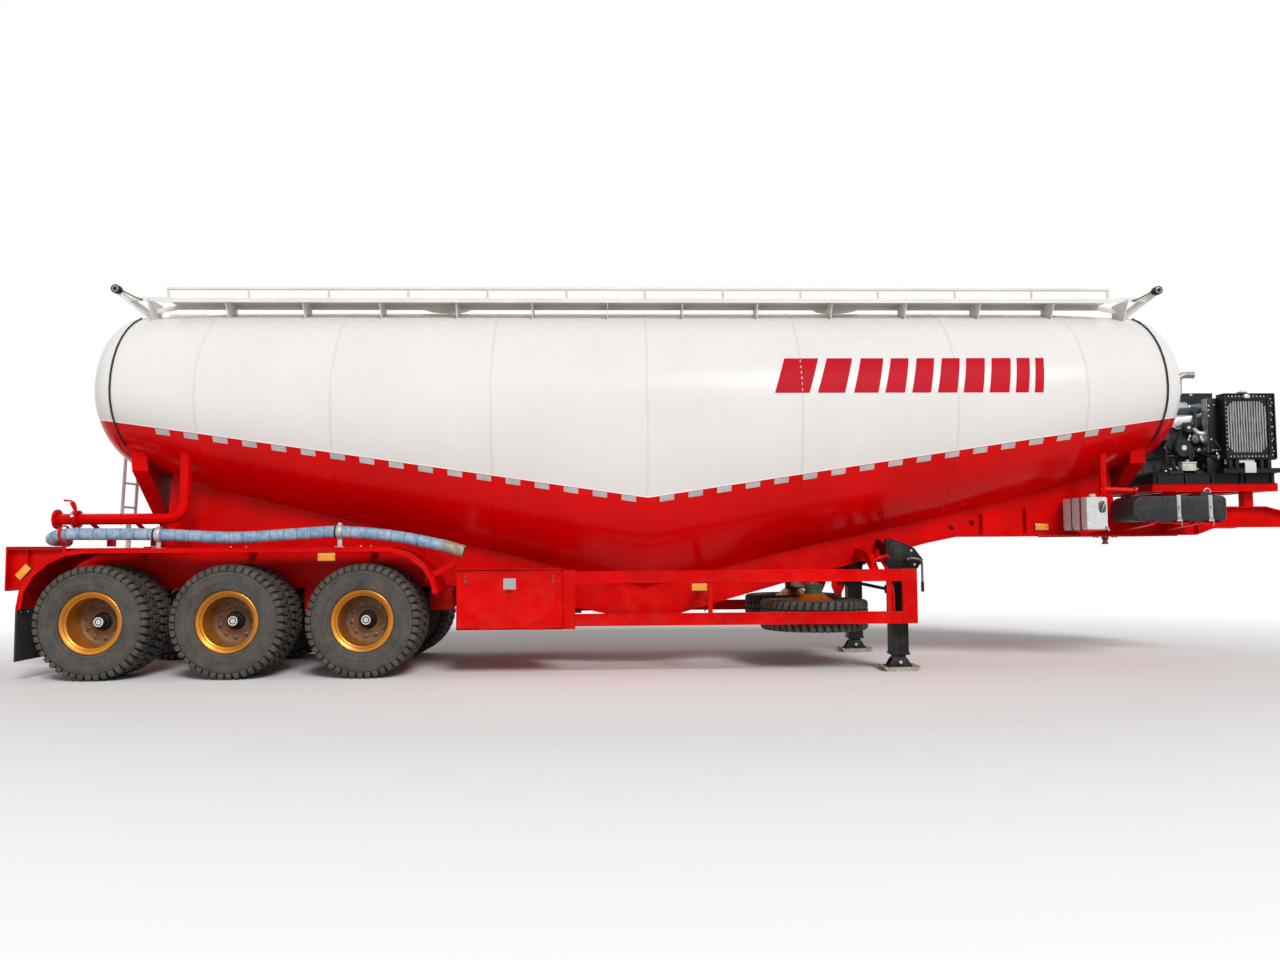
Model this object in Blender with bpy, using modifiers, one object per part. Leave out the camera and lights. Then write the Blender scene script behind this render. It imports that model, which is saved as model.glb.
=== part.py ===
"""V-bottomed bulk powder tank semi-trailer, metres, +X forward, +Y left, +Z up.

The model is drawn about the middle seam of the tank, and one empty then moves it
so that the whole trailer is centred lengthwise on the origin.
"""
import math

import bmesh
import bpy
from mathutils import Matrix, Vector

# Overall
OVERALL_LENGTH = 13.6
TANK_MID_X = -0.15
SEAT_GAP = 0.0003
RUNNING_GAP = 0.006
WHEEL_STEPS = 16
ROUND_STEPS = 12
SMALL_STEPS = 8

# Tank barrel: columns are station from the middle, narrowing of the half width,
# rise of the widest line, rise of the bottom, drop of the top
TANK_HALF_WIDTH = 1.25
TANK_WIDEST_Z = 2.65
TANK_BOTTOM_Z = 0.70
TANK_TOP_Z = 3.85
TANK_RING_POINTS = 40
TANK_SECTIONS = (
    (0.000, 0.00, 0.00, 0.00, 0.00),
    (1.558, 0.00, 0.00, 0.42, 0.00),
    (3.139, 0.00, 0.03, 0.78, 0.00),
    (4.474, 0.01, 0.13, 1.12, 0.01),
    (5.313, 0.06, 0.22, 1.41, 0.05),
)
HEAD_DEPTH = 0.40
HEAD_ROUNDNESS = 2.3
HEAD_RINGS = 4

# Manholes
MANHOLE_STATIONS = (2.2, -2.2)
MANHOLE_RADIUS = 0.25
MANHOLE_FLANGE = 0.03
MANHOLE_TOP_Z = 3.945
LID_RADIUS = 0.268
LID_THICKNESS = 0.034
LID_GAP = 0.0005
LID_HINGE_REACH = 0.33
LID_BARREL_RADIUS = 0.014
LID_BARREL_HALF = 0.055

# Catwalks
CATWALK_HALF_LENGTH = 5.0
CATWALK_INNER_Y = 0.40
CATWALK_OUTER_Y = 0.75
CATWALK_Z = 3.88
CATWALK_LIP = 0.045
CATWALK_SHEET = 0.006
OUTRIGGER_COUNT = 14
OUTRIGGER_SHEET = 0.008
OUTRIGGER_SPAN = 5.17
RAIL_TOP_Z = 4.01
RAIL_RADIUS = 0.017
RAIL_Y = 0.69
RAIL_POSTS = 13
END_ARM_REACH = 0.31
END_LAMP_RADIUS = 0.042
END_LAMP_DEPTH = 0.05

# Tyres and axles
TYRE_RADIUS = 0.56
TYRE_HALF_WIDTH = 0.155
TYRE_TO_TYRE_GAP = 0.19
FRONT_AXLE_X = -2.813
AXLE_PITCH = 2 * TYRE_RADIUS + TYRE_TO_TYRE_GAP
REAR_AXLE_X = FRONT_AXLE_X - 2 * AXLE_PITCH
AXLE_STATIONS = (("axle_front", FRONT_AXLE_X), ("axle_middle", FRONT_AXLE_X - AXLE_PITCH),
                 ("axle_rear", REAR_AXLE_X))

# Chassis webs
WEB_Y = 0.45
WEB_SHEET = 0.014
FLANGE_WIDTH = 0.14
FLANGE_SHEET = 0.014
REAR_RAIL_TOP_Z = 2 * TYRE_RADIUS + 0.17
REAR_RAIL_BOTTOM_Z = REAR_RAIL_TOP_Z - 0.41
REAR_FRAME_FRONT = -1.95
KEEL_BOTTOM_Z = 0.53
KEEL_FRONT = 3.00
KEEL_FRONT_Z = 1.30
NECK_BOTTOM_Z = 1.37
NECK_FRONT_BOTTOM_Z = 1.45
NECK_FRONT_TOP_Z = 1.66
SADDLE_X = 5.20
SADDLE_HALF = 0.08
SADDLE_SEAT_Z = 1.70
KINGPIN_X = 5.20
KINGPIN_RADIUS = 0.0254
KINGPIN_HEAD_RADIUS = 0.0355
KINGPIN_LENGTH = 0.084
KINGPIN_PLATE_SHEET = 0.010
DECK_REAR = 5.43
DECK_FRONT = 6.80
DECK_Z = 1.90
DECK_DEPTH = 0.08
DECK_HALF_WIDTH = 0.62

# Rims, hubs and springs
BEAD_RADIUS = 0.2546
RIM_LIP_RADIUS = 0.302
RIM_HALF_WIDTH = 0.1275
RIM_SHEET = 0.011
TWIN_SPACING = 0.345
WHEEL_Y = 0.9175
DISC_RADIUS = 0.232
DISC_SHEET = 0.024
HUB_RADIUS = 0.075
HUB_CAP_RADIUS = 0.052
HUB_CAP_Y = 0.1425
DRUM_RADIUS = 0.205
DRUM_END = 0.25
SPINDLE_RADIUS = 0.052
SPINDLE_CLEARANCE = 0.0006
AXLE_BEAM = 0.15
SPRING_WIDTH = 0.09
SPRING_EYE_Z = REAR_RAIL_BOTTOM_Z - 0.08
LEAF_SHEET = 0.022
HANGER_SHEET = 0.012

# Mudguards: columns are reach past the end axle and drop below the top
MUDGUARD_OUTER_Y = 1.23
MUDGUARD_INNER_Y = 0.62
MUDGUARD_SHEET = 0.006
MUDGUARD_LIP = 0.045
MUDGUARD_TOP_Z = REAR_RAIL_TOP_Z - 0.007
MUDGUARD_REAR_CURVE = tuple((REAR_AXLE_X - reach, MUDGUARD_TOP_Z - drop) for reach, drop in (
    (0.087, 0.0), (0.267, 0.028), (0.437, 0.108), (0.587, 0.238), (0.677, 0.393), (0.707, 0.583)))
MUDGUARD_FRONT_CURVE = tuple((FRONT_AXLE_X + reach, MUDGUARD_TOP_Z - drop) for reach, drop in (
    (0.263, 0.0), (0.453, 0.058), (0.603, 0.173), (0.693, 0.303), (0.733, 0.453)))
FLAP_BOTTOM_Z = 0.20
FLAP_SHEET = 0.012

# Spare wheels
SPARE_X = 1.76
SPARE_GAP = 0.08
SPARE_Y = TYRE_RADIUS + SPARE_GAP / 2
SPARE_Z = 0.55
SPARE_DRUM_RADIUS = 0.095
SPARE_GUARD_GAP = 0.01

# Toolboxes and side guards
GUARD_RAIL_DEPTH = 0.045
GUARD_OUTER_Y = SPARE_Y + TYRE_RADIUS + SPARE_GUARD_GAP + GUARD_RAIL_DEPTH
BOX_REAR = -1.90
BOX_FRONT = -0.85
BOX_OUTER_Y = GUARD_OUTER_Y - 0.010
BOX_INNER_Y = 0.72
BOX_BOTTOM_Z = 0.46
BOX_TOP_Z = 1.06
BOX_SHEET = 0.006
DOOR_SHEET = 0.020
DOOR_MARGIN = 0.012
DOOR_END_GAP = 0.006
DOOR_TOP_GAP = 0.020
DOOR_KNUCKLE_RADIUS = 0.009
DOOR_OPENING_DEG = 90
GUARD_FRONT = 2.68
GUARD_TOP_Z = (0.91, 1.03)
GUARD_LOW_Z = (0.49, 0.61)
GUARD_POSTS = (0.61, 2.40)
GUARD_END_WIDTH = 0.15

# Landing gear
LEG_X = 2.555
LEG_Y = GUARD_OUTER_Y - 0.285
LEG_OUTER = 0.17
LEG_INNER = 0.12
LEG_OUTER_BOTTOM_Z = 0.17
LEG_TOP_Z = 1.28
FOOT_LENGTH = 0.36
FOOT_WIDTH = 0.30
FOOT_SHEET = 0.03

# Blower set
ENGINE_BASE_Z = 2.012
ENGINE_X = (5.74, 6.24)
RADIATOR_X = (6.17, 6.70)
RADIATOR_Z = (2.168, 2.856)
RADIATOR_Y = -0.75
RADIATOR_DEPTH = 0.13
RADIATOR_FINS = 10

# Side tanks
WATER_BOX_X = (4.50, 4.72)
FUEL_TANK_X = (4.95, 5.93)
FUEL_SHELVES = (5.16, 5.62)
FUEL_STRAPS = (5.42, 5.75)

# Pipes and hose
PIPE_RADIUS = 0.055
REAR_PIPE_Y = TANK_HALF_WIDTH - 0.33
REAR_PIPE_Z = REAR_RAIL_TOP_Z + 0.29
FRONT_PIPE_Y = TANK_HALF_WIDTH - 0.39
HOSE_RADIUS = 0.059
CLAMP_STEPS = 12
HOSE_CARRIERS = ((-4.83, 0.0012, 0.022), (-3.06, 0.0012, 0.022), (-5.75, 0.020, 0.012))
HOSE_ROUTE = tuple((x, y, MUDGUARD_TOP_Z + rise) for x, y, rise in (
    (-1.84, -1.13, -0.048), (-2.07, -1.13, 0.017), (-2.55, -1.13, 0.109), (-3.06, -1.13, 0.153),
    (-3.50, -1.13, 0.132), (-4.10, -1.13, 0.102), (-4.83, -1.13, 0.135), (-5.35, -1.13, 0.142),
    (-5.75, -1.12, 0.142), (-5.90, -1.04, 0.112), (-5.98, -0.88, 0.089), (-5.96, -0.66, 0.085)))

# Ladder
LADDER_Y = (0.28, 0.60)
LADDER_RUNGS = 7

MATERIALS = {
    "tank_paint": ((0.80, 0.78, 0.75), 0.3, 0.0),
    "red_paint": ((0.60, 0.012, 0.012), 0.35, 0.0),
    "white_paint": ((0.78, 0.76, 0.73), 0.45, 0.0),
    "rim_gold": ((0.72, 0.36, 0.05), 0.4, 0.2),
    "tyre_rubber": ((0.045, 0.040, 0.037), 0.85, 0.0),
    "black_paint": ((0.02, 0.02, 0.022), 0.45, 0.1),
    "cast_iron": ((0.10, 0.10, 0.105), 0.6, 0.5),
    "black_plastic": ((0.025, 0.025, 0.027), 0.5, 0.0),
    "grey_plastic": ((0.62, 0.63, 0.62), 0.5, 0.0),
    "hose_blue": ((0.30, 0.45, 0.60), 0.5, 0.0),
}

X_AXIS, Y_AXIS, Z_AXIS = "X", "Y", "Z"
AXIS_FRAMES = {
    X_AXIS: Matrix(((0, 0, 1, 0), (1, 0, 0, 0), (0, 1, 0, 0), (0, 0, 0, 1))),
    Y_AXIS: Matrix(((1, 0, 0, 0), (0, 0, -1, 0), (0, 1, 0, 0), (0, 0, 0, 1))),
    Z_AXIS: Matrix.Identity(4),
}


def clear_scene():
    for piece in list(bpy.data.objects):
        bpy.data.objects.remove(piece)


def new_collection(name):
    group = bpy.data.collections.new(name)
    bpy.context.scene.collection.children.link(group)
    return group


clear_scene()
TRAILER = new_collection("tanker_trailer")
WORKSHOP = new_collection("cutters_and_guides")


def build_material(name):
    color, roughness, metallic = MATERIALS[name]
    material = bpy.data.materials.get(name) or bpy.data.materials.new(name)
    material.use_nodes = True
    shader = material.node_tree.nodes["Principled BSDF"]
    shader.inputs["Base Color"].default_value = (*color, 1.0)
    shader.inputs["Roughness"].default_value = roughness
    shader.inputs["Metallic"].default_value = metallic
    return material


# Making shapes

def place_mesh(bm, name="shape"):
    mesh = bpy.data.meshes.new(name)
    bm.to_mesh(mesh)
    bm.free()
    piece = bpy.data.objects.new(name, mesh)
    WORKSHOP.objects.link(piece)
    return piece


def settle(piece):
    """Replace a curve or a piece with modifiers by its plain welded mesh."""
    bpy.context.view_layer.update()
    graph = bpy.context.evaluated_depsgraph_get()
    mesh = bpy.data.meshes.new_from_object(piece.evaluated_get(graph))
    bm = bmesh.new()
    bm.from_mesh(mesh)
    bm.transform(piece.matrix_world)
    bmesh.ops.remove_doubles(bm, verts=bm.verts, dist=0.00002)
    bpy.data.objects.remove(piece)
    return place_mesh(bm)


def block(x_range, y_range, z_range):
    """Box between two corners."""
    bm = bmesh.new()
    bmesh.ops.create_cube(bm, size=1.0)
    low = Vector((min(x_range), min(y_range), min(z_range)))
    high = Vector((max(x_range), max(y_range), max(z_range)))
    bmesh.ops.scale(bm, vec=high - low, verts=bm.verts)
    bmesh.ops.translate(bm, vec=(low + high) / 2, verts=bm.verts)
    return place_mesh(bm)


def bar(start, end, width, depth):
    """Flat or square bar between two points; depth lies across the most upright direction."""
    start, end = Vector(start), Vector(end)
    run = end - start
    bm = bmesh.new()
    bmesh.ops.create_cube(bm, size=1.0)
    bmesh.ops.scale(bm, vec=(width, depth, run.length), verts=bm.verts)
    turn = run.to_track_quat("Z", "Y").to_matrix().to_4x4()
    bm.transform(Matrix.Translation((start + end) / 2) @ turn)
    return place_mesh(bm)


def rod(start, end, radius, steps=SMALL_STEPS, end_radius=None):
    """Round bar or cone between two points."""
    start, end = Vector(start), Vector(end)
    run = end - start
    bm = bmesh.new()
    bmesh.ops.create_cone(bm, cap_ends=True, segments=steps, radius1=radius,
                          radius2=radius if end_radius is None else end_radius, depth=run.length)
    turn = run.to_track_quat("Z", "Y").to_matrix().to_4x4()
    bm.transform(Matrix.Translation((start + end) / 2) @ turn)
    return place_mesh(bm)


def plate(outlines, axis, low, high):
    """Flat outline, with its holes, thickened along an axis between two positions."""
    curve = bpy.data.curves.new("outline", "CURVE")
    curve.dimensions = "2D"
    curve.fill_mode = "BOTH"
    curve.extrude = abs(high - low) / 2
    for outline in outlines:
        spline = curve.splines.new("POLY")
        spline.points.add(len(outline) - 1)
        spline.use_cyclic_u = True
        for point, (across, up) in zip(spline.points, outline):
            point.co = (across, up, 0.0, 1.0)
    piece = bpy.data.objects.new("outline", curve)
    WORKSHOP.objects.link(piece)
    middle = (low + high) / 2
    offset = {X_AXIS: (middle, 0, 0), Y_AXIS: (0, middle, 0), Z_AXIS: (0, 0, middle)}[axis]
    piece.matrix_world = Matrix.Translation(offset) @ AXIS_FRAMES[axis]
    return settle(piece)


def circle(across, up, radius, steps=SMALL_STEPS):
    turns = [2 * math.pi * i / steps for i in range(steps)]
    return [(across + radius * math.cos(t), up + radius * math.sin(t)) for t in turns]


def tube(points, radius, resolution=2):
    """Round tube along points, with closed ends."""
    curve = bpy.data.curves.new("route", "CURVE")
    curve.dimensions = "3D"
    curve.bevel_depth = radius
    curve.bevel_resolution = resolution
    curve.use_fill_caps = True
    spline = curve.splines.new("POLY")
    spline.points.add(len(points) - 1)
    for point, place in zip(spline.points, points):
        point.co = (*place, 1.0)
    piece = bpy.data.objects.new("route", curve)
    WORKSHOP.objects.link(piece)
    return settle(piece)


def turned(profile, frame, steps=ROUND_STEPS, closed=False):
    """Profile of (radius, height) pairs turned about an axis, running down its outer side."""
    bm = bmesh.new()
    verts = [bm.verts.new((radius, 0.0, height)) for radius, height in profile]
    ends = list(zip(verts, verts[1:])) + ([(verts[-1], verts[0])] if closed else [])
    for first, second in ends:
        bm.edges.new((first, second))
    piece = place_mesh(bm, "profile")
    screw = piece.modifiers.new("Turn", "SCREW")
    screw.axis = "Z"
    screw.steps = steps
    screw.render_steps = steps
    screw.use_merge_vertices = True
    screw.merge_threshold = 0.00005
    piece.matrix_world = frame
    return settle(piece)


def smooth_route(points, per_span=3):
    """Points of a smooth curve through the given ones."""
    route = [Vector(p) for p in points]
    padded = [2 * route[0] - route[1], *route, 2 * route[-1] - route[-2]]
    smooth = []
    for before, start, end, after in zip(padded, padded[1:], padded[2:], padded[3:]):
        for step in range(per_span):
            t = step / per_span
            smooth.append(0.5 * (2 * start + (end - before) * t
                                 + (2 * before - 5 * start + 4 * end - after) * t ** 2
                                 + (3 * start - before - 3 * end + after) * t ** 3))
    return smooth + [route[-1]]


def boolean(piece, others, operation):
    group = bpy.data.collections.new("operands")
    WORKSHOP.children.link(group)
    for other in others:
        WORKSHOP.objects.unlink(other)
        group.objects.link(other)
        other.hide_render = True
        other.display_type = "WIRE"
    step = piece.modifiers.new(operation.title(), "BOOLEAN")
    step.operation = operation
    step.solver = "EXACT"
    step.operand_type = "COLLECTION"
    step.collection = group
    result = settle(piece)
    for other in others:
        bpy.data.objects.remove(other)
    bpy.data.collections.remove(group)
    return result


def union(pieces):
    return boolean(pieces[0], pieces[1:], "UNION") if len(pieces) > 1 else pieces[0]


def cut(piece, cutters):
    return boolean(piece, cutters, "DIFFERENCE")


def finish(piece, name, material, smooth_angle=35.0):
    """Name a finished solid, give it its material and put it with the trailer."""
    piece.name = name
    piece.data.name = name
    piece.data.materials.clear()
    piece.data.materials.append(build_material(material))
    piece.data.shade_smooth()
    piece.data.set_sharp_from_angle(angle=math.radians(smooth_angle))
    WORKSHOP.objects.unlink(piece)
    TRAILER.objects.link(piece)
    piece.parent = TRAILER_ORIGIN
    return piece


TRAILER_ORIGIN = bpy.data.objects.new("trailer_origin", None)
TRAILER.objects.link(TRAILER_ORIGIN)
TRAILER_ORIGIN.location = (TANK_MID_X, 0, 0)

FRONT_END = OVERALL_LENGTH / 2 - TANK_MID_X
REAR_END = -OVERALL_LENGTH / 2 - TANK_MID_X


# Tank

def tank_size(station):
    """Half width, widest height, bottom and top of the barrel at a station."""
    reach = min(abs(station), TANK_SECTIONS[-1][0])
    for near, far in zip(TANK_SECTIONS, TANK_SECTIONS[1:]):
        if reach <= far[0]:
            share = (reach - near[0]) / (far[0] - near[0])
            _, narrowing, rise, bottom_rise, drop = [a + (b - a) * share for a, b in zip(near, far)]
            break
    return (TANK_HALF_WIDTH - narrowing, TANK_WIDEST_Z + rise, TANK_BOTTOM_Z + bottom_rise,
            TANK_TOP_Z - drop)


def tank_ring(station, grow=0.0):
    """Points of the barrel's section: upper and lower half ellipses that share their width."""
    half_width, widest, bottom, top = tank_size(station)
    ring = []
    for i in range(TANK_RING_POINTS):
        turn = 2 * math.pi * i / TANK_RING_POINTS
        height = (top - widest if math.cos(turn) >= 0 else widest - bottom) + grow
        ring.append(Vector((station, (half_width + grow) * math.sin(turn),
                            widest + height * math.cos(turn))))
    return ring


def tank_surface_z(station, across, upper):
    half_width, widest, bottom, top = tank_size(station)
    share = math.sqrt(max(0.0, 1 - (across / half_width) ** 2))
    return widest + (top - widest) * share if upper else widest - (widest - bottom) * share


def loft(rings):
    """Skin over rings of equal point counts, listed from rear to front, with flat ends."""
    bm = bmesh.new()
    rows = [[bm.verts.new(point) for point in ring] for ring in rings]
    for near, far in zip(rows, rows[1:]):
        for i in range(len(near)):
            j = (i + 1) % len(near)
            bm.faces.new((near[i], near[j], far[j], far[i]))
    bmesh.ops.triangulate(bm, faces=bm.faces, quad_method="FIXED")
    bm.faces.new(rows[0][::-1])
    bm.faces.new(rows[-1])
    bmesh.ops.recalc_face_normals(bm, faces=bm.faces)
    return place_mesh(bm)


def barrel_stations():
    fore = [row[0] for row in TANK_SECTIONS]
    return [-x for x in fore[:0:-1]] + fore


def barrel_solid(grow=0.0):
    return loft([tank_ring(station, grow) for station in barrel_stations()])


def head_rings(end, grow=0.0):
    """Rings of a dished end, from the seam to the pole; end is 1 in front and -1 behind."""
    seam = TANK_SECTIONS[-1][0]
    base = tank_ring(end * seam, grow)
    middle = Vector((end * seam, 0, (base[0].z + base[TANK_RING_POINTS // 2].z) / 2))
    rings = []
    for step in range(HEAD_RINGS + 1):
        angle = math.pi / 2 * step / HEAD_RINGS * 0.97
        reach = math.sin(angle)
        share = (1 - reach ** HEAD_ROUNDNESS) ** (1 / HEAD_ROUNDNESS)
        shift = Vector((end * ((HEAD_DEPTH + grow) * reach + SEAT_GAP), 0, 0))
        rings.append([middle + (point - middle) * share + shift for point in base])
    return rings


def head_solid(end, grow=0.0):
    rings = head_rings(end, grow)
    return loft(rings if end > 0 else rings[::-1])


def tank_clearance():
    """Tank grown by the seat gap, which trims whatever sits on the tank."""
    whole = barrel_stations()
    rear = head_rings(-1, SEAT_GAP)[::-1]
    front = head_rings(1, SEAT_GAP)
    return loft(rear[:-1] + [tank_ring(x, SEAT_GAP) for x in whole] + front[1:])


def seat_on_tank(piece):
    return cut(piece, [tank_clearance()])


def build_tank():
    necks = []
    for station in MANHOLE_STATIONS:
        low = TANK_TOP_Z - 0.12
        necks.append(rod((station, 0, low), (station, 0, MANHOLE_TOP_Z - 0.005), MANHOLE_RADIUS, 16))
        necks.append(rod((station, 0, MANHOLE_TOP_Z - 0.016), (station, 0, MANHOLE_TOP_Z),
                         MANHOLE_RADIUS + MANHOLE_FLANGE, 16))
        hinge = station - LID_HINGE_REACH
        for side in (-1, 1):
            inner = side * (LID_BARREL_HALF + SEAT_GAP)
            outer = inner + side * 0.012
            ear = [(hinge - 0.018, MANHOLE_TOP_Z - 0.040), (station - MANHOLE_RADIUS + 0.02,
                   MANHOLE_TOP_Z - 0.040), (station - MANHOLE_RADIUS - 0.02, MANHOLE_TOP_Z - 0.004),
                   (hinge + 0.018, MANHOLE_TOP_Z + 0.030), (hinge - 0.018, MANHOLE_TOP_Z + 0.030)]
            necks.append(plate([ear], Y_AXIS, inner, outer))
    finish(union([barrel_solid(), *necks]), "tank_barrel", "tank_paint", 20)
    finish(head_solid(1), "tank_head_front", "tank_paint", 50)
    finish(head_solid(-1), "tank_head_rear", "tank_paint", 50)


def build_manhole_lids():
    for name, station in zip(("manhole_lid_front", "manhole_lid_rear"), MANHOLE_STATIONS):
        low = MANHOLE_TOP_Z + LID_GAP
        hinge = Vector((station - LID_HINGE_REACH, 0, MANHOLE_TOP_Z + 0.016))
        dome = turned([(0.0, LID_THICKNESS), (LID_RADIUS * 0.72, LID_THICKNESS * 0.85),
                       (LID_RADIUS * 0.80, LID_THICKNESS * 0.5), (LID_RADIUS, LID_THICKNESS * 0.5),
                       (LID_RADIUS, 0.0), (0.0, 0.0)],
                      Matrix.Translation((station, 0, low)), 16)
        arm = block((hinge.x, station - LID_RADIUS * 0.8), (-0.035, 0.035), (low + 0.002, low + 0.018))
        barrel = rod((hinge.x, -LID_BARREL_HALF, hinge.z), (hinge.x, LID_BARREL_HALF, hinge.z),
                     LID_BARREL_RADIUS)
        lid = finish(union([dome, arm, barrel]), name, "tank_paint")
        set_origin(lid, hinge)


def set_origin(piece, point):
    """Move a piece's origin to a point without moving its shape."""
    piece.data.transform(Matrix.Translation(-Vector(point)))
    piece.location = point


# Catwalks

def build_catwalk(side):
    inner, outer = side * CATWALK_INNER_Y, side * CATWALK_OUTER_Y
    sheet = side * CATWALK_SHEET
    top, low = CATWALK_Z, CATWALK_Z - CATWALK_LIP
    channel = [(inner, top), (outer, top), (outer, low), (outer - sheet, low),
               (outer - sheet, top - CATWALK_SHEET), (inner + sheet, top - CATWALK_SHEET),
               (inner + sheet, low), (inner, low)]
    parts = [plate([channel], X_AXIS, -CATWALK_HALF_LENGTH, CATWALK_HALF_LENGTH)]
    for i in range(OUTRIGGER_COUNT):
        station = -OUTRIGGER_SPAN + 2 * OUTRIGGER_SPAN * i / (OUTRIGGER_COUNT - 1)
        foot = side * (CATWALK_OUTER_Y - 0.14)
        gusset = [(inner, top - 0.003), (outer - sheet / 2, top - 0.003), (outer - sheet / 2, low + 0.01),
                  (foot, top - 0.27), (inner, top - 0.27)]
        parts.append(plate([gusset], X_AXIS, station - OUTRIGGER_SHEET / 2,
                           station + OUTRIGGER_SHEET / 2))
    rail_z = RAIL_TOP_Z - RAIL_RADIUS
    rail_y = side * RAIL_Y
    rail_end = CATWALK_HALF_LENGTH - 0.02
    for i in range(RAIL_POSTS):
        station = -rail_end + 2 * rail_end * i / (RAIL_POSTS - 1)
        parts.append(rod((station, rail_y, top - 0.002), (station, rail_y, rail_z), RAIL_RADIUS * 0.8, 4))
    parts.append(rod((-rail_end - RAIL_RADIUS, rail_y, rail_z), (rail_end + RAIL_RADIUS, rail_y, rail_z),
                     RAIL_RADIUS, 6))
    for end in (-1, 1):
        foot = Vector((end * OUTRIGGER_SPAN, side * 0.50, 0))
        foot.z = tank_surface_z(foot.x, foot.y, True) - 0.03
        tip = Vector((end * (OUTRIGGER_SPAN + END_ARM_REACH), side * CATWALK_OUTER_Y, RAIL_TOP_Z - 0.045))
        parts.append(bar(foot, tip, 0.012, 0.075))
        meet = foot.lerp(tip, 0.72)
        deck_end = Vector((end * (CATWALK_HALF_LENGTH - 0.06), side * (CATWALK_OUTER_Y - 0.02), top - 0.014))
        parts.append(bar(deck_end, meet, 0.012, 0.045))
        inner_end = Vector((end * (CATWALK_HALF_LENGTH - 0.06), side * (CATWALK_INNER_Y + 0.02), top - 0.014))
        parts.append(bar(inner_end, foot.lerp(tip, 0.25), 0.012, 0.045))
        parts.append(rod(tip - Vector((0, side * 0.02, 0)), tip + Vector((0, side * END_LAMP_DEPTH, 0)),
                         END_LAMP_RADIUS, 8))
    catwalk = seat_on_tank(union(parts))
    finish(catwalk, "catwalk_right" if side < 0 else "catwalk_left", "white_paint")


def build_conduit(end):
    """Wiring conduit from the end lamp round the end seam, on the right side."""
    seam = TANK_SECTIONS[-1][0] + 0.004
    radius = 0.011
    base = tank_ring(end * TANK_SECTIONS[-1][0], radius)
    first = round(TANK_RING_POINTS * 0.935)
    last = round(TANK_RING_POINTS * 0.62)
    route = [Vector((end * seam, p.y, p.z)) for p in base[last:first + 1]]
    piece = tube(route[::-1], radius, 0)
    finish(piece, "conduit_front" if end > 0 else "conduit_rear", "black_plastic")


# Chassis

def web_pair(outline, holes=()):
    """Two upright side plates of the chassis."""
    webs = []
    for side in (-1, 1):
        centre = side * WEB_Y
        webs.append(plate([outline, *holes], Y_AXIS, centre - WEB_SHEET / 2, centre + WEB_SHEET / 2))
    return webs


def flange_pair(points, below=True):
    """Flanges along the lower or upper edges of both side plates."""
    drop = -FLANGE_SHEET if below else FLANGE_SHEET
    strip = [*points, *[(x, z + drop) for x, z in points[::-1]]]
    half = FLANGE_WIDTH / 2
    return [plate([strip], Y_AXIS, side * WEB_Y - half, side * WEB_Y + half) for side in (-1, 1)]


def cross_member(station, low, high, half_width=WEB_Y, sheet=0.05):
    return block((station - sheet / 2, station + sheet / 2), (-half_width, half_width), (low, high))


def build_rear_frame():
    rear, front = REAR_END, REAR_FRAME_FRONT
    low, high = REAR_RAIL_BOTTOM_Z, REAR_RAIL_TOP_Z
    seat = 2.6
    outline = [(rear, low), (front, low), (front, seat), (-4.95, seat), (-5.02, 1.75), (-5.06, high),
               (rear, high)]
    parts = web_pair(outline)
    parts += flange_pair([(rear, low), (front, low)])
    parts += flange_pair([(rear, high - FLANGE_SHEET), (-5.05, high - FLANGE_SHEET)], below=False)
    for station in (-5.95, -4.75, -3.45):
        parts.append(cross_member(station, low + 0.10, high - 0.08))
    plate_half = WEB_Y + FLANGE_WIDTH / 2 + 0.02
    parts.append(block((rear, rear + 0.016), (-plate_half, plate_half), (low - 0.03, high + 0.02)))
    frame = seat_on_tank(union(parts + build_hangers()))
    finish(frame, "rear_frame", "red_paint")


def spring_ends():
    """Stations of the hangers and equalisers that carry the leaf spring ends."""
    stations = [station for _, station in AXLE_STATIONS]
    pitch = stations[0] - stations[1]
    return [stations[0] + pitch / 2] + [station - pitch / 2 for station in stations]


def build_hangers():
    """Inverted channels under the rails that hold the leaf spring ends."""
    hangers = []
    seat = SPRING_EYE_Z + LEAF_SHEET + SEAT_GAP
    low = SPRING_EYE_Z - 0.18
    top = REAR_RAIL_BOTTOM_Z - 0.002
    inside = SPRING_WIDTH / 2 + RUNNING_GAP
    outside = inside + HANGER_SHEET
    for station in spring_ends():
        for side in (-1, 1):
            y = side * WEB_Y
            channel = [(y - outside, top), (y - outside, low), (y - inside, low), (y - inside, seat),
                       (y + inside, seat), (y + inside, low), (y + outside, low), (y + outside, top)]
            hangers.append(plate([channel], X_AXIS, station - 0.11, station + 0.11))
    return hangers


def keel_points():
    """Lower edge of the sloping middle part of the chassis."""
    return [(REAR_FRAME_FRONT + SEAT_GAP, REAR_RAIL_BOTTOM_Z), (-1.75, REAR_RAIL_BOTTOM_Z),
            (-0.22, KEEL_BOTTOM_Z), (0.19, KEEL_BOTTOM_Z), (0.75, 0.69), (1.65, 0.94), (2.21, 1.09),
            (KEEL_FRONT, KEEL_FRONT_Z)]


def keel_bottom_z(station):
    """Underside of the keel flange at a station."""
    points = keel_points()
    for (x0, z0), (x1, z1) in zip(points, points[1:]):
        if x0 <= station <= x1:
            return z0 + (z1 - z0) * (station - x0) / (x1 - x0) - FLANGE_SHEET
    return REAR_RAIL_BOTTOM_Z - FLANGE_SHEET


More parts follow.
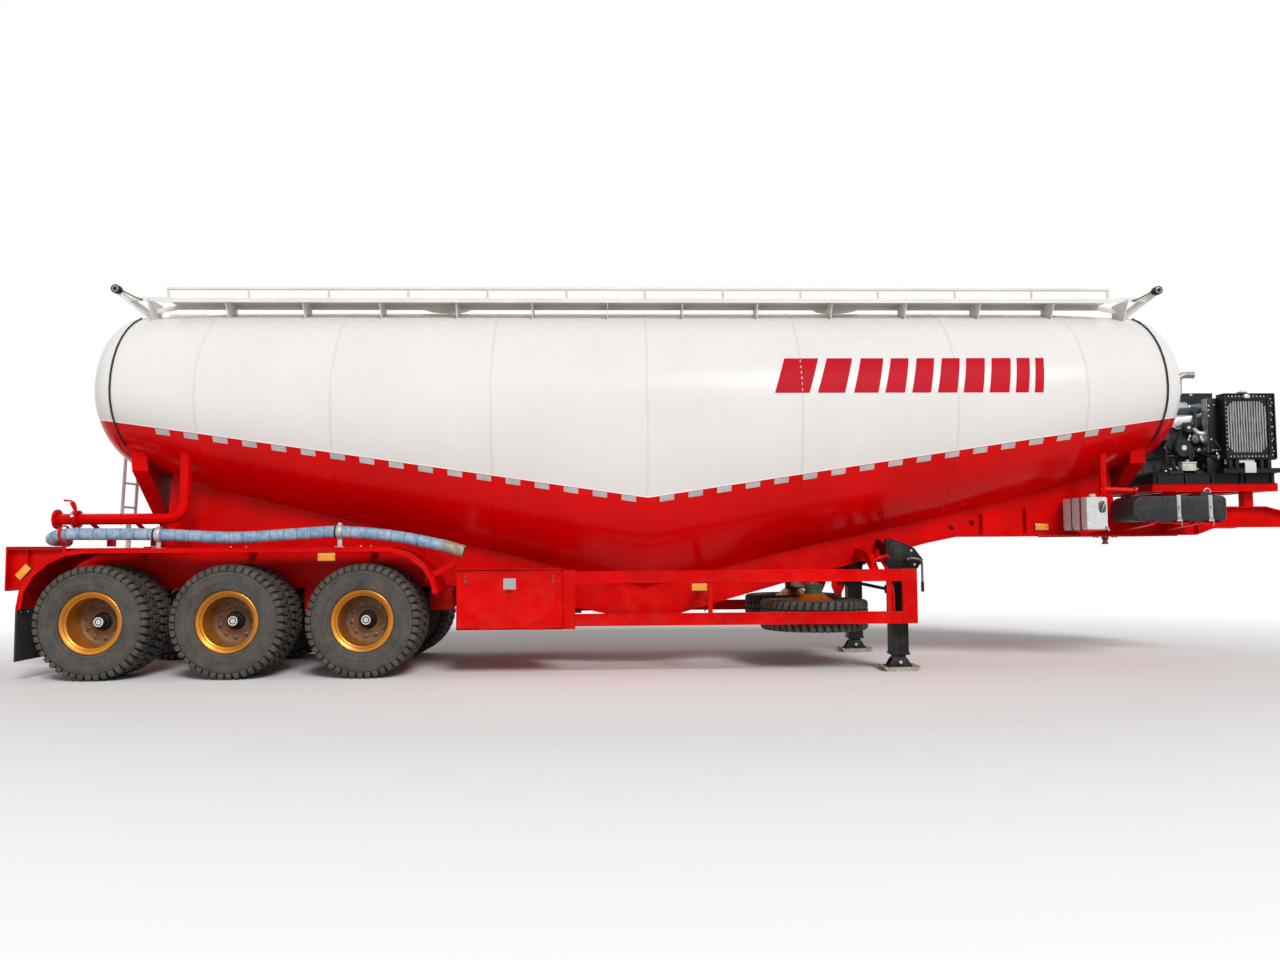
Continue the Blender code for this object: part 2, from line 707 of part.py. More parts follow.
def build_keel_frame():
    rear, front = REAR_FRAME_FRONT + SEAT_GAP, KEEL_FRONT
    top = 2.2
    points = keel_points()
    parts = web_pair([*points, (front, top), (rear, top)])
    parts += flange_pair(points)
    for station, depth in ((-1.7, 0.12), (-0.75, 0.10), (0.72, 0.09), (2.55, 0.14)):
        low_z = keel_bottom_z(station) + FLANGE_SHEET + 0.015
        parts.append(cross_member(station, low_z, low_z + depth))
    finish(seat_on_tank(union(parts)), "keel_frame", "red_paint")


def build_gooseneck():
    rear, front = KEEL_FRONT + SEAT_GAP, FRONT_END
    low, low_front, top_front = NECK_BOTTOM_Z, NECK_FRONT_BOTTOM_Z, NECK_FRONT_TOP_Z
    points = [(rear, KEEL_FRONT_Z), (3.35, low), (5.95, low), (6.17, low_front), (front, low_front)]
    saddle_rear = SADDLE_X - SADDLE_HALF - 0.02
    nose = [(5.56, top_front), (6.72, top_front), (front, top_front - 0.06)]
    outline = [*points, *nose[::-1], (5.50, SADDLE_SEAT_Z), (saddle_rear, SADDLE_SEAT_Z),
               (saddle_rear - 0.02, SADDLE_SEAT_Z + 0.05), (saddle_rear - 0.10, 2.4), (rear, 2.4)]
    holes = [circle(x, z, 0.032, 8) for x, z in ((3.30, 1.455), (3.52, 1.50))]
    parts = web_pair(outline, holes)
    parts += flange_pair(points)
    parts += flange_pair([(x, z - FLANGE_SHEET + 0.002) for x, z in nose], below=False)
    for station in (3.6, 4.6, 6.30, front - 0.03):
        parts.append(cross_member(station, low_front + 0.02, 1.57))
    parts.append(block((KINGPIN_X - 0.55, KINGPIN_X + 0.55), (-WEB_Y - 0.05, WEB_Y + 0.05),
                       (low - KINGPIN_PLATE_SHEET - FLANGE_SHEET, low - FLANGE_SHEET + 0.002)))
    face = low - KINGPIN_PLATE_SHEET - FLANGE_SHEET
    pin = [(0.0, 0.05), (0.06, 0.05), (0.06, -0.001), (KINGPIN_RADIUS + 0.011, -0.001),
           (KINGPIN_RADIUS + 0.011, -0.035), (KINGPIN_RADIUS, -0.037), (KINGPIN_RADIUS, -0.066),
           (KINGPIN_HEAD_RADIUS, -0.070), (KINGPIN_HEAD_RADIUS, -KINGPIN_LENGTH), (0.0, -KINGPIN_LENGTH)]
    parts.append(turned(pin, Matrix.Translation((KINGPIN_X, 0, face)), 12))
    post_z = (top_front - 0.01, DECK_Z - DECK_DEPTH + 0.01)
    for station in (5.70, 6.55):
        for side in (-1, 1):
            parts.append(block((station - 0.05, station + 0.05), (side * WEB_Y - 0.05, side * WEB_Y + 0.05),
                               post_z))
    deck_low = DECK_Z - DECK_DEPTH
    for side in (-1, 1):
        parts.append(block((DECK_REAR, DECK_FRONT), (side * DECK_HALF_WIDTH, side * (DECK_HALF_WIDTH - 0.06)),
                           (deck_low, DECK_Z)))
    for station in (DECK_REAR + 0.03, 5.70, 6.13, 6.55, DECK_FRONT - 0.03):
        parts.append(block((station - 0.03, station + 0.03), (-DECK_HALF_WIDTH + 0.01, DECK_HALF_WIDTH - 0.01),
                           (deck_low + 0.002, DECK_Z - 0.002)))
    finish(seat_on_tank(union(parts)), "gooseneck", "red_paint")


def build_saddle(end):
    """Cradle with a wide edge flange that carries one end of the tank."""
    half = SADDLE_HALF
    if end < 0:
        edge = [(0.26, 1.66), (0.75, 2.08), (0.82, 2.42)]
        base_z = REAR_RAIL_TOP_Z + SEAT_GAP
    else:
        edge = [(0.20, 1.83), (0.44, 1.92), (0.76, 2.12), (0.80, 2.42)]
        base_z = SADDLE_SEAT_Z + SEAT_GAP
    low_half = WEB_Y + WEB_SHEET / 2
    foot_z = base_z + 0.004
    outline = [(-y, z) for y, z in edge[::-1]] + [(-edge[0][0], foot_z), (edge[0][0], foot_z)] + edge
    x = end * SADDLE_X
    parts = [plate([outline], X_AXIS, x - 0.006, x + 0.006)]
    strip = inset_route(edge, -0.004) + inset_route(edge, 0.006)[::-1]
    for side in (-1, 1):
        parts.append(plate([[(side * y, z) for y, z in strip]], X_AXIS, x - half, x + half))
    parts.append(block((x - half, x + half), (-low_half, low_half), (base_z, base_z + 0.012)))
    saddle = seat_on_tank(union(parts))
    finish(saddle, "saddle_front" if end > 0 else "saddle_rear", "red_paint")


# Running gear

def wheel_frame(side, station):
    """Frame of a wheel station: its height runs outwards along the axle."""
    turn = Matrix.Rotation(math.radians(-90 * side), 4, "X")
    return Matrix.Translation((station, side * WHEEL_Y, TYRE_RADIUS)) @ turn


def tyre_profile(middle):
    half = TYRE_HALF_WIDTH
    right = [(BEAD_RADIUS, 0.097), (TYRE_RADIUS - 0.06, half), (TYRE_RADIUS, half - 0.04)]
    loop = right + [(radius, -height) for radius, height in right[::-1]]
    return [(radius, middle + height) for radius, height in loop]


def rim_profile():
    """Both rims with their discs back to back, the hub and the brake drum, as one turned profile."""
    middle = TWIN_SPACING / 2
    lip = middle + RIM_HALF_WIDTH
    well = BEAD_RADIUS - SEAT_GAP
    inside = well - RIM_SHEET
    disc = DISC_SHEET / 2
    bead = middle + 0.100
    bore = (SPINDLE_RADIUS + SPINDLE_CLEARANCE) / math.cos(math.pi / WHEEL_STEPS)
    drum_inside = DRUM_RADIUS - 0.02
    return [(0.0, HUB_CAP_Y), (HUB_CAP_RADIUS, HUB_CAP_Y), (HUB_RADIUS + 0.010, 0.03),
            (DISC_RADIUS - 0.030, disc), (inside, disc + 0.05), (inside, lip - 0.03),
            (RIM_LIP_RADIUS, lip), (well, bead), (well, -bead), (RIM_LIP_RADIUS, -lip),
            (inside, 0.03 - lip), (drum_inside, -DRUM_END), (drum_inside, -0.05), (bore, -0.05),
            (bore, 0.05), (0.0, 0.05)]


def build_wheels():
    for side, side_name in ((-1, "right"), (1, "left")):
        for axle_name, station in AXLE_STATIONS:
            place = axle_name.replace("axle_", "")
            frame = wheel_frame(side, station)
            hub = Vector((station, side * WHEEL_Y, TYRE_RADIUS))
            rims = turned(rim_profile(), frame, WHEEL_STEPS)
            piece = finish(rims, f"wheel_{place}_{side_name}", "rim_gold")
            set_origin(piece, hub)
            for which, middle in (("outer", TWIN_SPACING / 2), ("inner", -TWIN_SPACING / 2)):
                tyre = turned(tyre_profile(middle), frame, WHEEL_STEPS, closed=True)
                tyre = finish(tyre, f"tyre_{place}_{side_name}_{which}", "tyre_rubber")
                set_origin(tyre, hub)


def build_axles():
    half_pitch = (AXLE_STATIONS[0][1] - AXLE_STATIONS[1][1]) / 2
    spindle_end = WHEEL_Y + 0.02
    shoulder = WHEEL_Y - 0.05 - 0.012
    for name, station in AXLE_STATIONS:
        half = AXLE_BEAM / 2
        parts = [block((station - half, station + half), (-0.56, 0.56),
                       (TYRE_RADIUS - half, TYRE_RADIUS + half))]
        parts.append(rod((station, -shoulder, TYRE_RADIUS), (station, shoulder, TYRE_RADIUS), 0.062))
        parts.append(rod((station, -spindle_end, TYRE_RADIUS), (station, spindle_end, TYRE_RADIUS),
                         SPINDLE_RADIUS, ROUND_STEPS))
        seat_z = TYRE_RADIUS + half
        for side in (-1, 1):
            y = side * WEB_Y
            parts.append(block((station - 0.09, station + 0.09), (y - SPRING_WIDTH / 2, y + SPRING_WIDTH / 2),
                               (seat_z - 0.02, seat_z + 0.03)))
            parts.append(leaf_spring(station, y, seat_z + 0.02, half_pitch))
            parts.append(rod((station, side * 0.60, TYRE_RADIUS), (station, side * 0.612, TYRE_RADIUS), 0.17,
                             ROUND_STEPS))
        finish(union(parts), name, "black_paint")


def leaf_spring(station, y, low, half_pitch):
    """Leaf pack: each leaf shorter than the one above it, the top one reaching its hangers."""
    eye = SPRING_EYE_Z
    reach = half_pitch - 0.02
    leaves = [(0.34, low + LEAF_SHEET), (0.58, low + 2 * LEAF_SHEET), (0.80, low + 3 * LEAF_SHEET)]
    steps = [(reach * 0.20, low)] + [(reach * share, z) for share, z in leaves]
    steps += [(reach, eye), (reach, eye + LEAF_SHEET)]
    right = [(station + x, z) for x, z in steps]
    left = [(station - x, z) for x, z in steps[::-1]]
    top = low + 4 * LEAF_SHEET
    outline = right + [(station + 0.08, top), (station - 0.08, top)] + left
    return plate([outline], Y_AXIS, y - SPRING_WIDTH / 2, y + SPRING_WIDTH / 2)


# Mudguards

def inset_route(route, depth):
    """The same route moved towards the wheels, square to its own run."""
    moved = []
    for i, (x, z) in enumerate(route):
        before = Vector(route[max(i - 1, 0)])
        after = Vector(route[min(i + 1, len(route) - 1)])
        run = (after - before).normalized()
        moved.append((x + run.y * depth, z - run.x * depth))
    return moved


def build_mudguard(side):
    route = list(MUDGUARD_REAR_CURVE[::-1]) + list(MUDGUARD_FRONT_CURVE)
    outer, inner = side * MUDGUARD_OUTER_Y, side * MUDGUARD_INNER_Y
    skin = plate([route + inset_route(route, MUDGUARD_SHEET)[::-1]], Y_AXIS, outer, inner)
    lip = plate([route + inset_route(route, MUDGUARD_LIP)[::-1]], Y_AXIS, outer,
                outer - side * MUDGUARD_SHEET)
    inner_lip = plate([route + inset_route(route, MUDGUARD_LIP)[::-1]], Y_AXIS, inner,
                      inner + side * MUDGUARD_SHEET)
    parts = [skin, lip, inner_lip]
    web_side = side * (WEB_Y + WEB_SHEET / 2 + SEAT_GAP)
    for station in (-5.25, -4.12, -2.85):
        parts.append(block((station - 0.03, station + 0.03), (web_side, side * (MUDGUARD_INNER_Y + 0.05)),
                           (MUDGUARD_TOP_Z - 0.06, REAR_RAIL_TOP_Z - FLANGE_SHEET - 0.004)))
    flap_x = MUDGUARD_REAR_CURVE[-1][0]
    parts.append(block((flap_x, flap_x + FLAP_SHEET), (outer, inner + side * 0.003),
                       (FLAP_BOTTOM_Z, MUDGUARD_REAR_CURVE[-1][1] + 0.05)))
    if side < 0:
        parts += hose_carriers()
    finish(union(parts), "mudguard_right" if side < 0 else "mudguard_left", "red_paint")


def mudguard_z(station):
    """Height of the mudguard's outer face at a station."""
    route = list(MUDGUARD_REAR_CURVE[::-1]) + list(MUDGUARD_FRONT_CURVE)
    for (x0, z0), (x1, z1) in zip(route, route[1:]):
        if x0 <= station <= x1:
            return z0 + (z1 - z0) * (station - x0) / (x1 - x0)
    return MUDGUARD_TOP_Z


def hose_place(station):
    """Centre and direction of the hose where its route passes one of its points."""
    index = [point[0] for point in HOSE_ROUTE].index(station)
    before, centre, after = [Vector(point) for point in HOSE_ROUTE[index - 1:index + 2]]
    return centre, (after - before).normalized()


def hose_carriers():
    """Two clamps that hold the hose and one wide hoop it passes through, on the mudguard's top."""
    carriers = []
    for station, slack, half_width in HOSE_CARRIERS:
        centre, run = hose_place(station)
        inside = (HOSE_RADIUS + slack) / math.cos(math.pi / CLAMP_STEPS)
        outside = inside + 0.009
        ring = [(outside, half_width), (outside, -half_width), (inside, -half_width), (inside, half_width)]
        frame = Matrix.Translation(centre) @ run.to_track_quat("Z", "Y").to_matrix().to_4x4()
        carriers.append(turned(ring, frame, CLAMP_STEPS, closed=True))
        carriers.append(block((centre.x - 0.015, centre.x + 0.015), (centre.y - 0.004, centre.y + 0.004),
                              (mudguard_z(centre.x) - 0.012, centre.z - inside - 0.004)))
    return carriers


# Boxes, guards and legs

def build_toolbox(side):
    name = "right" if side < 0 else "left"
    outer, inner = side * BOX_OUTER_Y, side * BOX_INNER_Y
    shell = block((BOX_REAR, BOX_FRONT), (outer, inner), (BOX_BOTTOM_Z, BOX_TOP_Z))
    room = block((BOX_REAR + BOX_SHEET, BOX_FRONT - BOX_SHEET), (outer + side * 0.1, inner + side * BOX_SHEET),
                 (BOX_BOTTOM_Z + BOX_SHEET, BOX_TOP_Z - BOX_SHEET))
    shell = cut(shell, [room])
    parts = [shell]
    web_side = side * (WEB_Y + WEB_SHEET / 2 + SEAT_GAP)
    for station in (BOX_REAR + 0.18, BOX_FRONT - 0.18):
        parts.append(block((station - 0.03, station + 0.03), (inner + side * 0.003, web_side),
                           (BOX_TOP_Z - 0.11, BOX_TOP_Z - 0.03)))
    hood = [(outer - side * 0.02, BOX_TOP_Z), (outer + side * 0.030, BOX_TOP_Z),
            (outer + side * 0.030, BOX_TOP_Z - 0.012), (outer - side * 0.02, BOX_TOP_Z - 0.004)]
    parts.append(plate([hood], X_AXIS, BOX_REAR, BOX_FRONT))
    axis_y = outer + side * (SEAT_GAP + DOOR_SHEET + DOOR_KNUCKLE_RADIUS)
    axis_z = BOX_BOTTOM_Z + DOOR_KNUCKLE_RADIUS
    knuckles = door_knuckles()
    for start, end in knuckles:
        for low, high in ((start - 0.041, start - 0.001), (end + 0.001, end + 0.041)):
            parts.append(rod((low, axis_y, axis_z), (high, axis_y, axis_z), DOOR_KNUCKLE_RADIUS, 10))
            parts.append(block((low, high), (axis_y, outer - side * 0.004),
                               (BOX_BOTTOM_Z, BOX_BOTTOM_Z + 0.006)))
    finish(union(parts), f"toolbox_{name}", "red_paint")
    door_low = BOX_BOTTOM_Z + DOOR_MARGIN
    face = outer + side * SEAT_GAP
    door = [block((BOX_REAR + DOOR_END_GAP, BOX_FRONT - DOOR_END_GAP), (face, face + side * DOOR_SHEET),
                  (door_low, BOX_TOP_Z - DOOR_TOP_GAP))]
    for start, end in knuckles:
        door.append(rod((start, axis_y, axis_z), (end, axis_y, axis_z), DOOR_KNUCKLE_RADIUS, 10))
        door.append(block((start, end), (axis_y + side * 0.004, face + side * (DOOR_SHEET - 0.004)),
                          (axis_z - 0.003, door_low + 0.05)))
    door = finish(union(door), f"toolbox_door_{name}", "red_paint")
    set_origin(door, (0, axis_y, axis_z))


def door_knuckles():
    quarter = (BOX_FRONT - BOX_REAR) / 4
    return [(x - 0.04, x + 0.04) for x in (BOX_REAR + quarter, BOX_FRONT - quarter)]


def build_side_guard(side):
    outer = side * GUARD_OUTER_Y
    back = outer - side * GUARD_RAIL_DEPTH
    rear = BOX_FRONT + SEAT_GAP
    pillar = rear + 0.12
    end = GUARD_FRONT - GUARD_END_WIDTH
    parts = [block((rear, pillar), (outer, back), (BOX_BOTTOM_Z + 0.003, BOX_TOP_Z - 0.02))]
    for low, high in (GUARD_TOP_Z, GUARD_LOW_Z):
        parts.append(block((pillar - 0.01, end + 0.01), (outer, back), (low, high)))
    parts.append(block((end, GUARD_FRONT), (outer, back), (GUARD_LOW_Z[0], GUARD_TOP_Z[1] + 0.003)))
    parts.append(block((GUARD_FRONT - 0.006, GUARD_FRONT), (back + side * 0.004, side * (LEG_Y + 0.16)),
                       (GUARD_LOW_Z[0] + 0.002, GUARD_TOP_Z[1])))
    for post in GUARD_POSTS:
        parts.append(block((post - 0.022, post + 0.022), (back, outer - side * 0.006),
                           (GUARD_LOW_Z[1] - 0.01, GUARD_TOP_Z[0] + 0.01)))
    web_side = side * (WEB_Y + WEB_SHEET / 2 + SEAT_GAP)
    parts.append(block((GUARD_POSTS[0] - 0.03, GUARD_POSTS[0] + 0.03), (back + side * 0.004, web_side),
                       (GUARD_TOP_Z[0] - 0.02, GUARD_TOP_Z[0] + 0.04)))
    brace_x = GUARD_POSTS[1] - 0.12
    arm = [(back + side * 0.004, GUARD_TOP_Z[1] - 0.09), (back + side * 0.004, GUARD_TOP_Z[1] - 0.01),
           (side * 0.98, 1.18), (side * 0.80, 1.22), (web_side, 1.24), (web_side, 1.15), (side * 0.80, 1.13),
           (side * 0.93, 1.08)]
    parts.append(plate([arm], X_AXIS, brace_x - 0.03, brace_x + 0.03))
    finish(union(parts), "side_guard_right" if side < 0 else "side_guard_left", "red_paint")


def build_landing_leg(side):
    x, y = LEG_X, side * LEG_Y
    outer, inner = LEG_OUTER / 2, LEG_INNER / 2
    parts = [block((x - outer, x + outer), (y - outer, y + outer), (LEG_OUTER_BOTTOM_Z, LEG_TOP_Z)),
             block((x - inner, x + inner), (y - inner, y + inner), (FOOT_SHEET, LEG_OUTER_BOTTOM_Z + 0.02))]
    gearbox = [(x - 0.14, 1.03), (x + 0.17, 1.03), (x + 0.23, 1.12), (x + 0.14, 1.24), (x - 0.02, 1.31),
               (x - 0.14, 1.33)]
    parts.append(plate([gearbox], Y_AXIS, y + side * (outer - 0.01), y + side * (outer + 0.07)))
    half_l, half_w = FOOT_LENGTH / 2, FOOT_WIDTH / 2
    sole = [(x - half_l, 0.035), (x - half_l + 0.03, 0.0), (x + half_l - 0.03, 0.0), (x + half_l, 0.035),
            (x + half_l, 0.05), (x + half_l - 0.05, 0.03), (x - half_l + 0.05, 0.03), (x - half_l, 0.05)]
    parts.append(plate([sole], Y_AXIS, y - half_w, y + half_w))
    for rib in (-1, 1):
        ridge = [(x - 0.13, 0.028), (x + 0.13, 0.028), (x + 0.07, 0.125), (x - 0.07, 0.125)]
        parts.append(plate([ridge], Y_AXIS, y + rib * (inner + 0.001) - 0.005, y + rib * (inner + 0.001) + 0.005))
    web_side = side * (WEB_Y + WEB_SHEET / 2 + SEAT_GAP)
    for station in (x - outer + 0.005, x + outer - 0.017):
        bracket = [(y - side * (outer - 0.01), 0.95), (y - side * (outer - 0.01), 1.27), (web_side, 1.34),
                   (web_side, 1.245), (side * (WEB_Y + FLANGE_WIDTH / 2 + 0.015), 1.225)]
        parts.append(plate([bracket], X_AXIS, station, station + 0.012))
    if side < 0:
        shaft_end = side * -1 * (LEG_Y - outer - SEAT_GAP)
        parts.append(rod((x, y + outer - 0.01, 1.10), (x, shaft_end, 1.10), 0.018))
        crank = [Vector((x + 0.19, y - outer - 0.05, 1.12)), Vector((x + 0.19, y - outer - 0.115, 1.12)),
                 Vector((x + 0.20, y - outer - 0.125, 1.06)), Vector((x + 0.20, y - outer - 0.13, 0.80))]
        parts.append(tube(crank, 0.011, 1))
    finish(union(parts), "landing_leg_right" if side < 0 else "landing_leg_left", "black_paint")


def spare_rim_profile():
    well = BEAD_RADIUS - SEAT_GAP
    inside = well - RIM_SHEET
    lip = RIM_HALF_WIDTH
    return [(0.0, 0.065), (0.20, 0.065), (inside, 0.085), (inside, lip - 0.025), (RIM_LIP_RADIUS, lip),
            (well, 0.099), (well, -0.099), (RIM_LIP_RADIUS, -lip), (inside, 0.025 - lip), (inside, 0.045),
            (0.0, 0.045)]


def build_spares():
    beam_z = (0.80, 0.87)
    parts = [block((SPARE_X - 0.05, SPARE_X + 0.05), (-SPARE_Y - 0.06, SPARE_Y + 0.06), beam_z)]
    for side in (-1, 1):
        y = side * SPARE_Y
        parts.append(rod((SPARE_X, y, SPARE_Z + 0.02), (SPARE_X, y, beam_z[1] - 0.005), SPARE_DRUM_RADIUS,
                         ROUND_STEPS))
        place = Matrix.Translation((SPARE_X, y, SPARE_Z))
        parts.append(turned(spare_rim_profile(), place, WHEEL_STEPS))
        tyre = turned(tyre_profile(0.0), place, WHEEL_STEPS, closed=True)
        finish(tyre, "spare_tyre_right" if side < 0 else "spare_tyre_left", "tyre_rubber")
        rear, front = SPARE_X - 0.045, SPARE_X + 0.045
        hanger = [(rear, beam_z[1] - 0.01), (front, beam_z[1] - 0.01), (front, keel_bottom_z(front) - SEAT_GAP),
                  (rear, keel_bottom_z(rear) - SEAT_GAP)]
        parts.append(plate([hanger], Y_AXIS, side * WEB_Y - 0.04, side * WEB_Y + 0.04))
    finish(union(parts), "spare_carrier", "rim_gold")


# Blower set

def build_engine_set():
    base = []
    for side in (-1, 1):
        base.append(block((DECK_REAR + 0.02, DECK_FRONT - 0.02), (side * 0.60, side * 0.50),
                          (DECK_Z + SEAT_GAP, ENGINE_BASE_Z)))
    for station in (DECK_REAR + 0.06, 6.05, DECK_FRONT - 0.06):
        base.append(block((station - 0.04, station + 0.04), (-0.51, 0.51), (DECK_Z + 0.01, ENGINE_BASE_Z - 0.002)))
    finish(union(base), "engine_base", "black_paint")

    low = ENGINE_BASE_Z + SEAT_GAP
    x0, x1 = ENGINE_X
    rx0, rx1 = RADIATOR_X
    y0, y1 = RADIATOR_Y, RADIATOR_Y + RADIATOR_DEPTH
    z0, z1 = RADIATOR_Z
    face = -0.42
    engine = [block((x0 + 0.06, x1 - 0.06), (face, 0.40), (low, 2.24)),
              block((x0, x1), (face - 0.04, 0.44), (2.22, 2.52)),
              block((x0 + 0.04, x1 - 0.02), (face + 0.02, 0.40), (2.50, 2.76)),
              block((x0 + 0.10, x1 + 0.06), (face + 0.10, 0.34), (2.74, 2.90)),
              block((x0 + 0.28, x1 + 0.09), (-0.24, 0.20), (2.89, 2.926)),
              block((x0 - 0.08, x1 + 0.02), (face - 0.07, 0.46), (low, 2.06)),
              block((x0 - 0.07, x1 - 0.16), (face - 0.12, face - 0.06), (low, 2.05))]
    pulleys = ((x0 + 0.10, 2.30, 0.09), (x0 + 0.27, 2.41, 0.065), (x0 + 0.16, 2.52, 0.05))
    for x, z, radius in pulleys:
        engine.append(rod((x, face - 0.02, z), (x, face - 0.12, z), radius, ROUND_STEPS))
    engine.append(rod((x0 - 0.02, -0.35, 2.746), (x0 + 0.24, -0.35, 2.746), 0.075, ROUND_STEPS))
    engine.append(rod((x0 + 0.22, -0.35, 2.75), (x1 - 0.08, -0.35, 2.75), 0.035))
    engine.append(rod((x0 + 0.04, face, 2.62), (x1 - 0.08, face, 2.62), 0.04))
    engine.append(tube([Vector((x0 + 0.28, face - 0.03, 2.36)), Vector((x0 + 0.32, face - 0.07, 2.27)),
                        Vector((rx0 - 0.04, face - 0.08, 2.22))], 0.030, 1))
    engine.append(tube([Vector((x1 - 0.10, 0.30, 2.60)), Vector((x1 + 0.08, 0.36, 2.62)),
                        Vector((x1 + 0.10, 0.40, 2.80)), Vector((x1 + 0.10, 0.40, 3.20)),
                        Vector((x1 + 0.13, 0.40, 3.24)), Vector((x1 + 0.28, 0.40, 3.25))], 0.035, 1))
    engine.append(block((5.82, 5.96), (face - 0.11, face - 0.04), (2.02, 2.15)))
    finish(union(engine), "engine", "cast_iron")

    frame = block((rx0, rx1), (y0, y1), (z0, z1))
    window = plate([chamfered(rx0 + 0.03, rx1 - 0.08, z0 + 0.06, z1 - 0.08, 0.06)], Y_AXIS, y0 - 0.02, y0 + 0.03)
    frame = cut(frame, [window])
    fins = [frame]
    for i in range(RADIATOR_FINS):
        fin = rx0 + 0.06 + (rx1 - rx0 - 0.17) * i / (RADIATOR_FINS - 1)
        fins.append(block((fin - 0.006, fin + 0.006), (y0 + 0.010, y0 + 0.035), (z0 + 0.05, z1 - 0.07)))
    fins.append(block((rx0 - 0.13, rx0 + 0.01), (y1 - 0.025, y1 - 0.005), (z0 + 0.07, z1 - 0.04)))
    fins.append(block((rx0 - 0.06, rx0 + 0.01), (y1 - 0.024, -0.50), (z0 + 0.10, z1 - 0.10)))
    for station in (rx0 + 0.06, rx1 - 0.06):
        fins.append(block((station - 0.03, station + 0.03), (y0 + 0.04, y0 + 0.10), (DECK_Z + 0.15, z0 + 0.01)))
    fins.append(block((rx0 - 0.02, DECK_FRONT - 0.03), (y0 + 0.02, -0.50),
                      (ENGINE_BASE_Z + SEAT_GAP, ENGINE_BASE_Z + 0.05)))
    fins.append(block((rx0 + 0.05, rx1 - 0.05), (y1 - 0.002, y1 + 0.10), (z0 + 0.06, z1 - 0.06)))
    fins.append(rod((rx0 + 0.24, (y0 + y1) / 2, z1 - 0.01), (rx0 + 0.24, (y0 + y1) / 2, z1 + 0.03), 0.035))
    finish(union(fins), "radiator", "black_paint")

    cx = x0 + 0.25
    compressor = [rod((cx, 0.50, 2.36), (cx, 0.98, 2.36), 0.19, ROUND_STEPS),
                  rod((cx, 0.46 + SEAT_GAP + 0.002, 2.36), (cx, 0.52, 2.36), 0.14, ROUND_STEPS),
                  block((cx - 0.16, cx + 0.16), (0.52, 0.94), (low, 2.24)),
                  rod((cx, 0.74, 2.50), (cx, 0.74, 2.66), 0.06, 10),
                  block((cx - 0.22, cx + 0.22), (0.50, 0.60), (low, low + 0.03))]
    finish(union(compressor), "compressor", "cast_iron")


def chamfered(x0, x1, z0, z1, corner):
    return [(x0 + corner, z0), (x1 - corner, z0), (x1, z0 + corner), (x1, z1 - corner), (x1 - corner, z1),
            (x0 + corner, z1), (x0, z1 - corner), (x0, z0 + corner)]


def build_side_tanks():
    web_side = -(WEB_Y + WEB_SHEET / 2 + SEAT_GAP)
    body = plate([chamfered(FUEL_TANK_X[0], FUEL_TANK_X[1], 1.49, 1.75, 0.05)], Y_AXIS, -1.12, -0.62)
    shelf = [block((x - 0.03, x + 0.03), (-1.10, web_side), (1.40, 1.495)) for x in FUEL_SHELVES]
    shelf += [block((x - 0.022, x + 0.022), (-1.126, -0.614), (1.484, 1.756)) for x in FUEL_STRAPS]
    finish(union([body, *shelf]), "fuel_tank", "black_plastic")
    x0, x1 = WATER_BOX_X
    body = plate([chamfered(x0, x1, 1.41, 1.75, 0.02)], Y_AXIS, -1.05, -0.50)
    shelf = block((x0 + 0.03, x1 - 0.03), (-0.52, web_side), (1.42, 1.46))
    cap = rod(((x0 + x1) / 2, -0.95, 1.74), ((x0 + x1) / 2, -0.95, 1.78), 0.03)
    finish(union([body, shelf, cap]), "water_box", "grey_plastic")


# Pipes and hose

def build_pipes():
    z = REAR_PIPE_Z
    y = -REAR_PIPE_Y
    flange_x = -5.93
    bend = [Vector((-4.83, y, z))]
    for i in range(1, 5):
        turn = math.pi / 2 * i / 4
        bend.append(Vector((-4.83 + 0.16 * math.sin(turn), y, z + 0.16 * (1 - math.cos(turn)))))
    route = [Vector((flange_x, y, z)), *bend, Vector((-4.67, y, 2.6))]
    parts = [tube(route, PIPE_RADIUS),
             rod((flange_x - 0.012, y, z), (flange_x + 0.012, y, z), 0.10, ROUND_STEPS),
             rod((-5.76, y, z), (-5.72, y, z), 0.085, ROUND_STEPS),
             bar((-5.74, y, z + 0.06), (-5.79, y - 0.02, z + 0.17), 0.02, 0.03)]
    stand_y = -(WEB_Y + FLANGE_WIDTH / 2 - 0.02)
    for station in (-5.60, -5.15):
        parts.append(bar((station, y, z - 0.03), (station, stand_y, REAR_RAIL_TOP_Z + FLANGE_SHEET + 0.06), 0.05, 0.012))
        parts.append(block((station - 0.03, station + 0.03), (stand_y - 0.02, stand_y + 0.06),
                           (REAR_RAIL_TOP_Z + FLANGE_SHEET + SEAT_GAP, REAR_RAIL_TOP_Z + FLANGE_SHEET + 0.07)))
    finish(seat_on_tank(union(parts)), "rear_pipe", "red_paint")

    y = -FRONT_PIPE_Y
    parts = [rod((4.77, y, 1.80), (4.77, y, 2.6), 0.04),
             rod((4.74, y, 1.835), (5.08, y - 0.040, 1.815), 0.032),
             rod((5.07, y - 0.039, 1.8155), (5.09, y - 0.041, 1.8145), 0.04)]
    finish(seat_on_tank(union(parts)), "front_pipe", "red_paint")

    outlet = [rod((0, 0, 0.57), (0, 0, 0.60), 0.14, ROUND_STEPS),
              rod((0, 0, 0.59), (0, 0, 0.80), 0.10, ROUND_STEPS, 0.22),
              tube([Vector((0, 0, 0.62)), Vector((0.30, -0.12, 0.63)), Vector((0.50, -0.30, 0.64))], 0.035)]
    finish(seat_on_tank(union(outlet)), "hopper_outlet", "red_paint")


def build_hose():
    route = smooth_route(HOSE_ROUTE)
    finish(tube(route, HOSE_RADIUS), "hose", "hose_blue")


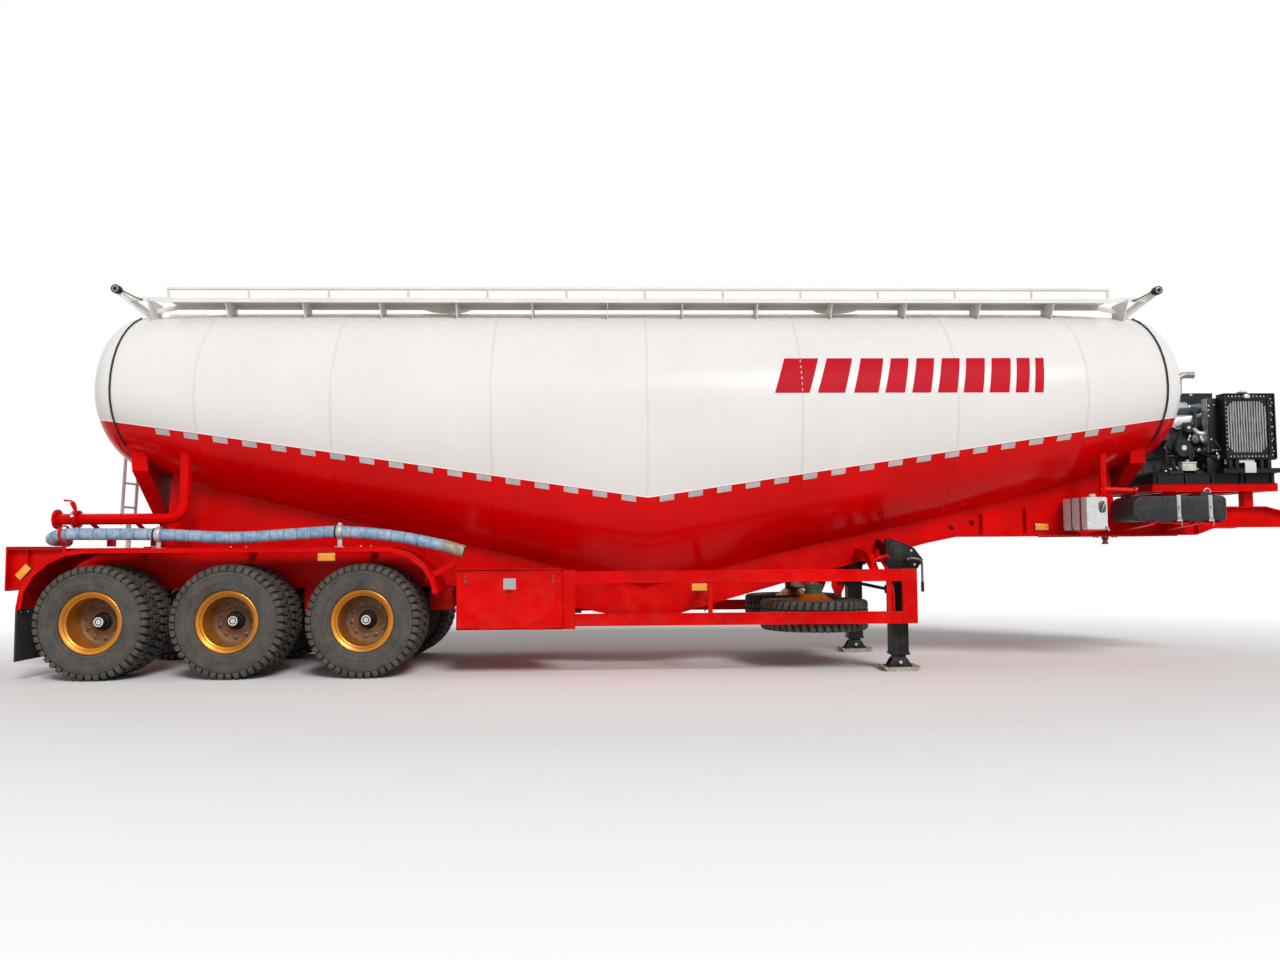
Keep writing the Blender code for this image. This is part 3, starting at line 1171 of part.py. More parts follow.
def build_ladder():
    """Ladder from the rear frame up the left of the rear end to the left catwalk."""
    y0, y1 = LADDER_Y
    foot_z = REAR_RAIL_TOP_Z + SEAT_GAP
    deck_z = CATWALK_Z + 0.05
    route = [(-5.86, 1.62), (-5.80, 3.10), (-5.62, 3.60), (-5.36, deck_z), (-4.97, deck_z)]
    parts = [tube([Vector((x, y, z)) for x, z in route], 0.018, 1) for y in (y0, y1)]
    for i in range(LADDER_RUNGS):
        z = 1.75 + 0.27 * i
        lower, upper = (route[0], route[1]) if z <= route[1][1] else (route[1], route[2])
        x = lower[0] + (upper[0] - lower[0]) * (z - lower[1]) / (upper[1] - lower[1])
        parts.append(rod((x, y0, z), (x, y1, z), 0.012, 6))
    parts.append(block((-5.00, -4.98), (y1 - 0.01, y1 + 0.01), (CATWALK_Z + SEAT_GAP, deck_z)))
    foot_y = WEB_Y
    parts.append(block((-5.89, -5.83), (y0 - 0.01, y1 + 0.01), (1.60, 1.66)))
    parts.append(block((-5.88, -5.84), (foot_y - 0.02, foot_y + 0.02), (foot_z, 1.62)))
    finish(union(parts), "ladder", "white_paint")


def build_trailer():
    build_tank()
    build_manhole_lids()
    for side in (-1, 1):
        build_catwalk(side)
        build_mudguard(side)
        build_toolbox(side)
        build_side_guard(side)
        build_landing_leg(side)
    for end in (-1, 1):
        build_conduit(end)
        build_saddle(end)
    build_rear_frame()
    build_keel_frame()
    build_gooseneck()
    build_wheels()
    build_axles()
    build_spares()
    build_engine_set()
    build_side_tanks()
    build_pipes()
    build_hose()
    build_ladder()


build_trailer()
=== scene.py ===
import math

import bmesh
import bpy
from mathutils import Matrix, Vector


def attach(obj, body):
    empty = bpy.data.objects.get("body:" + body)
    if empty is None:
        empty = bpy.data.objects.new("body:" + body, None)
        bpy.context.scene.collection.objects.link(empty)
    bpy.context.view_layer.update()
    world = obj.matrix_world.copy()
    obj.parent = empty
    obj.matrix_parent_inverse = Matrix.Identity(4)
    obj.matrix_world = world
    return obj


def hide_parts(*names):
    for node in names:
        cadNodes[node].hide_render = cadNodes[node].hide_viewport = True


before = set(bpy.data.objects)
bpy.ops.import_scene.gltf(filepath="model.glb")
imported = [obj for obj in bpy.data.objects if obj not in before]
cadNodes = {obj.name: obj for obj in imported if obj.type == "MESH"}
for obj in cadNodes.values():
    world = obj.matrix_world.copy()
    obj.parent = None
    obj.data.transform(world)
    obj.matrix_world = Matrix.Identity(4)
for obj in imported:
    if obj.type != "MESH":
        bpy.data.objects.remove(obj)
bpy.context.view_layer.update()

midX = -0.15  # the tank's middle seam; lengthwise sizes below are counted from it
sides = ((-1, "right"), (1, "left"))
print("frame loaded")


# Small helpers for node trees
def addNode(tree, kind, inputs=None, **settings):
    node = tree.nodes.new(kind)
    for key, value in settings.items():
        setattr(node, key, value)
    for key, value in (inputs or {}).items():
        if isinstance(value, bpy.types.NodeSocket):
            tree.links.new(value, node.inputs[key])
        else:
            node.inputs[key].default_value = value
    return node


def doMath(tree, operation, first, second=0.0, clamp=False):
    node = addNode(tree, "ShaderNodeMath", {0: first, 1: second}, operation=operation, use_clamp=clamp)
    return node.outputs[0]


def mixColor(tree, factor, first, second):
    first = (*first, 1.0) if isinstance(first, tuple) and len(first) == 3 else first
    second = (*second, 1.0) if isinstance(second, tuple) and len(second) == 3 else second
    node = addNode(tree, "ShaderNodeMix", {0: factor, 6: first, 7: second}, data_type="RGBA")
    return node.outputs[2]


def noise(tree, place, scale, detail=4.0, roughness=0.55, distortion=0.0):
    node = addNode(tree, "ShaderNodeTexNoise", {"Vector": place, "Scale": scale, "Detail": detail,
                                               "Roughness": roughness, "Distortion": distortion})
    return node.outputs["Fac"]


def span(tree, value, low, high, toLow=0.0, toHigh=1.0):
    node = addNode(tree, "ShaderNodeMapRange", {"Value": value, "From Min": low, "From Max": high,
                                               "To Min": toLow, "To Max": toHigh})
    return node.outputs["Result"]


def bump(tree, height, strength, distance):
    node = addNode(tree, "ShaderNodeBump", {"Height": height, "Strength": strength, "Distance": distance})
    return node.outputs["Normal"]


def startMaterial(name, specular=0.5, coat=0.0, metallic=0.0):
    material = bpy.data.materials.new(name)
    material.use_nodes = True
    tree = material.node_tree
    shader = tree.nodes["Principled BSDF"]
    shader.inputs["Specular IOR Level"].default_value = specular
    shader.inputs["Coat Weight"].default_value = coat
    shader.inputs["Coat Roughness"].default_value = 0.12
    shader.inputs["Metallic"].default_value = metallic
    place = addNode(tree, "ShaderNodeTexCoord").outputs["Object"]
    return material, tree, shader, place


def plug(material, shader, base, rough, normal):
    for socket, value in (("Base Color", base), ("Roughness", rough), ("Normal", normal)):
        material.node_tree.links.new(value, shader.inputs[socket])
    return material


# Finishes: every one reads Object coordinates, which are metres on the trailer
paintLook = {
    "dust": (0.33, 0.25, 0.18),
    "dustTop": 1.5,     # road dust thins out up to this height
    "mottle": 2.3,
    "orangePeel": 160.0,
}


def paintMaterial(name, color, shade=0.80, roughness=0.3, dustAmount=0.35, coat=0.12, metallic=0.0,
                  specular=0.28):
    material, tree, shader, place = startMaterial(name, specular, coat, metallic)
    broad = noise(tree, place, paintLook["mottle"], 6.0)
    fine = noise(tree, place, 38.0, 5.0, 0.65)
    dark = tuple(channel * shade for channel in color)
    base = mixColor(tree, span(tree, broad, 0.35, 0.68), dark, color)
    height = addNode(tree, "ShaderNodeSeparateXYZ", {0: place}).outputs["Z"]
    low = span(tree, height, 0.1, paintLook["dustTop"], 1.0, 0.12)
    up = addNode(tree, "ShaderNodeSeparateXYZ",
                 {0: addNode(tree, "ShaderNodeNewGeometry").outputs["Normal"]}).outputs["Z"]
    lying = span(tree, up, 0.35, 1.0, 0.0, 0.75)
    grime = doMath(tree, "MAXIMUM", low, lying)
    patchy = span(tree, noise(tree, place, 7.0, 8.0, 0.62), 0.42, 0.75)
    film = doMath(tree, "MULTIPLY", doMath(tree, "MULTIPLY", grime, patchy), dustAmount, True)
    soiled = mixColor(tree, film, base, paintLook["dust"])
    rough = doMath(tree, "ADD", span(tree, fine, 0.3, 0.8, roughness - 0.04, roughness + 0.10),
                   doMath(tree, "MULTIPLY", film, 0.8), True)
    peel = noise(tree, place, paintLook["orangePeel"], 2.0)
    return plug(material, shader, soiled, rough, bump(tree, peel, 0.3, 0.0005))


def metalMaterial(name, color, roughness=0.35, scratch=0.25, metallic=1.0):
    material, tree, shader, place = startMaterial(name, metallic=metallic)
    stretched = addNode(tree, "ShaderNodeMapping", {"Vector": place, "Scale": (6.0, 6.0, 60.0)})
    grain = noise(tree, stretched.outputs[0], 14.0, 6.0, 0.6)
    cloud = noise(tree, place, 9.0, 5.0)
    dull = tuple(channel * 0.55 for channel in color)
    base = mixColor(tree, span(tree, cloud, 0.4, 0.75, 0.0, 0.7), color, dull)
    rough = span(tree, grain, 0.25, 0.8, roughness - 0.1, roughness + scratch)
    return plug(material, shader, base, rough, bump(tree, grain, 0.15, 0.0004))


def castMaterial(name, color, roughness=0.55, oil=0.5):
    material, tree, shader, place = startMaterial(name, 0.22)
    grit = noise(tree, place, 220.0, 4.0, 0.7)
    stain = span(tree, noise(tree, place, 11.0, 7.0, 0.62), 0.40, 0.70)
    soil = tuple(channel * (1 - oil) for channel in color)
    dust = tuple(min(1.0, channel * 1.7 + 0.02) for channel in color)
    base = mixColor(tree, stain, soil, color)
    speckle = span(tree, noise(tree, place, 34.0, 5.0), 0.52, 0.80, 0.0, 0.55)
    rough = span(tree, stain, 0.0, 1.0, roughness - 0.2, roughness + 0.15)
    return plug(material, shader, mixColor(tree, speckle, base, dust), rough, bump(tree, grit, 0.5, 0.0012))


def rubberMaterial(name, color, dust, dustAmount=0.5, roughness=0.75):
    material, tree, shader, place = startMaterial(name, 0.35)
    cloud = span(tree, noise(tree, place, 5.5, 7.0, 0.65), 0.36, 0.72)
    grain = noise(tree, place, 260.0, 3.0, 0.7)
    streak = span(tree, noise(tree, place, 27.0, 6.0, 0.7), 0.45, 0.75)
    film = doMath(tree, "MULTIPLY", doMath(tree, "ADD", doMath(tree, "MULTIPLY", cloud, 0.75),
                                           doMath(tree, "MULTIPLY", streak, 0.35)), dustAmount, True)
    rough = span(tree, cloud, 0.0, 1.0, roughness - 0.12, roughness + 0.12)
    return plug(material, shader, mixColor(tree, film, color, dust), rough, bump(tree, grain, 0.4, 0.0008))


colors = {
    "red": (0.70, 0.0, 0.0),
    "tankRed": (0.74, 0.0, 0.001),
    "tankWhite": (0.765, 0.74, 0.72),
    "lineWhite": (0.90, 0.89, 0.87),
    "walkWhite": (0.80, 0.76, 0.71),
    "gold": (0.66, 0.235, 0.014),
    "discBrown": (0.22, 0.105, 0.045),
    "black": (0.012, 0.012, 0.013),
    "softBlack": (0.030, 0.030, 0.031),
    "tyre": (0.042, 0.037, 0.033),
    "tyreDust": (0.19, 0.165, 0.135),
    "grey": (0.60, 0.61, 0.60),
    "amber": (0.85, 0.30, 0.01),
    "iron": (0.024, 0.025, 0.027),
    "silver": (0.62, 0.63, 0.64),
    "green": (0.035, 0.10, 0.045),
}

red = paintMaterial("chassisRed", colors["red"], 0.72, 0.32, 0.08, 0.0, specular=0.07)
walkWhite = paintMaterial("walkwayWhite", colors["walkWhite"], 0.88, 0.42, 0.25, 0.1)
gold = paintMaterial("rimGold", colors["gold"], 0.62, 0.30, 0.22, 0.1, 0.6)
discBrown = paintMaterial("dustyDisc", colors["discBrown"], 0.6, 0.5, 0.5, 0.0, 0.2)
black = paintMaterial("blackEnamel", colors["black"], 0.75, 0.40, 0.12, 0.0, specular=0.16)
plastic = castMaterial("blackPlastic", colors["softBlack"], 0.5, 0.25)
greyPlastic = castMaterial("greyPlastic", colors["grey"], 0.5, 0.10)
iron = castMaterial("engineIron", colors["iron"], 0.5, 0.45)
silver = metalMaterial("bareAlloy", colors["silver"], 0.34)
chrome = metalMaterial("brightSteel", (0.72, 0.72, 0.72), 0.16, 0.12)
darkSteel = metalMaterial("darkSteel", (0.16, 0.15, 0.14), 0.42)
# the ground between the tread lugs gets near-black rubber: painted shade in the grooves
shadedTreadGround = rubberMaterial("treadGroundPaintedShade", (0.010, 0.009, 0.008), (0.045, 0.037, 0.030), 0.5, 0.85)
tyreRubber = rubberMaterial("tyreRubber", colors["tyre"], colors["tyreDust"])
flapRubber = rubberMaterial("flapRubber", (0.022, 0.022, 0.023), (0.08, 0.07, 0.06), 0.3)
green = paintMaterial("winchGreen", colors["green"], 0.6, 0.45, 0.5, 0.0)
amber = paintMaterial("amberLens", colors["amber"], 0.85, 0.25, 0.0, 0.6)
print("finishes made")


# Mesh helpers
def finishPiece(bm, name, materials, body="trailer", slot=None, replaced=(), smooth=40.0):
    bmesh.ops.translate(bm, vec=(midX, 0, 0), verts=bm.verts)
    mesh = bpy.data.meshes.new(name)
    bm.to_mesh(mesh)
    bm.free()
    for paint in materials if isinstance(materials, (list, tuple)) else [materials]:
        mesh.materials.append(paint)
    mesh.shade_smooth()
    mesh.set_sharp_from_angle(angle=math.radians(smooth))
    piece = bpy.data.objects.new(name, mesh)
    bpy.context.scene.collection.objects.link(piece)
    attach(piece, body)
    if replaced:
        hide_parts(*replaced)
    return piece


def addBox(bm, xs, ys, zs, bevel=0.0, index=0, segments=2, place=None):
    verts = bmesh.ops.create_cube(bm, size=1.0)["verts"]
    low = Vector((min(xs), min(ys), min(zs)))
    high = Vector((max(xs), max(ys), max(zs)))
    bmesh.ops.scale(bm, vec=high - low, verts=verts)
    bmesh.ops.translate(bm, vec=(low + high) / 2, verts=verts)
    if place is not None:
        bmesh.ops.transform(bm, matrix=place, verts=verts)
    for face in {face for vert in verts for face in vert.link_faces}:
        face.material_index = index
    if bevel > 0:
        edges = {edge for vert in verts for edge in vert.link_edges}
        bmesh.ops.bevel(bm, geom=list(edges), offset=bevel, segments=segments, affect="EDGES", profile=0.5,
                        clamp_overlap=True, material=index)


def axisFrame(start, end):
    start, end = Vector(start), Vector(end)
    turn = (end - start).to_track_quat("Z", "Y").to_matrix().to_4x4()
    return Matrix.Translation(start) @ turn


def addLathe(bm, profile, place, steps=48, closed=False):
    # profile rows are (radius, height) or (radius, height, finish index of the face after it)
    rings = []
    for row in profile:
        radius, height = row[:2]
        if radius < 1e-6:
            rings.append([bm.verts.new(place @ Vector((0, 0, height)))])
        else:
            turns = [2 * math.pi * i / steps for i in range(steps)]
            rings.append([bm.verts.new(place @ Vector((radius * math.cos(t), radius * math.sin(t), height)))
                          for t in turns])
    pairs = list(zip(rings, rings[1:])) + ([(rings[-1], rings[0])] if closed else [])
    made = []
    for number, (first, second) in enumerate(pairs):
        index = profile[number][2] if len(profile[number]) > 2 else 0
        for i in range(steps):
            j = (i + 1) % steps
            if len(first) == 1:
                corners = (first[0], second[i], second[j])
            elif len(second) == 1:
                corners = (first[i], second[0], first[j])
            else:
                corners = (first[i], second[i], second[j], first[j])
            face = bm.faces.new(corners)
            face.material_index = index
            made.append(face)
    return made


def addRod(bm, start, end, radius, index=0, steps=20, chamfer=0.0, endRadius=None):
    length = (Vector(end) - Vector(start)).length
    far = radius if endRadius is None else endRadius
    cut = min(chamfer, radius * 0.4, length * 0.3)
    profile = [(0, length, index), (far - cut, length, index)]
    if cut > 0:
        profile += [(far, length - cut, index), (radius, cut, index), (radius - cut, 0, index)]
    else:
        profile += [(radius, 0, index)]
    return addLathe(bm, profile + [(0, 0, index)], axisFrame(start, end), steps)


def aroundCircle(count, radius, first=0.0):
    # (across, up) of each place on a circle, the first one at an angle in degrees
    turns = [math.radians(first + 360 * i / count) for i in range(count)]
    return [(radius * math.cos(turn), radius * math.sin(turn)) for turn in turns]


def smoothRoute(points, perSpan=8):
    route = [Vector(p) for p in points]
    ends = [route[0] * 2 - route[1], *route, route[-1] * 2 - route[-2]]
    made = []
    for k in range(1, len(ends) - 2):
        a, b, c, d = ends[k - 1:k + 3]
        for i in range(perSpan):
            t = i / perSpan
            made.append(0.5 * ((2 * b) + (c - a) * t + (2 * a - 5 * b + 4 * c - d) * t * t
                               + (3 * b - a - 3 * c + d) * t ** 3))
    return made + [route[-1]]


def addTube(bm, route, radius, index=0, steps=20, uv=None, caps=True):
    # radius may be a number or a function of the length along the route
    along, rings = 0.0, []
    side = None
    for k, point in enumerate(route):
        before, after = route[max(k - 1, 0)], route[min(k + 1, len(route) - 1)]
        run = (after - before).normalized()
        if side is None:
            side = run.cross(Vector((0, 0, 1)) if abs(run.z) < 0.9 else Vector((1, 0, 0))).normalized()
        side = (side - run * side.dot(run)).normalized()
        up = run.cross(side)
        if k:
            along += (point - route[k - 1]).length
        size = radius(along) if callable(radius) else radius
        ring = [bm.verts.new(point + side * size * math.cos(2 * math.pi * i / steps)
                             + up * size * math.sin(2 * math.pi * i / steps)) for i in range(steps)]
        rings.append((ring, along))
    layer = bm.loops.layers.uv.verify() if uv else None
    for (first, near), (second, far) in zip(rings, rings[1:]):
        for i in range(steps):
            j = (i + 1) % steps
            face = bm.faces.new((first[i], first[j], second[j], second[i]))
            face.material_index = index
            if layer:
                for loop, spot in zip(face.loops, ((near, i), (near, i + 1), (far, i + 1), (far, i))):
                    loop[layer].uv = (spot[0], spot[1] / steps)
    if caps:
        for ring, flip in ((rings[0][0], True), (rings[-1][0], False)):
            face = bm.faces.new(ring[::-1] if flip else ring)
            face.material_index = index
    return along


def addPrism(bm, outline, axis, low, high, index=0, bevel=0.0):
    # outline of (across, up) points in the plane square to the axis
    def corner(point, depth):
        a, b = point
        return {"X": (depth, a, b), "Y": (a, depth, b), "Z": (a, b, depth)}[axis]
    near = [bm.verts.new(corner(p, low)) for p in outline]
    far = [bm.verts.new(corner(p, high)) for p in outline]
    faces = [bm.faces.new(near), bm.faces.new(far[::-1])]
    for i in range(len(outline)):
        j = (i + 1) % len(outline)
        faces.append(bm.faces.new((near[j], near[i], far[i], far[j])))
    for face in faces:
        face.material_index = index
    bmesh.ops.recalc_face_normals(bm, faces=faces)
    if bevel > 0:
        edges = {edge for face in faces for edge in face.edges}
        bmesh.ops.bevel(bm, geom=list(edges), offset=bevel, segments=2, affect="EDGES", profile=0.5,
                        clamp_overlap=True, material=index)
    return faces


# Geometry Nodes: copies of a model set round an axis, or in a row
def newTree(name, sockets):
    tree = bpy.data.node_groups.new(name, "GeometryNodeTree")
    for title, kind, value in sockets:
        socket = tree.interface.new_socket(title, in_out="INPUT", socket_type=kind)
        if value is not None:
            socket.default_value = value
    tree.interface.new_socket("Geometry", in_out="OUTPUT", socket_type="NodeSocketGeometry")
    return tree, addNode(tree, "NodeGroupInput").outputs


def closeTree(tree, geometry, finish):
    plain = addNode(tree, "GeometryNodeRealizeInstances", {"Geometry": geometry})
    painted = addNode(tree, "GeometryNodeSetMaterial", {"Geometry": plain.outputs[0], "Material": finish})
    addNode(tree, "NodeGroupOutput", {"Geometry": painted.outputs[0]})
    return tree


def roundTree():
    tree, given = newTree("aroundTheAxle", [("Count", "NodeSocketInt", 12), ("Turn", "NodeSocketFloat", 0.0),
                                            ("Model", "NodeSocketObject", None),
                                            ("Finish", "NodeSocketMaterial", None)])
    points = addNode(tree, "GeometryNodePoints", {"Count": given["Count"]})
    model = addNode(tree, "GeometryNodeObjectInfo", {"Object": given["Model"]})
    number = addNode(tree, "GeometryNodeInputIndex").outputs[0]
    share = doMath(tree, "DIVIDE", number, given["Count"])
    angle = doMath(tree, "ADD", doMath(tree, "MULTIPLY", share, 2 * math.pi), given["Turn"])
    turned = addNode(tree, "ShaderNodeCombineXYZ", {"Z": angle})
    copies = addNode(tree, "GeometryNodeInstanceOnPoints", {
        "Points": points.outputs[0], "Instance": model.outputs["Geometry"], "Rotation": turned.outputs[0]})
    return closeTree(tree, copies.outputs[0], given["Finish"])


def rowTree():
    tree, given = newTree("alongARow", [("Count", "NodeSocketInt", 12), ("Start", "NodeSocketVector", None),
                                        ("Step", "NodeSocketVector", None),
                                        ("Model", "NodeSocketObject", None),
                                        ("Finish", "NodeSocketMaterial", None)])
    line = addNode(tree, "GeometryNodeMeshLine", {"Count": given["Count"], "Start Location": given["Start"],
                                                  "Offset": given["Step"]}, mode="OFFSET")
    model = addNode(tree, "GeometryNodeObjectInfo", {"Object": given["Model"]})
    copies = addNode(tree, "GeometryNodeInstanceOnPoints", {"Points": line.outputs[0],
                                                            "Instance": model.outputs["Geometry"]})
    return closeTree(tree, copies.outputs[0], given["Finish"])


aroundTheAxle = roundTree()
alongARow = rowTree()


def grow(tree, model, finish, values):
    # runs a tree on a bare object and gives back its plain mesh
    mesh = bpy.data.meshes.new("model")
    model.to_mesh(mesh)
    model.free()
    pattern = bpy.data.objects.new("pattern", mesh)
    holder = bpy.data.objects.new("holder", bpy.data.meshes.new("holder"))
    for item in (pattern, holder):
        bpy.context.scene.collection.objects.link(item)
    modifier = holder.modifiers.new("copies", "NODES")
    modifier.node_group = tree
    given = dict(values, Model=pattern, Finish=finish)
    for socket in tree.interface.items_tree:
        if socket.in_out == "INPUT":
            modifier[socket.identifier] = given[socket.name]
    bpy.context.view_layer.update()
    graph = bpy.context.evaluated_depsgraph_get()
    made = bpy.data.meshes.new_from_object(holder.evaluated_get(graph))
    holder.modifiers.remove(modifier)
    for item in (pattern, holder):
        bpy.data.objects.remove(item)
    return made


def addMesh(bm, mesh, place=None, index=0):
    known = len(bm.faces)
    fresh = bmesh.new()
    fresh.from_mesh(mesh)
    if place is not None:
        bmesh.ops.transform(fresh, matrix=place, verts=fresh.verts)
        if place.determinant() < 0:
            bmesh.ops.reverse_faces(fresh, faces=fresh.faces)
    copy = bpy.data.meshes.new("copy")
    fresh.to_mesh(copy)
    fresh.free()
    bm.from_mesh(copy)
    bpy.data.meshes.remove(copy)
    bm.faces.ensure_lookup_table()
    for number in range(known, len(bm.faces)):
        bm.faces[number].material_index = index


# Tank: smooth shell over the barrel and both dished ends
tankLook = {
    "ringPoints": 144,
    "ringStep": 0.11,
    "beadHeight": 0.0035,
    "beadHalf": 0.012,
    "paintLineZ": 1.76,      # lower edge of the white, at the middle seam
    "paintLineRise": 0.147,  # its climb towards both ends
    "brightLine": 0.012,
    "tapeLength": 0.145,
    "tapeHeight": 0.055,
    "tapePitch": 0.29,
    "tapeReach": 5.2,
}
tankSections = ((0.0, 0.0, 0.0, 0.0, 0.0), (1.558, 0.0, 0.0, 0.42, 0.0), (3.139, 0.0, 0.03, 0.78, 0.0),
                (4.474, 0.01, 0.13, 1.12, 0.01), (5.313, 0.06, 0.22, 1.41, 0.05))
headDepth = 0.40
headRoundness = 2.3
seams = [row[0] for row in tankSections]


def tankSize(station):
    reach = min(abs(station), seams[-1])
    for near, far in zip(tankSections, tankSections[1:]):
        if reach <= far[0]:
            share = (reach - near[0]) / (far[0] - near[0])
            _, narrowing, rise, bottomRise, drop = [a + (b - a) * share for a, b in zip(near, far)]
            break
    return 1.25 - narrowing, 2.65 + rise, 0.70 + bottomRise, 3.85 - drop


def tankRing(station, grow=0.0, count=tankLook["ringPoints"]):
    halfWidth, widest, bottom, top = tankSize(station)
    ring = []
    for i in range(count):
        turn = 2 * math.pi * i / count
        height = (top - widest if math.cos(turn) >= 0 else widest - bottom) + grow
        ring.append(Vector((station, (halfWidth + grow) * math.sin(turn), widest + height * math.cos(turn))))
    return ring


def sidePoint(station, z, side, grow=0.0):
    # point of the shell at a height on one side
    halfWidth, widest, bottom, top = tankSize(station)
    height = top - widest if z >= widest else widest - bottom
    rise = max(-1.0, min(1.0, (z - widest) / height))
    flat = math.sqrt(1 - rise * rise)
    out = Vector((0, side * flat / halfWidth, rise / height)).normalized()
    return Vector((station, side * halfWidth * flat, z)) + out * grow


def headRings(end):
    base = tankRing(end * seams[-1])
    middle = Vector((end * seams[-1], 0, (base[0].z + base[len(base) // 2].z) / 2))
    rings = []
    for step in range(1, 23):
        angle = math.pi / 2 * (step / 22 * 0.995)
        reach = math.sin(angle)
        share = (1 - reach ** headRoundness) ** (1 / headRoundness)
        rings.append([middle + (p - middle) * share + Vector((end * headDepth * reach, 0, 0)) for p in base])
    return rings, middle + Vector((end * headDepth, 0, 0))


def paintLine(station):
    return tankLook["paintLineZ"] + tankLook["paintLineRise"] * abs(station)


def tankMaterial(name, color, shade, streak, roughness):
    material, tree, shader, place = startMaterial(name, 0.14)
    centred = addNode(tree, "ShaderNodeMapping", {"Vector": place, "Location": (-midX, 0, 0)}).outputs[0]
    parts = addNode(tree, "ShaderNodeSeparateXYZ", {0: centred}).outputs
    broad = noise(tree, place, 0.9, 5.0)
    dark = tuple(channel * shade for channel in color)
    base = mixColor(tree, span(tree, broad, 0.35, 0.70), dark, color)
    # run marks that fall from the walkway, drawn out down the shell
    runs = addNode(tree, "ShaderNodeMapping", {"Vector": place, "Scale": (9.0, 1.2, 0.5)}).outputs[0]
    marks = span(tree, noise(tree, runs, 2.4, 7.0, 0.66), 0.54, 0.86, 0.0, streak)
    base = mixColor(tree, marks, base, (0.36, 0.31, 0.26))
    # darker band beside each weld bead: painted shade of the bead
    reach = doMath(tree, "ABSOLUTE", parts["X"])
    line = None
    for seam in seams:
        gap = doMath(tree, "ABSOLUTE", doMath(tree, "SUBTRACT", reach, seam))
        near = span(tree, gap, 0.004, 0.020, 1.0, 0.0)
        line = near if line is None else doMath(tree, "MAXIMUM", line, near)
    line = doMath(tree, "MULTIPLY", line, 0.14)
    base = mixColor(tree, line, base, tuple(channel * 0.35 for channel in color))
    gloss = noise(tree, place, 7.0, 5.0, 0.55)
    wave = noise(tree, place, 1.7, 2.0)
    rough = span(tree, gloss, 0.3, 0.8, roughness - 0.04, roughness + 0.06)
    return plug(material, shader, base, rough, bump(tree, wave, 0.12, 0.02))


def makeTank():
    bm = bmesh.new()
    stations = []
    for near, far in zip(seams, seams[1:]):
        edge = tankLook["beadHalf"] * 1.2
        count = max(2, round((far - near) / tankLook["ringStep"]))
        stations += [near + edge + (far - near - 2 * edge) * i / count for i in range(count + 1)]
    barrel = []
    for station in stations:
        barrel += [(station, 0.0), (-station, 0.0)]
    half, height = tankLook["beadHalf"], tankLook["beadHeight"]
    for seam in {s * sign for s in seams for sign in (1, -1)}:
        barrel += [(seam + half * share, height * rise)
                   for share, rise in ((-1, 0), (-0.5, 0.75), (0, 1), (0.5, 0.75), (1, 0))]
    rows = [tankRing(station, rise) for station, rise in sorted(set(barrel))]
    # past the end seams the rings keep the end section until the dished end starts
    front, frontPole = headRings(1)
    rear, rearPole = headRings(-1)
    rings = rear[::-1] + rows + front
    rings = [[bm.verts.new(point) for point in ring] for ring in rings]
    count = tankLook["ringPoints"]
    for near, far in zip(rings, rings[1:]):
        for i in range(count):
            j = (i + 1) % count
            bm.faces.new((near[i], near[j], far[j], far[i]))
    for ring, pole, flip in ((rings[0], rearPole, False), (rings[-1], frontPole, True)):
        tip = bm.verts.new(pole)
        for i in range(count):
            j = (i + 1) % count
            bm.faces.new((ring[j], ring[i], tip) if not flip else (ring[i], ring[j], tip))
    bmesh.ops.recalc_face_normals(bm, faces=bm.faces)
    for end in (1, -1):
        for lift in (0.0, tankLook["brightLine"]):
            part = [face for face in bm.faces if face.calc_center_median().x * end > 0]
            geom = list({v for f in part for v in f.verts}) + list({e for f in part for e in f.edges}) + part
            bmesh.ops.bisect_plane(bm, geom=geom, dist=0.0004,
                                   plane_co=(0, 0, tankLook["paintLineZ"] + lift),
                                   plane_no=Vector((-tankLook["paintLineRise"] * end, 0, 1)).normalized())
    for face in bm.faces:
        centre = face.calc_center_median()
        lift = centre.z - paintLine(centre.x)
        face.material_index = 1 if lift < 0 else 2 if lift < tankLook["brightLine"] else 0
    finishPiece(bm, "tank_shell", [tankWhite, tankRed, lineWhite], slot="tank_paint",
                replaced=("tank_barrel", "tank_head_front", "tank_head_rear"), smooth=60)


def overBead(station):
    # paint and tape climb over the weld beads
    reach = tankLook["beadHalf"] * 1.25
    near = min(abs(abs(station) - seam) for seam in seams)
    return tankLook["beadHeight"] * max(0.0, 1.0 - (near / reach) ** 2)


def addDecal(bm, corners, side, lift=0.0016, across=36, up=6, index=0):
    # corners are (station, height) at bottom left, top left, top right, bottom right
    bl, tl, tr, br = [Vector(c) for c in corners]
    grid = []
    for i in range(across + 1):
        s = i / across
        low, high = bl.lerp(br, s), tl.lerp(tr, s)
        grid.append([bm.verts.new(sidePoint(p.x, p.y, side, lift + overBead(p.x))) for p in
                     (low.lerp(high, k / up) for k in range(up + 1))])
    for a, b in zip(grid, grid[1:]):
        for k in range(up):
            corners = (a[k], b[k], b[k + 1], a[k + 1])
            face = bm.faces.new(corners if side < 0 else corners[::-1])
            face.material_index = index


barEdges = ((1.277, 1.395, 1.743, 1.628), (1.709, 1.83, 2.091, 1.986), (2.076, 2.179, 2.412, 2.324),
            (2.392, 2.488, 2.671, 2.594), (2.665, 2.753, 2.934, 2.858), (2.927, 3.011, 3.197, 3.124),
            (3.189, 3.262, 3.454, 3.389), (3.455, 3.523, 3.719, 3.657), (3.721, 3.779, 3.914, 3.855),
            (3.915, 3.971, 4.057, 4.007))
barHeights = (2.80, 3.17)


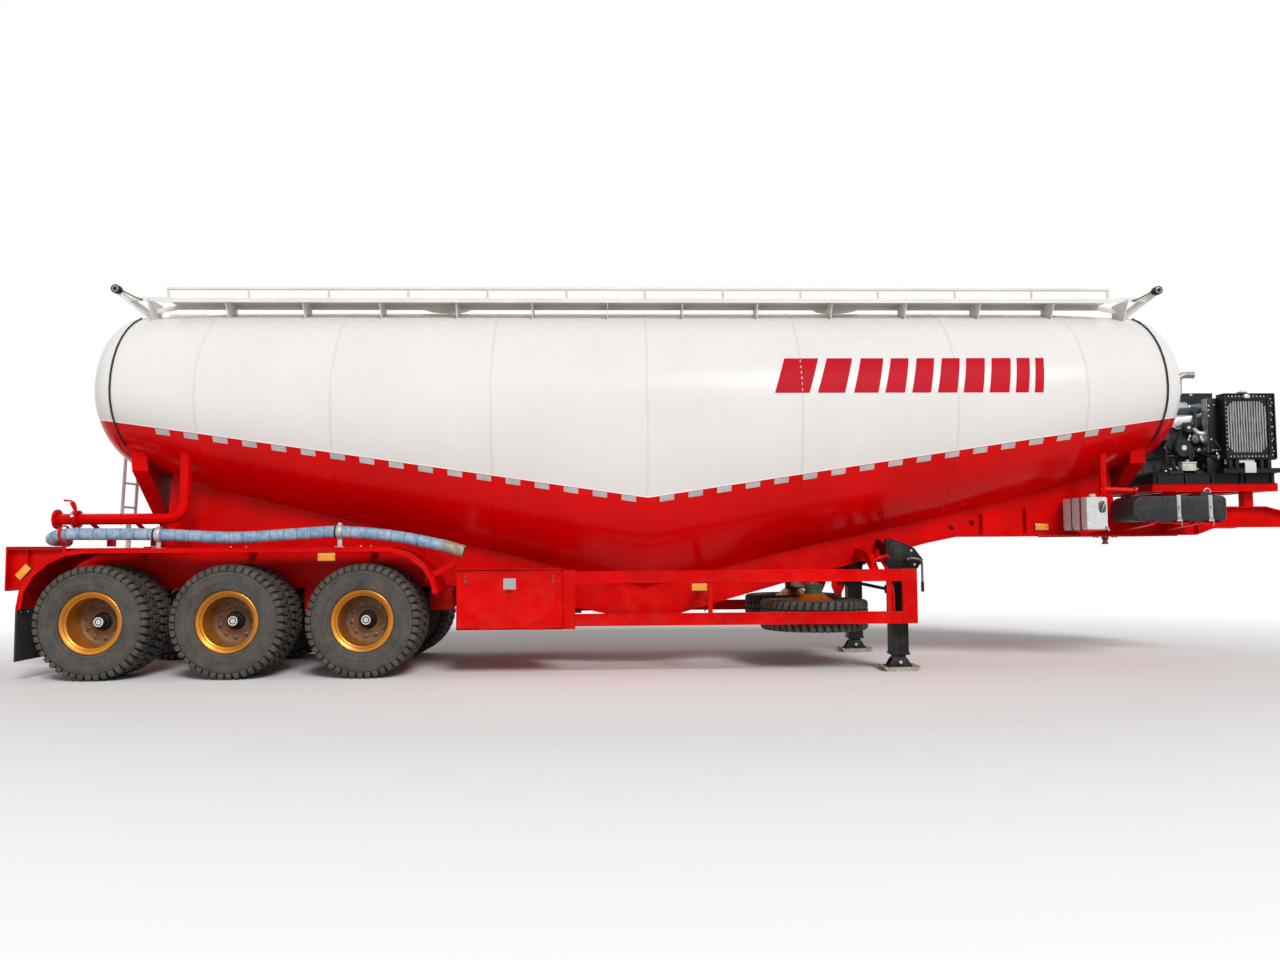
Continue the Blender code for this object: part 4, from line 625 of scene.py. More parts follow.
def makeDecals():
    bars = bmesh.new()
    tapes = bmesh.new()
    for side in (-1, 1):
        low, high = barHeights
        for edges in barEdges:
            addDecal(bars, ((edges[0], low), (edges[1], high), (edges[2], high), (edges[3], low)), side)
        count = int(tankLook["tapeReach"] / tankLook["tapePitch"])
        for end in (1, -1):
            for i in range(count):
                a = 0.12 + tankLook["tapePitch"] * i
                b = a + tankLook["tapeLength"]
                a, b = (a, b) if end > 0 else (-b, -a)
                gap = 0.004
                addDecal(tapes, ((a, paintLine(a) - gap - tankLook["tapeHeight"]), (a, paintLine(a) - gap),
                                 (b, paintLine(b) - gap), (b, paintLine(b) - gap - tankLook["tapeHeight"])),
                         side, across=14, up=2)
    finishPiece(bars, "slanted_bars", barRed, slot="red_paint")
    finishPiece(tapes, "reflective_tapes", tapeSilver, slot="tank_paint")


def tapeMaterial():
    material, tree, shader, place = startMaterial("reflectiveTape", 0.5, 0.3)
    cells = addNode(tree, "ShaderNodeTexVoronoi", {"Vector": place, "Scale": 260.0}, distance="CHEBYCHEV")
    cloud = noise(tree, place, 6.0, 5.0)
    base = mixColor(tree, span(tree, cloud, 0.35, 0.7), (0.30, 0.30, 0.29), (0.50, 0.50, 0.49))
    base = mixColor(tree, span(tree, cells.outputs["Distance"], 0.0, 0.5, 0.0, 0.25), base,
                    (0.75, 0.75, 0.75))
    rough = span(tree, cloud, 0.3, 0.7, 0.28, 0.42)
    return plug(material, shader, base, rough, bump(tree, cells.outputs["Distance"], 0.2, 0.0006))


tankWhite = tankMaterial("tankWhite", colors["tankWhite"], 0.95, 0.08, 0.26)
tankRed = tankMaterial("tankRed", colors["tankRed"], 0.80, 0.03, 0.20)
lineWhite = paintMaterial("brightEdge", colors["lineWhite"], 0.95, 0.3, 0.1)
barRed = paintMaterial("barRed", (0.52, 0.0, 0.012), 0.90, 0.45, 0.0, 0.0, specular=0.08)
tapeSilver = tapeMaterial()
makeTank()
makeDecals()
print("tank made")


# Running wheels: twin tyres, dished rims, hubs
wheelLook = {
    "steps": 96,
    "lugs": 44,
    "lugHalf": 0.0262,
    "centreBlocks": 42,
    "nuts": 10,
    "nutCircle": 0.1675,
}
axleStations = (("front", -2.813), ("middle", -4.123), ("rear", -5.433))
tyreRadius = 0.56
wheelY = 0.9175
twinHalf = 0.1725


def wheelFrame(side, station):
    return Matrix.Translation((station, side * wheelY,
                               tyreRadius)) @ Matrix.Rotation(math.radians(-90 * side), 4, "X")


def tyreProfile():
    half = [(0.255, 0.090), (0.264, 0.094), (0.272, 0.100), (0.285, 0.1065), (0.300, 0.1115), (0.306, 0.1160),
            (0.311, 0.1280), (0.3140, 0.1365), (0.330, 0.1430), (0.333, 0.1475), (0.340, 0.1475),
            (0.343, 0.1445), (0.380, 0.1520), (0.383, 0.1560), (0.389, 0.1560), (0.392, 0.1525),
            (0.425, 0.1545), (0.455, 0.1525), (0.458, 0.1560), (0.465, 0.1555), (0.468, 0.1510),
            (0.490, 0.1475), (0.512, 0.1410), (0.530, 0.1300), (0.540, 0.1150), (0.5415, 0.080),
            (0.5425, 0.040)]
    whole = half + [(0.543, 0.0)] + [(r, -h) for r, h in half[::-1]]
    return [(r, h, 1 if r > 0.486 else 0) for r, h in whole]   # finish 1 is the ground between the lugs, made near-black as painted shade in the grooves


def shoulderLug():
    bm = bmesh.new()
    half = wheelLook["lugHalf"]
    outline = [(0.536, 0.072), (0.5575, 0.072), (0.5585, 0.104), (0.5570, 0.126), (0.5490, 0.1405),
               (0.5330, 0.1515), (0.5080, 0.1560), (0.4960, 0.1525), (0.5000, 0.1400)]
    rows = []
    for share, shrink in ((-1.0, 0.90), (-0.86, 1.0), (0.86, 1.0), (1.0, 0.90)):
        ring = []
        for radius, height in outline:
            size = 0.52 + (radius - 0.52) * shrink
            ring.append(bm.verts.new((size, share * half * (1.0 - 0.10 * (radius - 0.5) / 0.06)
                                      + 0.010 * (height - 0.11) / 0.04, height)))
        rows.append(ring)
    for a, b in zip(rows, rows[1:]):
        for i in range(len(outline)):
            j = (i + 1) % len(outline)
            bm.faces.new((a[i], a[j], b[j], b[i]))
    bm.faces.new(rows[0][::-1])
    bm.faces.new(rows[-1])
    bmesh.ops.recalc_face_normals(bm, faces=bm.faces)
    return bm


def centreBlock(shift, skew):
    bm = bmesh.new()
    outline = [(-0.034, -0.020), (-0.014, -0.030), (0.020, -0.026), (0.034, -0.014), (0.034, 0.022),
               (0.012, 0.031), (-0.022, 0.027), (-0.034, 0.016)]
    low = [bm.verts.new((0.536, a + b * skew, shift + b)) for a, b in outline]
    high = [bm.verts.new((0.5590, (a + b * skew) * 0.92, shift + b * 0.93)) for a, b in outline]
    bm.faces.new(low)
    bm.faces.new(high[::-1])
    for i in range(len(outline)):
        j = (i + 1) % len(outline)
        bm.faces.new((low[j], low[i], high[i], high[j]))
    bmesh.ops.recalc_face_normals(bm, faces=bm.faces)
    return bm


def treadMesh():
    # one tyre's tread, about the height axis
    bm = bmesh.new()
    ring = grow(aroundTheAxle, shoulderLug(), tyreRubber, {"Count": wheelLook["lugs"], "Turn": 0.0})
    addMesh(bm, ring)
    addMesh(bm, ring, Matrix.Rotation(math.pi / wheelLook["lugs"], 4, "Z") @ Matrix.Scale(-1, 4, (0, 0, 1)))
    for shift, skew, turn in ((0.032, 0.35, 0.0), (-0.032, -0.35, 0.5)):
        blocks = grow(aroundTheAxle, centreBlock(shift, skew), tyreRubber,
                      {"Count": wheelLook["centreBlocks"],
                       "Turn": turn * 2 * math.pi / wheelLook["centreBlocks"]})
        addMesh(bm, blocks)
    mesh = bpy.data.meshes.new("tread")
    bm.to_mesh(mesh)
    bm.free()
    return mesh


def nutMesh():
    bm = bmesh.new()
    place = Matrix.Translation((wheelLook["nutCircle"], 0, 0))
    addLathe(bm, [(0, 0.050), (0.009, 0.050), (0.010, 0.048), (0.010, 0.036), (0.013, 0.036), (0.0195, 0.033),
                  (0.0195, 0.020), (0.026, 0.018), (0.026, 0.012), (0, 0.012)], place, 6)
    return grow(aroundTheAxle, bm, darkSteel, {"Count": wheelLook["nuts"], "Turn": 0.3})


def rimProfile():
    # finish index: 0 gold, 1 dusty disc, 2 black hub, 3 bright cap, 4 dark steel drum
    face = [(0.0, 0.1380, 3), (0.010, 0.1380, 2), (0.012, 0.1395, 3), (0.024, 0.1395, 2), (0.026, 0.1375, 2),
            (0.033, 0.1375, 3), (0.035, 0.1420, 3), (0.046, 0.1420, 3), (0.049, 0.1395, 3),
            (0.050, 0.1310, 2), (0.056, 0.1290, 2), (0.062, 0.1180, 2), (0.065, 0.0850, 2),
            (0.076, 0.0780, 2), (0.079, 0.0500, 2), (0.096, 0.0400, 1), (0.118, 0.0330, 1),
            (0.125, 0.0260, 1), (0.150, 0.0200, 1), (0.196, 0.0150, 1), (0.208, 0.0180, 1),
            (0.226, 0.0320, 1), (0.238, 0.0500, 0), (0.2415, 0.0700, 0), (0.2425, 0.150, 0),
            (0.2425, 0.240, 0), (0.2445, 0.246, 0), (0.2445, 0.262, 0), (0.248, 0.268, 0), (0.254, 0.2715, 0),
            (0.262, 0.2750, 0), (0.266, 0.2790, 0), (0.270, 0.2870, 0), (0.280, 0.2925, 0),
            (0.290, 0.2965, 0), (0.299, 0.3000, 0), (0.304, 0.2975, 0), (0.3045, 0.2900, 0),
            (0.300, 0.2850, 0), (0.285, 0.2800, 0), (0.272, 0.2740, 0), (0.264, 0.2680, 0),
            (0.2548, 0.264, 0)]
    back = [(0.2548, -0.264, 0), (0.264, -0.268, 0), (0.272, -0.274, 0), (0.285, -0.280, 0),
            (0.300, -0.285, 0), (0.3045, -0.290, 0), (0.304, -0.2975, 0), (0.299, -0.300, 0),
            (0.290, -0.2965, 0), (0.280, -0.2925, 0), (0.270, -0.287, 0), (0.262, -0.275, 0),
            (0.248, -0.268, 0), (0.2445, -0.262, 0), (0.2425, -0.240, 0), (0.2425, -0.060, 1),
            (0.226, -0.032, 1), (0.215, -0.020, 4), (0.206, -0.020, 4), (0.205, -0.235, 4),
            (0.198, -0.250, 4), (0.185, -0.250, 4), (0.180, -0.060, 4), (0.053, -0.050, 4), (0.053, 0.03, 4),
            (0.0, 0.03, 4)]
    return face + back


def makeWheels():
    tread = treadMesh()
    nuts = nutMesh()
    for side, sideName in sides:
        for axle, station in axleStations:
            place = wheelFrame(side, station)
            body = f"wheels_{axle}_{sideName}"
            spin = Matrix.Rotation(0.37 * station + side, 4, "Z")
            tyres = bmesh.new()
            for shift in (twinHalf, -twinHalf):
                lift = place @ Matrix.Translation((0, 0, shift)) @ spin
                addLathe(tyres, tyreProfile(), lift, wheelLook["steps"], closed=True)
                addMesh(tyres, tread, lift)
            bmesh.ops.recalc_face_normals(tyres, faces=tyres.faces)
            finishPiece(tyres, f"tyres_{axle}_{sideName}", [tyreRubber, shadedTreadGround], body, "tyre_rubber",
                        (f"tyre_{axle}_{sideName}_inner", f"tyre_{axle}_{sideName}_outer"), 32)
            rims = bmesh.new()
            addLathe(rims, rimProfile(), place, wheelLook["steps"])
            addMesh(rims, nuts, place @ spin, 4)
            bmesh.ops.recalc_face_normals(rims, faces=rims.faces)
            finishPiece(rims, f"rims_{axle}_{sideName}", [gold, discBrown, black, chrome, darkSteel], body,
                        "rim_gold", (f"wheel_{axle}_{sideName}",), 32)


makeWheels()
print("wheels made")


# Bolts: heads with washers, singly or in rows
def boltModel(size):
    bm = bmesh.new()
    addLathe(bm, [(0, size * 0.9), (size * 0.86, size * 0.9), (size, size * 0.74), (size, size * 0.22)],
             Matrix(), 6)
    addLathe(bm, [(size, size * 0.22), (size * 1.6, size * 0.22), (size * 1.6, -0.001), (0, -0.001)],
             Matrix(), 14)
    bmesh.ops.remove_doubles(bm, verts=bm.verts, dist=0.00001)
    return bm


def addBolt(bm, at, toward, size=0.010, index=0):
    start = Vector(at)
    place = axisFrame(start, start + Vector(toward))
    addLathe(bm, [(0, size * 0.9, index), (size * 0.86, size * 0.9, index), (size, size * 0.74, index),
                  (size, -0.001, index), (0, -0.001, index)], place, 6)
    addLathe(bm, [(0, size * 0.22, index), (size * 1.6, size * 0.22, index), (size * 1.6, -0.0015, index),
                  (0, -0.0015, index)], place, 14)


def boltRow(bm, start, end, count, toward, size=0.010, index=0):
    start, end = Vector(start), Vector(end)
    model = boltModel(size)
    bmesh.ops.transform(model, matrix=axisFrame((0, 0, 0), toward), verts=model.verts)
    step = (end - start) / max(1, count - 1)
    row = grow(alongARow, model, silver, {"Count": count, "Start": start, "Step": step})
    addMesh(bm, row, None, index)
    bpy.data.meshes.remove(row)


def addRing(bm, at, toward, radius, thick, index=0, steps=28, sides=10, start=0.0, turn=1.0):
    # round bar bent to a ring, or to a share of one
    place = axisFrame(Vector(at), Vector(at) + Vector(toward))
    count = steps if turn >= 1 else steps + 1
    loop = [place @ Vector((radius * math.cos(2 * math.pi * (start + turn * i / steps)),
                            radius * math.sin(2 * math.pi * (start + turn * i / steps)),
                            0)) for i in range(count)]
    if turn >= 1:
        profile = [(radius + thick * math.cos(2 * math.pi * i / sides),
                    thick * math.sin(2 * math.pi * i / sides), index)
                   for i in range(sides)]
        addLathe(bm, profile, place, steps, closed=True)
    else:
        addTube(bm, loop, thick, index, sides)


def closePiece(bm, name, materials, **settings):
    bmesh.ops.recalc_face_normals(bm, faces=bm.faces)
    return finishPiece(bm, name, materials, **settings)


# Radiator: corrugated core, bolted frame, cap and baffle plate
radiatorLook = {
    "core": (6.198, 6.622, 2.226, 2.778),
    "corner": 0.062,
    "fins": 15,
    "finRadius": 0.0102,
    "face": -0.75,
}


def coreRoom(x):
    x0, x1, z0, z1 = radiatorLook["core"]
    near = min(x - x0, x1 - x)
    cut = max(0.0, radiatorLook["corner"] - near)
    return z0 + cut, z1 - cut


def makeRadiatorCore():
    x0, x1, z0, z1 = radiatorLook["core"]
    face = radiatorLook["face"]
    bm = bmesh.new()
    c = radiatorLook["corner"]
    outline = [(x0 + c, z0), (x1 - c, z0), (x1, z0 + c), (x1, z1 - c), (x1 - c, z1), (x0 + c, z1),
               (x0, z1 - c), (x0, z0 + c)]
    addPrism(bm, outline, "Y", face + 0.011, face + 0.016, 1)
    for i in range(radiatorLook["fins"]):
        x = x0 + 0.010 + (x1 - x0 - 0.020) * i / (radiatorLook["fins"] - 1)
        low, high = coreRoom(x)
        sway = 0.0028 * math.sin(2.3 * i)
        route = [Vector((x + sway * math.sin(9 * t + i), face + 0.008,
                         low + 0.004 + (high - low - 0.008) * t))
                 for t in (k / 14 for k in range(15))]
        addTube(bm, route, lambda along: radiatorLook["finRadius"] * (1 + 0.08 * math.sin(60 * along)), 0, 10)
    for lift in (0.20, 0.40, 0.60, 0.80):  # tie strips behind the fins' crests
        z = z0 + (z1 - z0) * lift
        addBox(bm, (x0 + 0.01, x1 - 0.01), (face + 0.001, face + 0.007), (z - 0.002, z + 0.002), 0, 1)
    closePiece(bm, "radiator_core", [finMetal, darkSteel], slot="black_paint")


def makeRadiatorFrame():
    bm = bmesh.new()
    for xs, ys, zs in (((6.160, 6.712), (-0.762, -0.618), (2.850, 2.860)),
                       ((6.160, 6.712), (-0.762, -0.618), (2.160, 2.170)),
                       ((6.160, 6.172), (-0.768, -0.618), (2.16, 2.86)),
                       ((6.698, 6.712), (-0.768, -0.618), (2.16, 2.86)),
                       ((6.170, 6.700), (-0.756, -0.748), (2.795, 2.812)),
                       ((6.170, 6.700), (-0.756, -0.748), (2.200, 2.212)),
                       ((6.630, 6.640), (-0.764, -0.748), (2.20, 2.81)),
                       ((6.186, 6.194), (-0.760, -0.748), (2.24, 2.77))):
        addBox(bm, xs, ys, zs, 0.002, 0)
    addBox(bm, (6.034, 6.176), (-0.652, -0.640), (2.236, 2.822), 0.004, 0)   # baffle plate over the duct
    addBox(bm, (6.034, 6.046), (-0.652, -0.560), (2.236, 2.822), 0.003, 0)
    for start, end, count in (((6.215, 2.828), (6.60, 2.828), 11), ((6.215, 2.186), (6.60, 2.186), 11),
                              ((6.181, 2.26), (6.181, 2.76), 12), ((6.668, 2.20), (6.668, 2.80), 9),
                              ((6.682, 2.24), (6.682, 2.76), 5)):
        boltRow(bm, (start[0], -0.7565, start[1]), (end[0], -0.7565, end[1]), count, (0, -1, 0), 0.0044, 1)
    for x, z in ((6.056, 2.742), (6.118, 2.752), (6.054, 2.694), (6.054, 2.634), (6.072, 2.378),
                 (6.088, 2.262), (6.126, 2.262), (6.156, 2.264)):
        addBolt(bm, (x, -0.652, z), (0, -1, 0), 0.006, 1)
    for z in (2.150, 2.120):
        addBolt(bm, (6.19, -0.70, z), (0, -1, 0), 0.009, 1)
    closePiece(bm, "radiator_frame", [black, silver], slot="black_paint")


def makeRadiatorCap():
    bm = bmesh.new()
    cap = axisFrame((6.41, -0.685, 2.84), (6.41, -0.685, 3.0))
    addLathe(bm, [(0, 0.062), (0.012, 0.062), (0.016, 0.056), (0.040, 0.053), (0.046, 0.047), (0.046, 0.036),
                  (0.030, 0.034), (0.030, -0.002), (0, -0.002)], cap, 28)
    for side in (-1, 1):
        addBox(bm, (6.41 + side * 0.043, 6.41 + side * 0.056), (-0.695, -0.675), (2.874, 2.888), 0.002)
    addBox(bm, (6.380, 6.438), (-0.772, -0.752), (2.806, 2.846), 0.004)
    addRod(bm, (6.50, -0.69, 2.85), (6.58, -0.69, 2.868), 0.006)
    addRod(bm, (6.32, -0.70, 2.853), (6.24, -0.72, 2.866), 0.005)
    closePiece(bm, "radiator_cap", [silver], slot="black_paint")


# Engine: belts, alternator, hoses, intake and filter
def beltRoute(wheels, steps=14):
    # outer loop of a belt round wheels given as (x, z, radius), in order
    route = []
    for k, (x, z, radius) in enumerate(wheels):
        before, after = wheels[k - 1], wheels[(k + 1) % len(wheels)]
        into = math.atan2(z - before[1], x - before[0]) - math.pi / 2
        out = math.atan2(after[1] - z, after[0] - x) - math.pi / 2
        while out < into:
            out += 2 * math.pi
        for i in range(steps + 1):
            a = into + (out - into) * i / steps
            route.append((x + radius * math.cos(a), z + radius * math.sin(a)))
    return route


def addBelt(bm, wheels, y0, y1, thick, index):
    inner = beltRoute(wheels)
    outer = beltRoute([(x, z, r + thick) for x, z, r in wheels])
    rings = [[bm.verts.new((x, y, z)) for x, z in loop] for loop, y in
             ((inner, y0), (outer, y0), (outer, y1), (inner, y1))]
    for a, b in zip(rings, rings[1:] + rings[:1]):
        for i in range(len(inner)):
            j = (i + 1) % len(inner)
            bm.faces.new((a[i], a[j], b[j], b[i])).material_index = index


def addPulley(bm, x, z, radius, y0, y1, index, hubIndex):
    place = axisFrame((x, y0, z), (x, y1, z))
    long = abs(y1 - y0)
    rows = [(0, -0.002, index), (radius * 0.98, -0.002, index)]
    grooves = 4
    for i in range(grooves):
        a = long * (0.12 + 0.72 * i / grooves)
        rows += [(radius, a, index), (radius * 0.90, a + long * 0.07, index),
                 (radius, a + long * 0.14, index)]
    rows += [(radius, long, index), (radius * 0.90, long, index), (radius * 0.84, long * 0.80, index),
             (radius * 0.34, long * 0.74, hubIndex), (radius * 0.30, long * 0.98, hubIndex),
             (0, long * 0.98, hubIndex)]
    addLathe(bm, rows, place, 32)


def makeEngineFront():
    bm = bmesh.new()
    wheels = ((5.84, 2.30, 0.092), (6.01, 2.41, 0.067), (5.90, 2.52, 0.052))
    for x, z, radius in wheels:
        addPulley(bm, x, z, radius, -0.478, -0.542, 0, 1)
    addBelt(bm, wheels, -0.500, -0.530, 0.007, 2)
    # lower housing: bell, ribs and covers against the block's face
    place = axisFrame((5.80, -0.42, 2.36), (5.80, -0.60, 2.36))
    addLathe(bm, [(0, 0.0), (0.150, 0.0), (0.150, 0.020), (0.142, 0.030), (0.120, 0.034), (0.112, 0.052),
                  (0.0, 0.052)],
             place, 40)
    for i in range(9):
        x = 5.70 + 0.062 * i
        addBox(bm, (x, x + 0.010), (-0.476, -0.44), (2.09, 2.215), 0.002, 0)
    addBox(bm, (5.68, 6.20), (-0.494, -0.44), (2.205, 2.222), 0.004, 0)
    addBox(bm, (5.66, 6.25), (-0.505, -0.44), (2.062, 2.082), 0.004, 0)
    # timing cover, rocker cover with its bolts
    addPrism(bm, [(5.79, 2.535), (6.22, 2.535), (6.22, 2.60), (6.15, 2.72), (6.06, 2.745), (5.79, 2.745)],
             "Y", -0.434, -0.41, 0, 0.006)
    addBox(bm, (5.82, 6.32), (-0.350, -0.310), (2.748, 2.758), 0.003, 0)
    boltRow(bm, (5.86, -0.345, 2.758), (6.28, -0.345, 2.758), 7, (0, 0, 1), 0.008, 1)
    boltRow(bm, (5.72, -0.476, 2.515), (6.20, -0.476, 2.515), 8, (0, -1, 0), 0.007, 1)
    boltRow(bm, (5.70, -0.505, 2.072), (6.22, -0.505, 2.072), 8, (0, -1, 0), 0.006, 1)
    for a, b in aroundCircle(8, 0.132, 22.5):
        addBolt(bm, (5.80 + a, -0.450, 2.36 + b), (0, -1, 0), 0.007, 1)
    # ribbed round cover low at the front
    place = axisFrame((6.10, -0.47, 2.095), (6.10, -0.60, 2.095))
    addLathe(bm, [(0, 0), (0.052, 0), (0.056, 0.012), (0.050, 0.046), (0.030, 0.058), (0, 0.060)], place, 28)
    for (a, b), (c, d) in zip(aroundCircle(12, 0.018), aroundCircle(12, 0.050)):
        addRod(bm, (6.10 + a, -0.528, 2.095 + b), (6.10 + c, -0.514, 2.095 + d), 0.0035, 0, 6)
    # black top bar and the bracket under it
    addBox(bm, (6.02, 6.345), (-0.252, -0.215), (2.918, 2.936), 0.003, 3)
    addBox(bm, (6.02, 6.345), (-0.258, -0.250), (2.880, 2.936), 0.002, 3)
    addBolt(bm, (6.10, -0.258, 2.912), (0, -1, 0), 0.011, 1)
    addRod(bm, (6.10, -0.27, 2.76), (6.10, -0.27, 2.90), 0.010, 1, 12)
    closePiece(bm, "engine_fittings", [iron, silver, hoseRubber, black], slot="cast_iron")


# alternator with slotted end and bracket
def makeAlternator():
    bm = bmesh.new()
    place = axisFrame((5.955, -0.46, 2.395), (5.955, -0.64, 2.395))
    addLathe(bm, [(0, 0), (0.050, 0), (0.056, 0.008), (0.056, 0.030), (0.053, 0.034), (0.053, 0.072),
                  (0.056, 0.076), (0.056, 0.098), (0.046, 0.110), (0.020, 0.114), (0.018, 0.124),
                  (0, 0.124)], place, 30)
    for a, b in aroundCircle(14, 0.042):
        x, z = 5.955 + a, 2.395 + b
        addBox(bm, (x - 0.003, x + 0.003), (-0.5745, -0.566), (z - 0.007, z + 0.007), 0.001, 1)
    addPrism(bm, [(5.985, 2.42), (6.03, 2.475), (6.075, 2.465), (6.105, 2.41), (6.075, 2.355), (6.03, 2.345),
                  (5.99, 2.37)],
             "Y", -0.590, -0.548, 2, 0.006)
    addPrism(bm, [(6.02, 2.45), (6.10, 2.485), (6.135, 2.475), (6.13, 2.455), (6.06, 2.43)], "Y", -0.575,
             -0.560, 2, 0.003)
    for x, z in ((6.075, 2.39), (6.035, 2.45), (6.01, 2.38)):
        addLathe(bm, [(0, 0.016, 3), (0.012, 0.016, 3), (0.019, 0.010, 3), (0.019, -0.002, 3),
                      (0, -0.002, 3)],
                 axisFrame((x, -0.590, z), (x, -0.7, z)), 20)
        addBolt(bm, (x, -0.606, z), (0, -1, 0), 0.008, 3)
    addPrism(bm, [(5.87, 2.37), (5.91, 2.355), (5.94, 2.42), (5.91, 2.445)], "Y", -0.540, -0.512, 2, 0.005)
    addBolt(bm, (5.892, -0.540, 2.385), (0, -1, 0), 0.008, 3)
    closePiece(bm, "alternator", [darkAlloy, iron, dullAlloy, silver], slot="cast_iron")


# intake: dull silver drum, pale cap ring, blue coupling, copper clamp and manifold
def makeIntake():
    bm = bmesh.new()
    addLathe(bm, [(0, 0.0), (0.076, 0.0), (0.0785, 0.006), (0.0785, 0.226), (0.0755, 0.232), (0.0755, 0.244),
                  (0.080, 0.248), (0.080, 0.262), (0.070, 0.276), (0.040, 0.286), (0, 0.288)],
             axisFrame((5.700, -0.35, 2.746), (6.0, -0.35, 2.746)), 40)
    addTube(bm, smoothRoute(((5.975, -0.35, 2.750), (6.03, -0.352, 2.753), (6.085, -0.36, 2.757),
                             (6.135, -0.37, 2.760)), 6),
            lambda along: 0.036 + 0.010 * min(1.0, along / 0.15), 1, 24)
    for x, r in ((6.000, 0.041), (6.118, 0.049)):
        addLathe(bm, [(r - 0.006, -0.009, 2), (r, -0.009, 2), (r, 0.009, 2), (r - 0.006, 0.009, 2)],
                 axisFrame((x, -0.355, 2.755), (x + 1, -0.355, 2.78)), 28, closed=True)
    addTube(bm, smoothRoute(((6.13, -0.37, 2.76), (6.17, -0.39, 2.755), (6.185, -0.40, 2.72),
                             (6.17, -0.42, 2.68)), 6),
            0.040, 3, 20)
    addTube(bm, smoothRoute(((5.70, -0.435, 2.625), (5.86, -0.440, 2.622), (6.02, -0.445, 2.628),
                             (6.12, -0.445, 2.655), (6.17, -0.43, 2.70)), 7), 0.046, 0, 24)
    for x in (5.80, 5.93, 6.06):
        addRing(bm, (x, -0.442, 2.625), (1, 0, 0), 0.047, 0.005, 0)
    # cast manifold flank and the drop elbow beside it
    addPrism(bm, [(5.70, 2.535), (5.80, 2.500), (5.96, 2.505), (6.07, 2.545), (6.13, 2.590), (6.10, 2.640),
                  (5.96, 2.655), (5.80, 2.640), (5.70, 2.610)], "Y", -0.505, -0.452, 0, 0.014)
    for x in (5.76, 5.87, 5.98, 6.07):
        addBolt(bm, (x, -0.505, 2.575 + 0.02 * (x - 5.87)), (0, -1, 0), 0.009, 2)
    addTube(bm, smoothRoute(((5.955, -0.53, 2.50), (5.975, -0.56, 2.46), (6.02, -0.575, 2.445),
                             (6.085, -0.58, 2.455), (6.135, -0.575, 2.425)), 6), 0.030, 0, 20)
    addRing(bm, (6.03, -0.577, 2.446), (1, 0, 0), 0.031, 0.005, 2)
    closePiece(bm, "air_intake", [dullAlloy, couplingBlue, silver, copper], slot="cast_iron")


def makeEngineHoses():
    bm = bmesh.new()
    hoses = (((6.00, -0.46, 2.69), (5.985, -0.52, 2.66), (5.965, -0.545, 2.57), (5.955, -0.545, 2.455),
              0.013),
             ((5.915, -0.51, 2.34), (5.912, -0.525, 2.27), (5.905, -0.525, 2.20), (5.90, -0.51, 2.14), 0.014),
             ((5.935, -0.50, 2.33), (5.945, -0.53, 2.25), (5.93, -0.53, 2.18), (5.925, -0.50, 2.14), 0.008),
             ((5.985, -0.48, 2.305), (6.06, -0.53, 2.245), (6.13, -0.60, 2.195), (6.21, -0.655, 2.185),
              0.032),
             ((6.04, -0.60, 2.44), (6.11, -0.64, 2.37), (6.145, -0.665, 2.30), (6.20, -0.67, 2.255), 0.011),
             ((5.70, -0.45, 2.44), (5.66, -0.50, 2.33), (5.66, -0.51, 2.18), (5.69, -0.48, 2.06), 0.009),
             ((5.73, -0.47, 2.20), (5.72, -0.515, 2.15), (5.74, -0.52, 2.08), (5.80, -0.51, 2.05), 0.011),
             ((5.72, -0.46, 2.55), (5.80, -0.51, 2.53), (5.86, -0.51, 2.57), (5.90, -0.47, 2.62), 0.008),
             ((6.02, -0.45, 2.16), (6.07, -0.50, 2.19), (6.10, -0.50, 2.16), (6.12, -0.51, 2.11), 0.007))
    for *points, radius in hoses:
        addTube(bm, smoothRoute(points, 7), radius, 0, 14)
    for x, y, z, run in ((6.018, -0.505, 2.275, (0.07, -0.05, -0.055)),
                         (6.165, -0.625, 2.188, (0.07, -0.055, -0.015)),
                         (6.188, -0.643, 2.186, (0.07, -0.055, -0.008))):
        addLathe(bm, [(0.029, -0.007, 1), (0.0355, -0.007, 1), (0.0355, 0.007, 1), (0.029, 0.007, 1)],
                 axisFrame((x, y, z), Vector((x, y, z)) + Vector(run)), 24, closed=True)
        addBolt(bm, (x, y - 0.030, z), (0, -1, 0), 0.007, 1)
    # pale filter block with its lid and a copper union beside it
    addBox(bm, (5.812, 5.966), (-0.540, -0.455), (2.012, 2.128), 0.006, 2)
    addBox(bm, (5.806, 5.972), (-0.545, -0.452), (2.128, 2.146), 0.005, 2)
    addBox(bm, (5.865, 5.885), (-0.535, -0.47), (2.146, 2.170), 0.004, 2)
    addRod(bm, (5.765, -0.50, 2.06), (5.765, -0.50, 2.10), 0.014, 3, 6)
    addRod(bm, (5.78, -0.46, 2.79), (5.78, -0.46, 2.815), 0.020, 3, 20, 0.004)
    addRod(bm, (5.66, -0.45, 2.42), (5.66, -0.52, 2.42), 0.045, 0, 24, 0.006)
    closePiece(bm, "engine_hoses", [hoseRubber, silver, filterWhite, copper], slot="cast_iron")


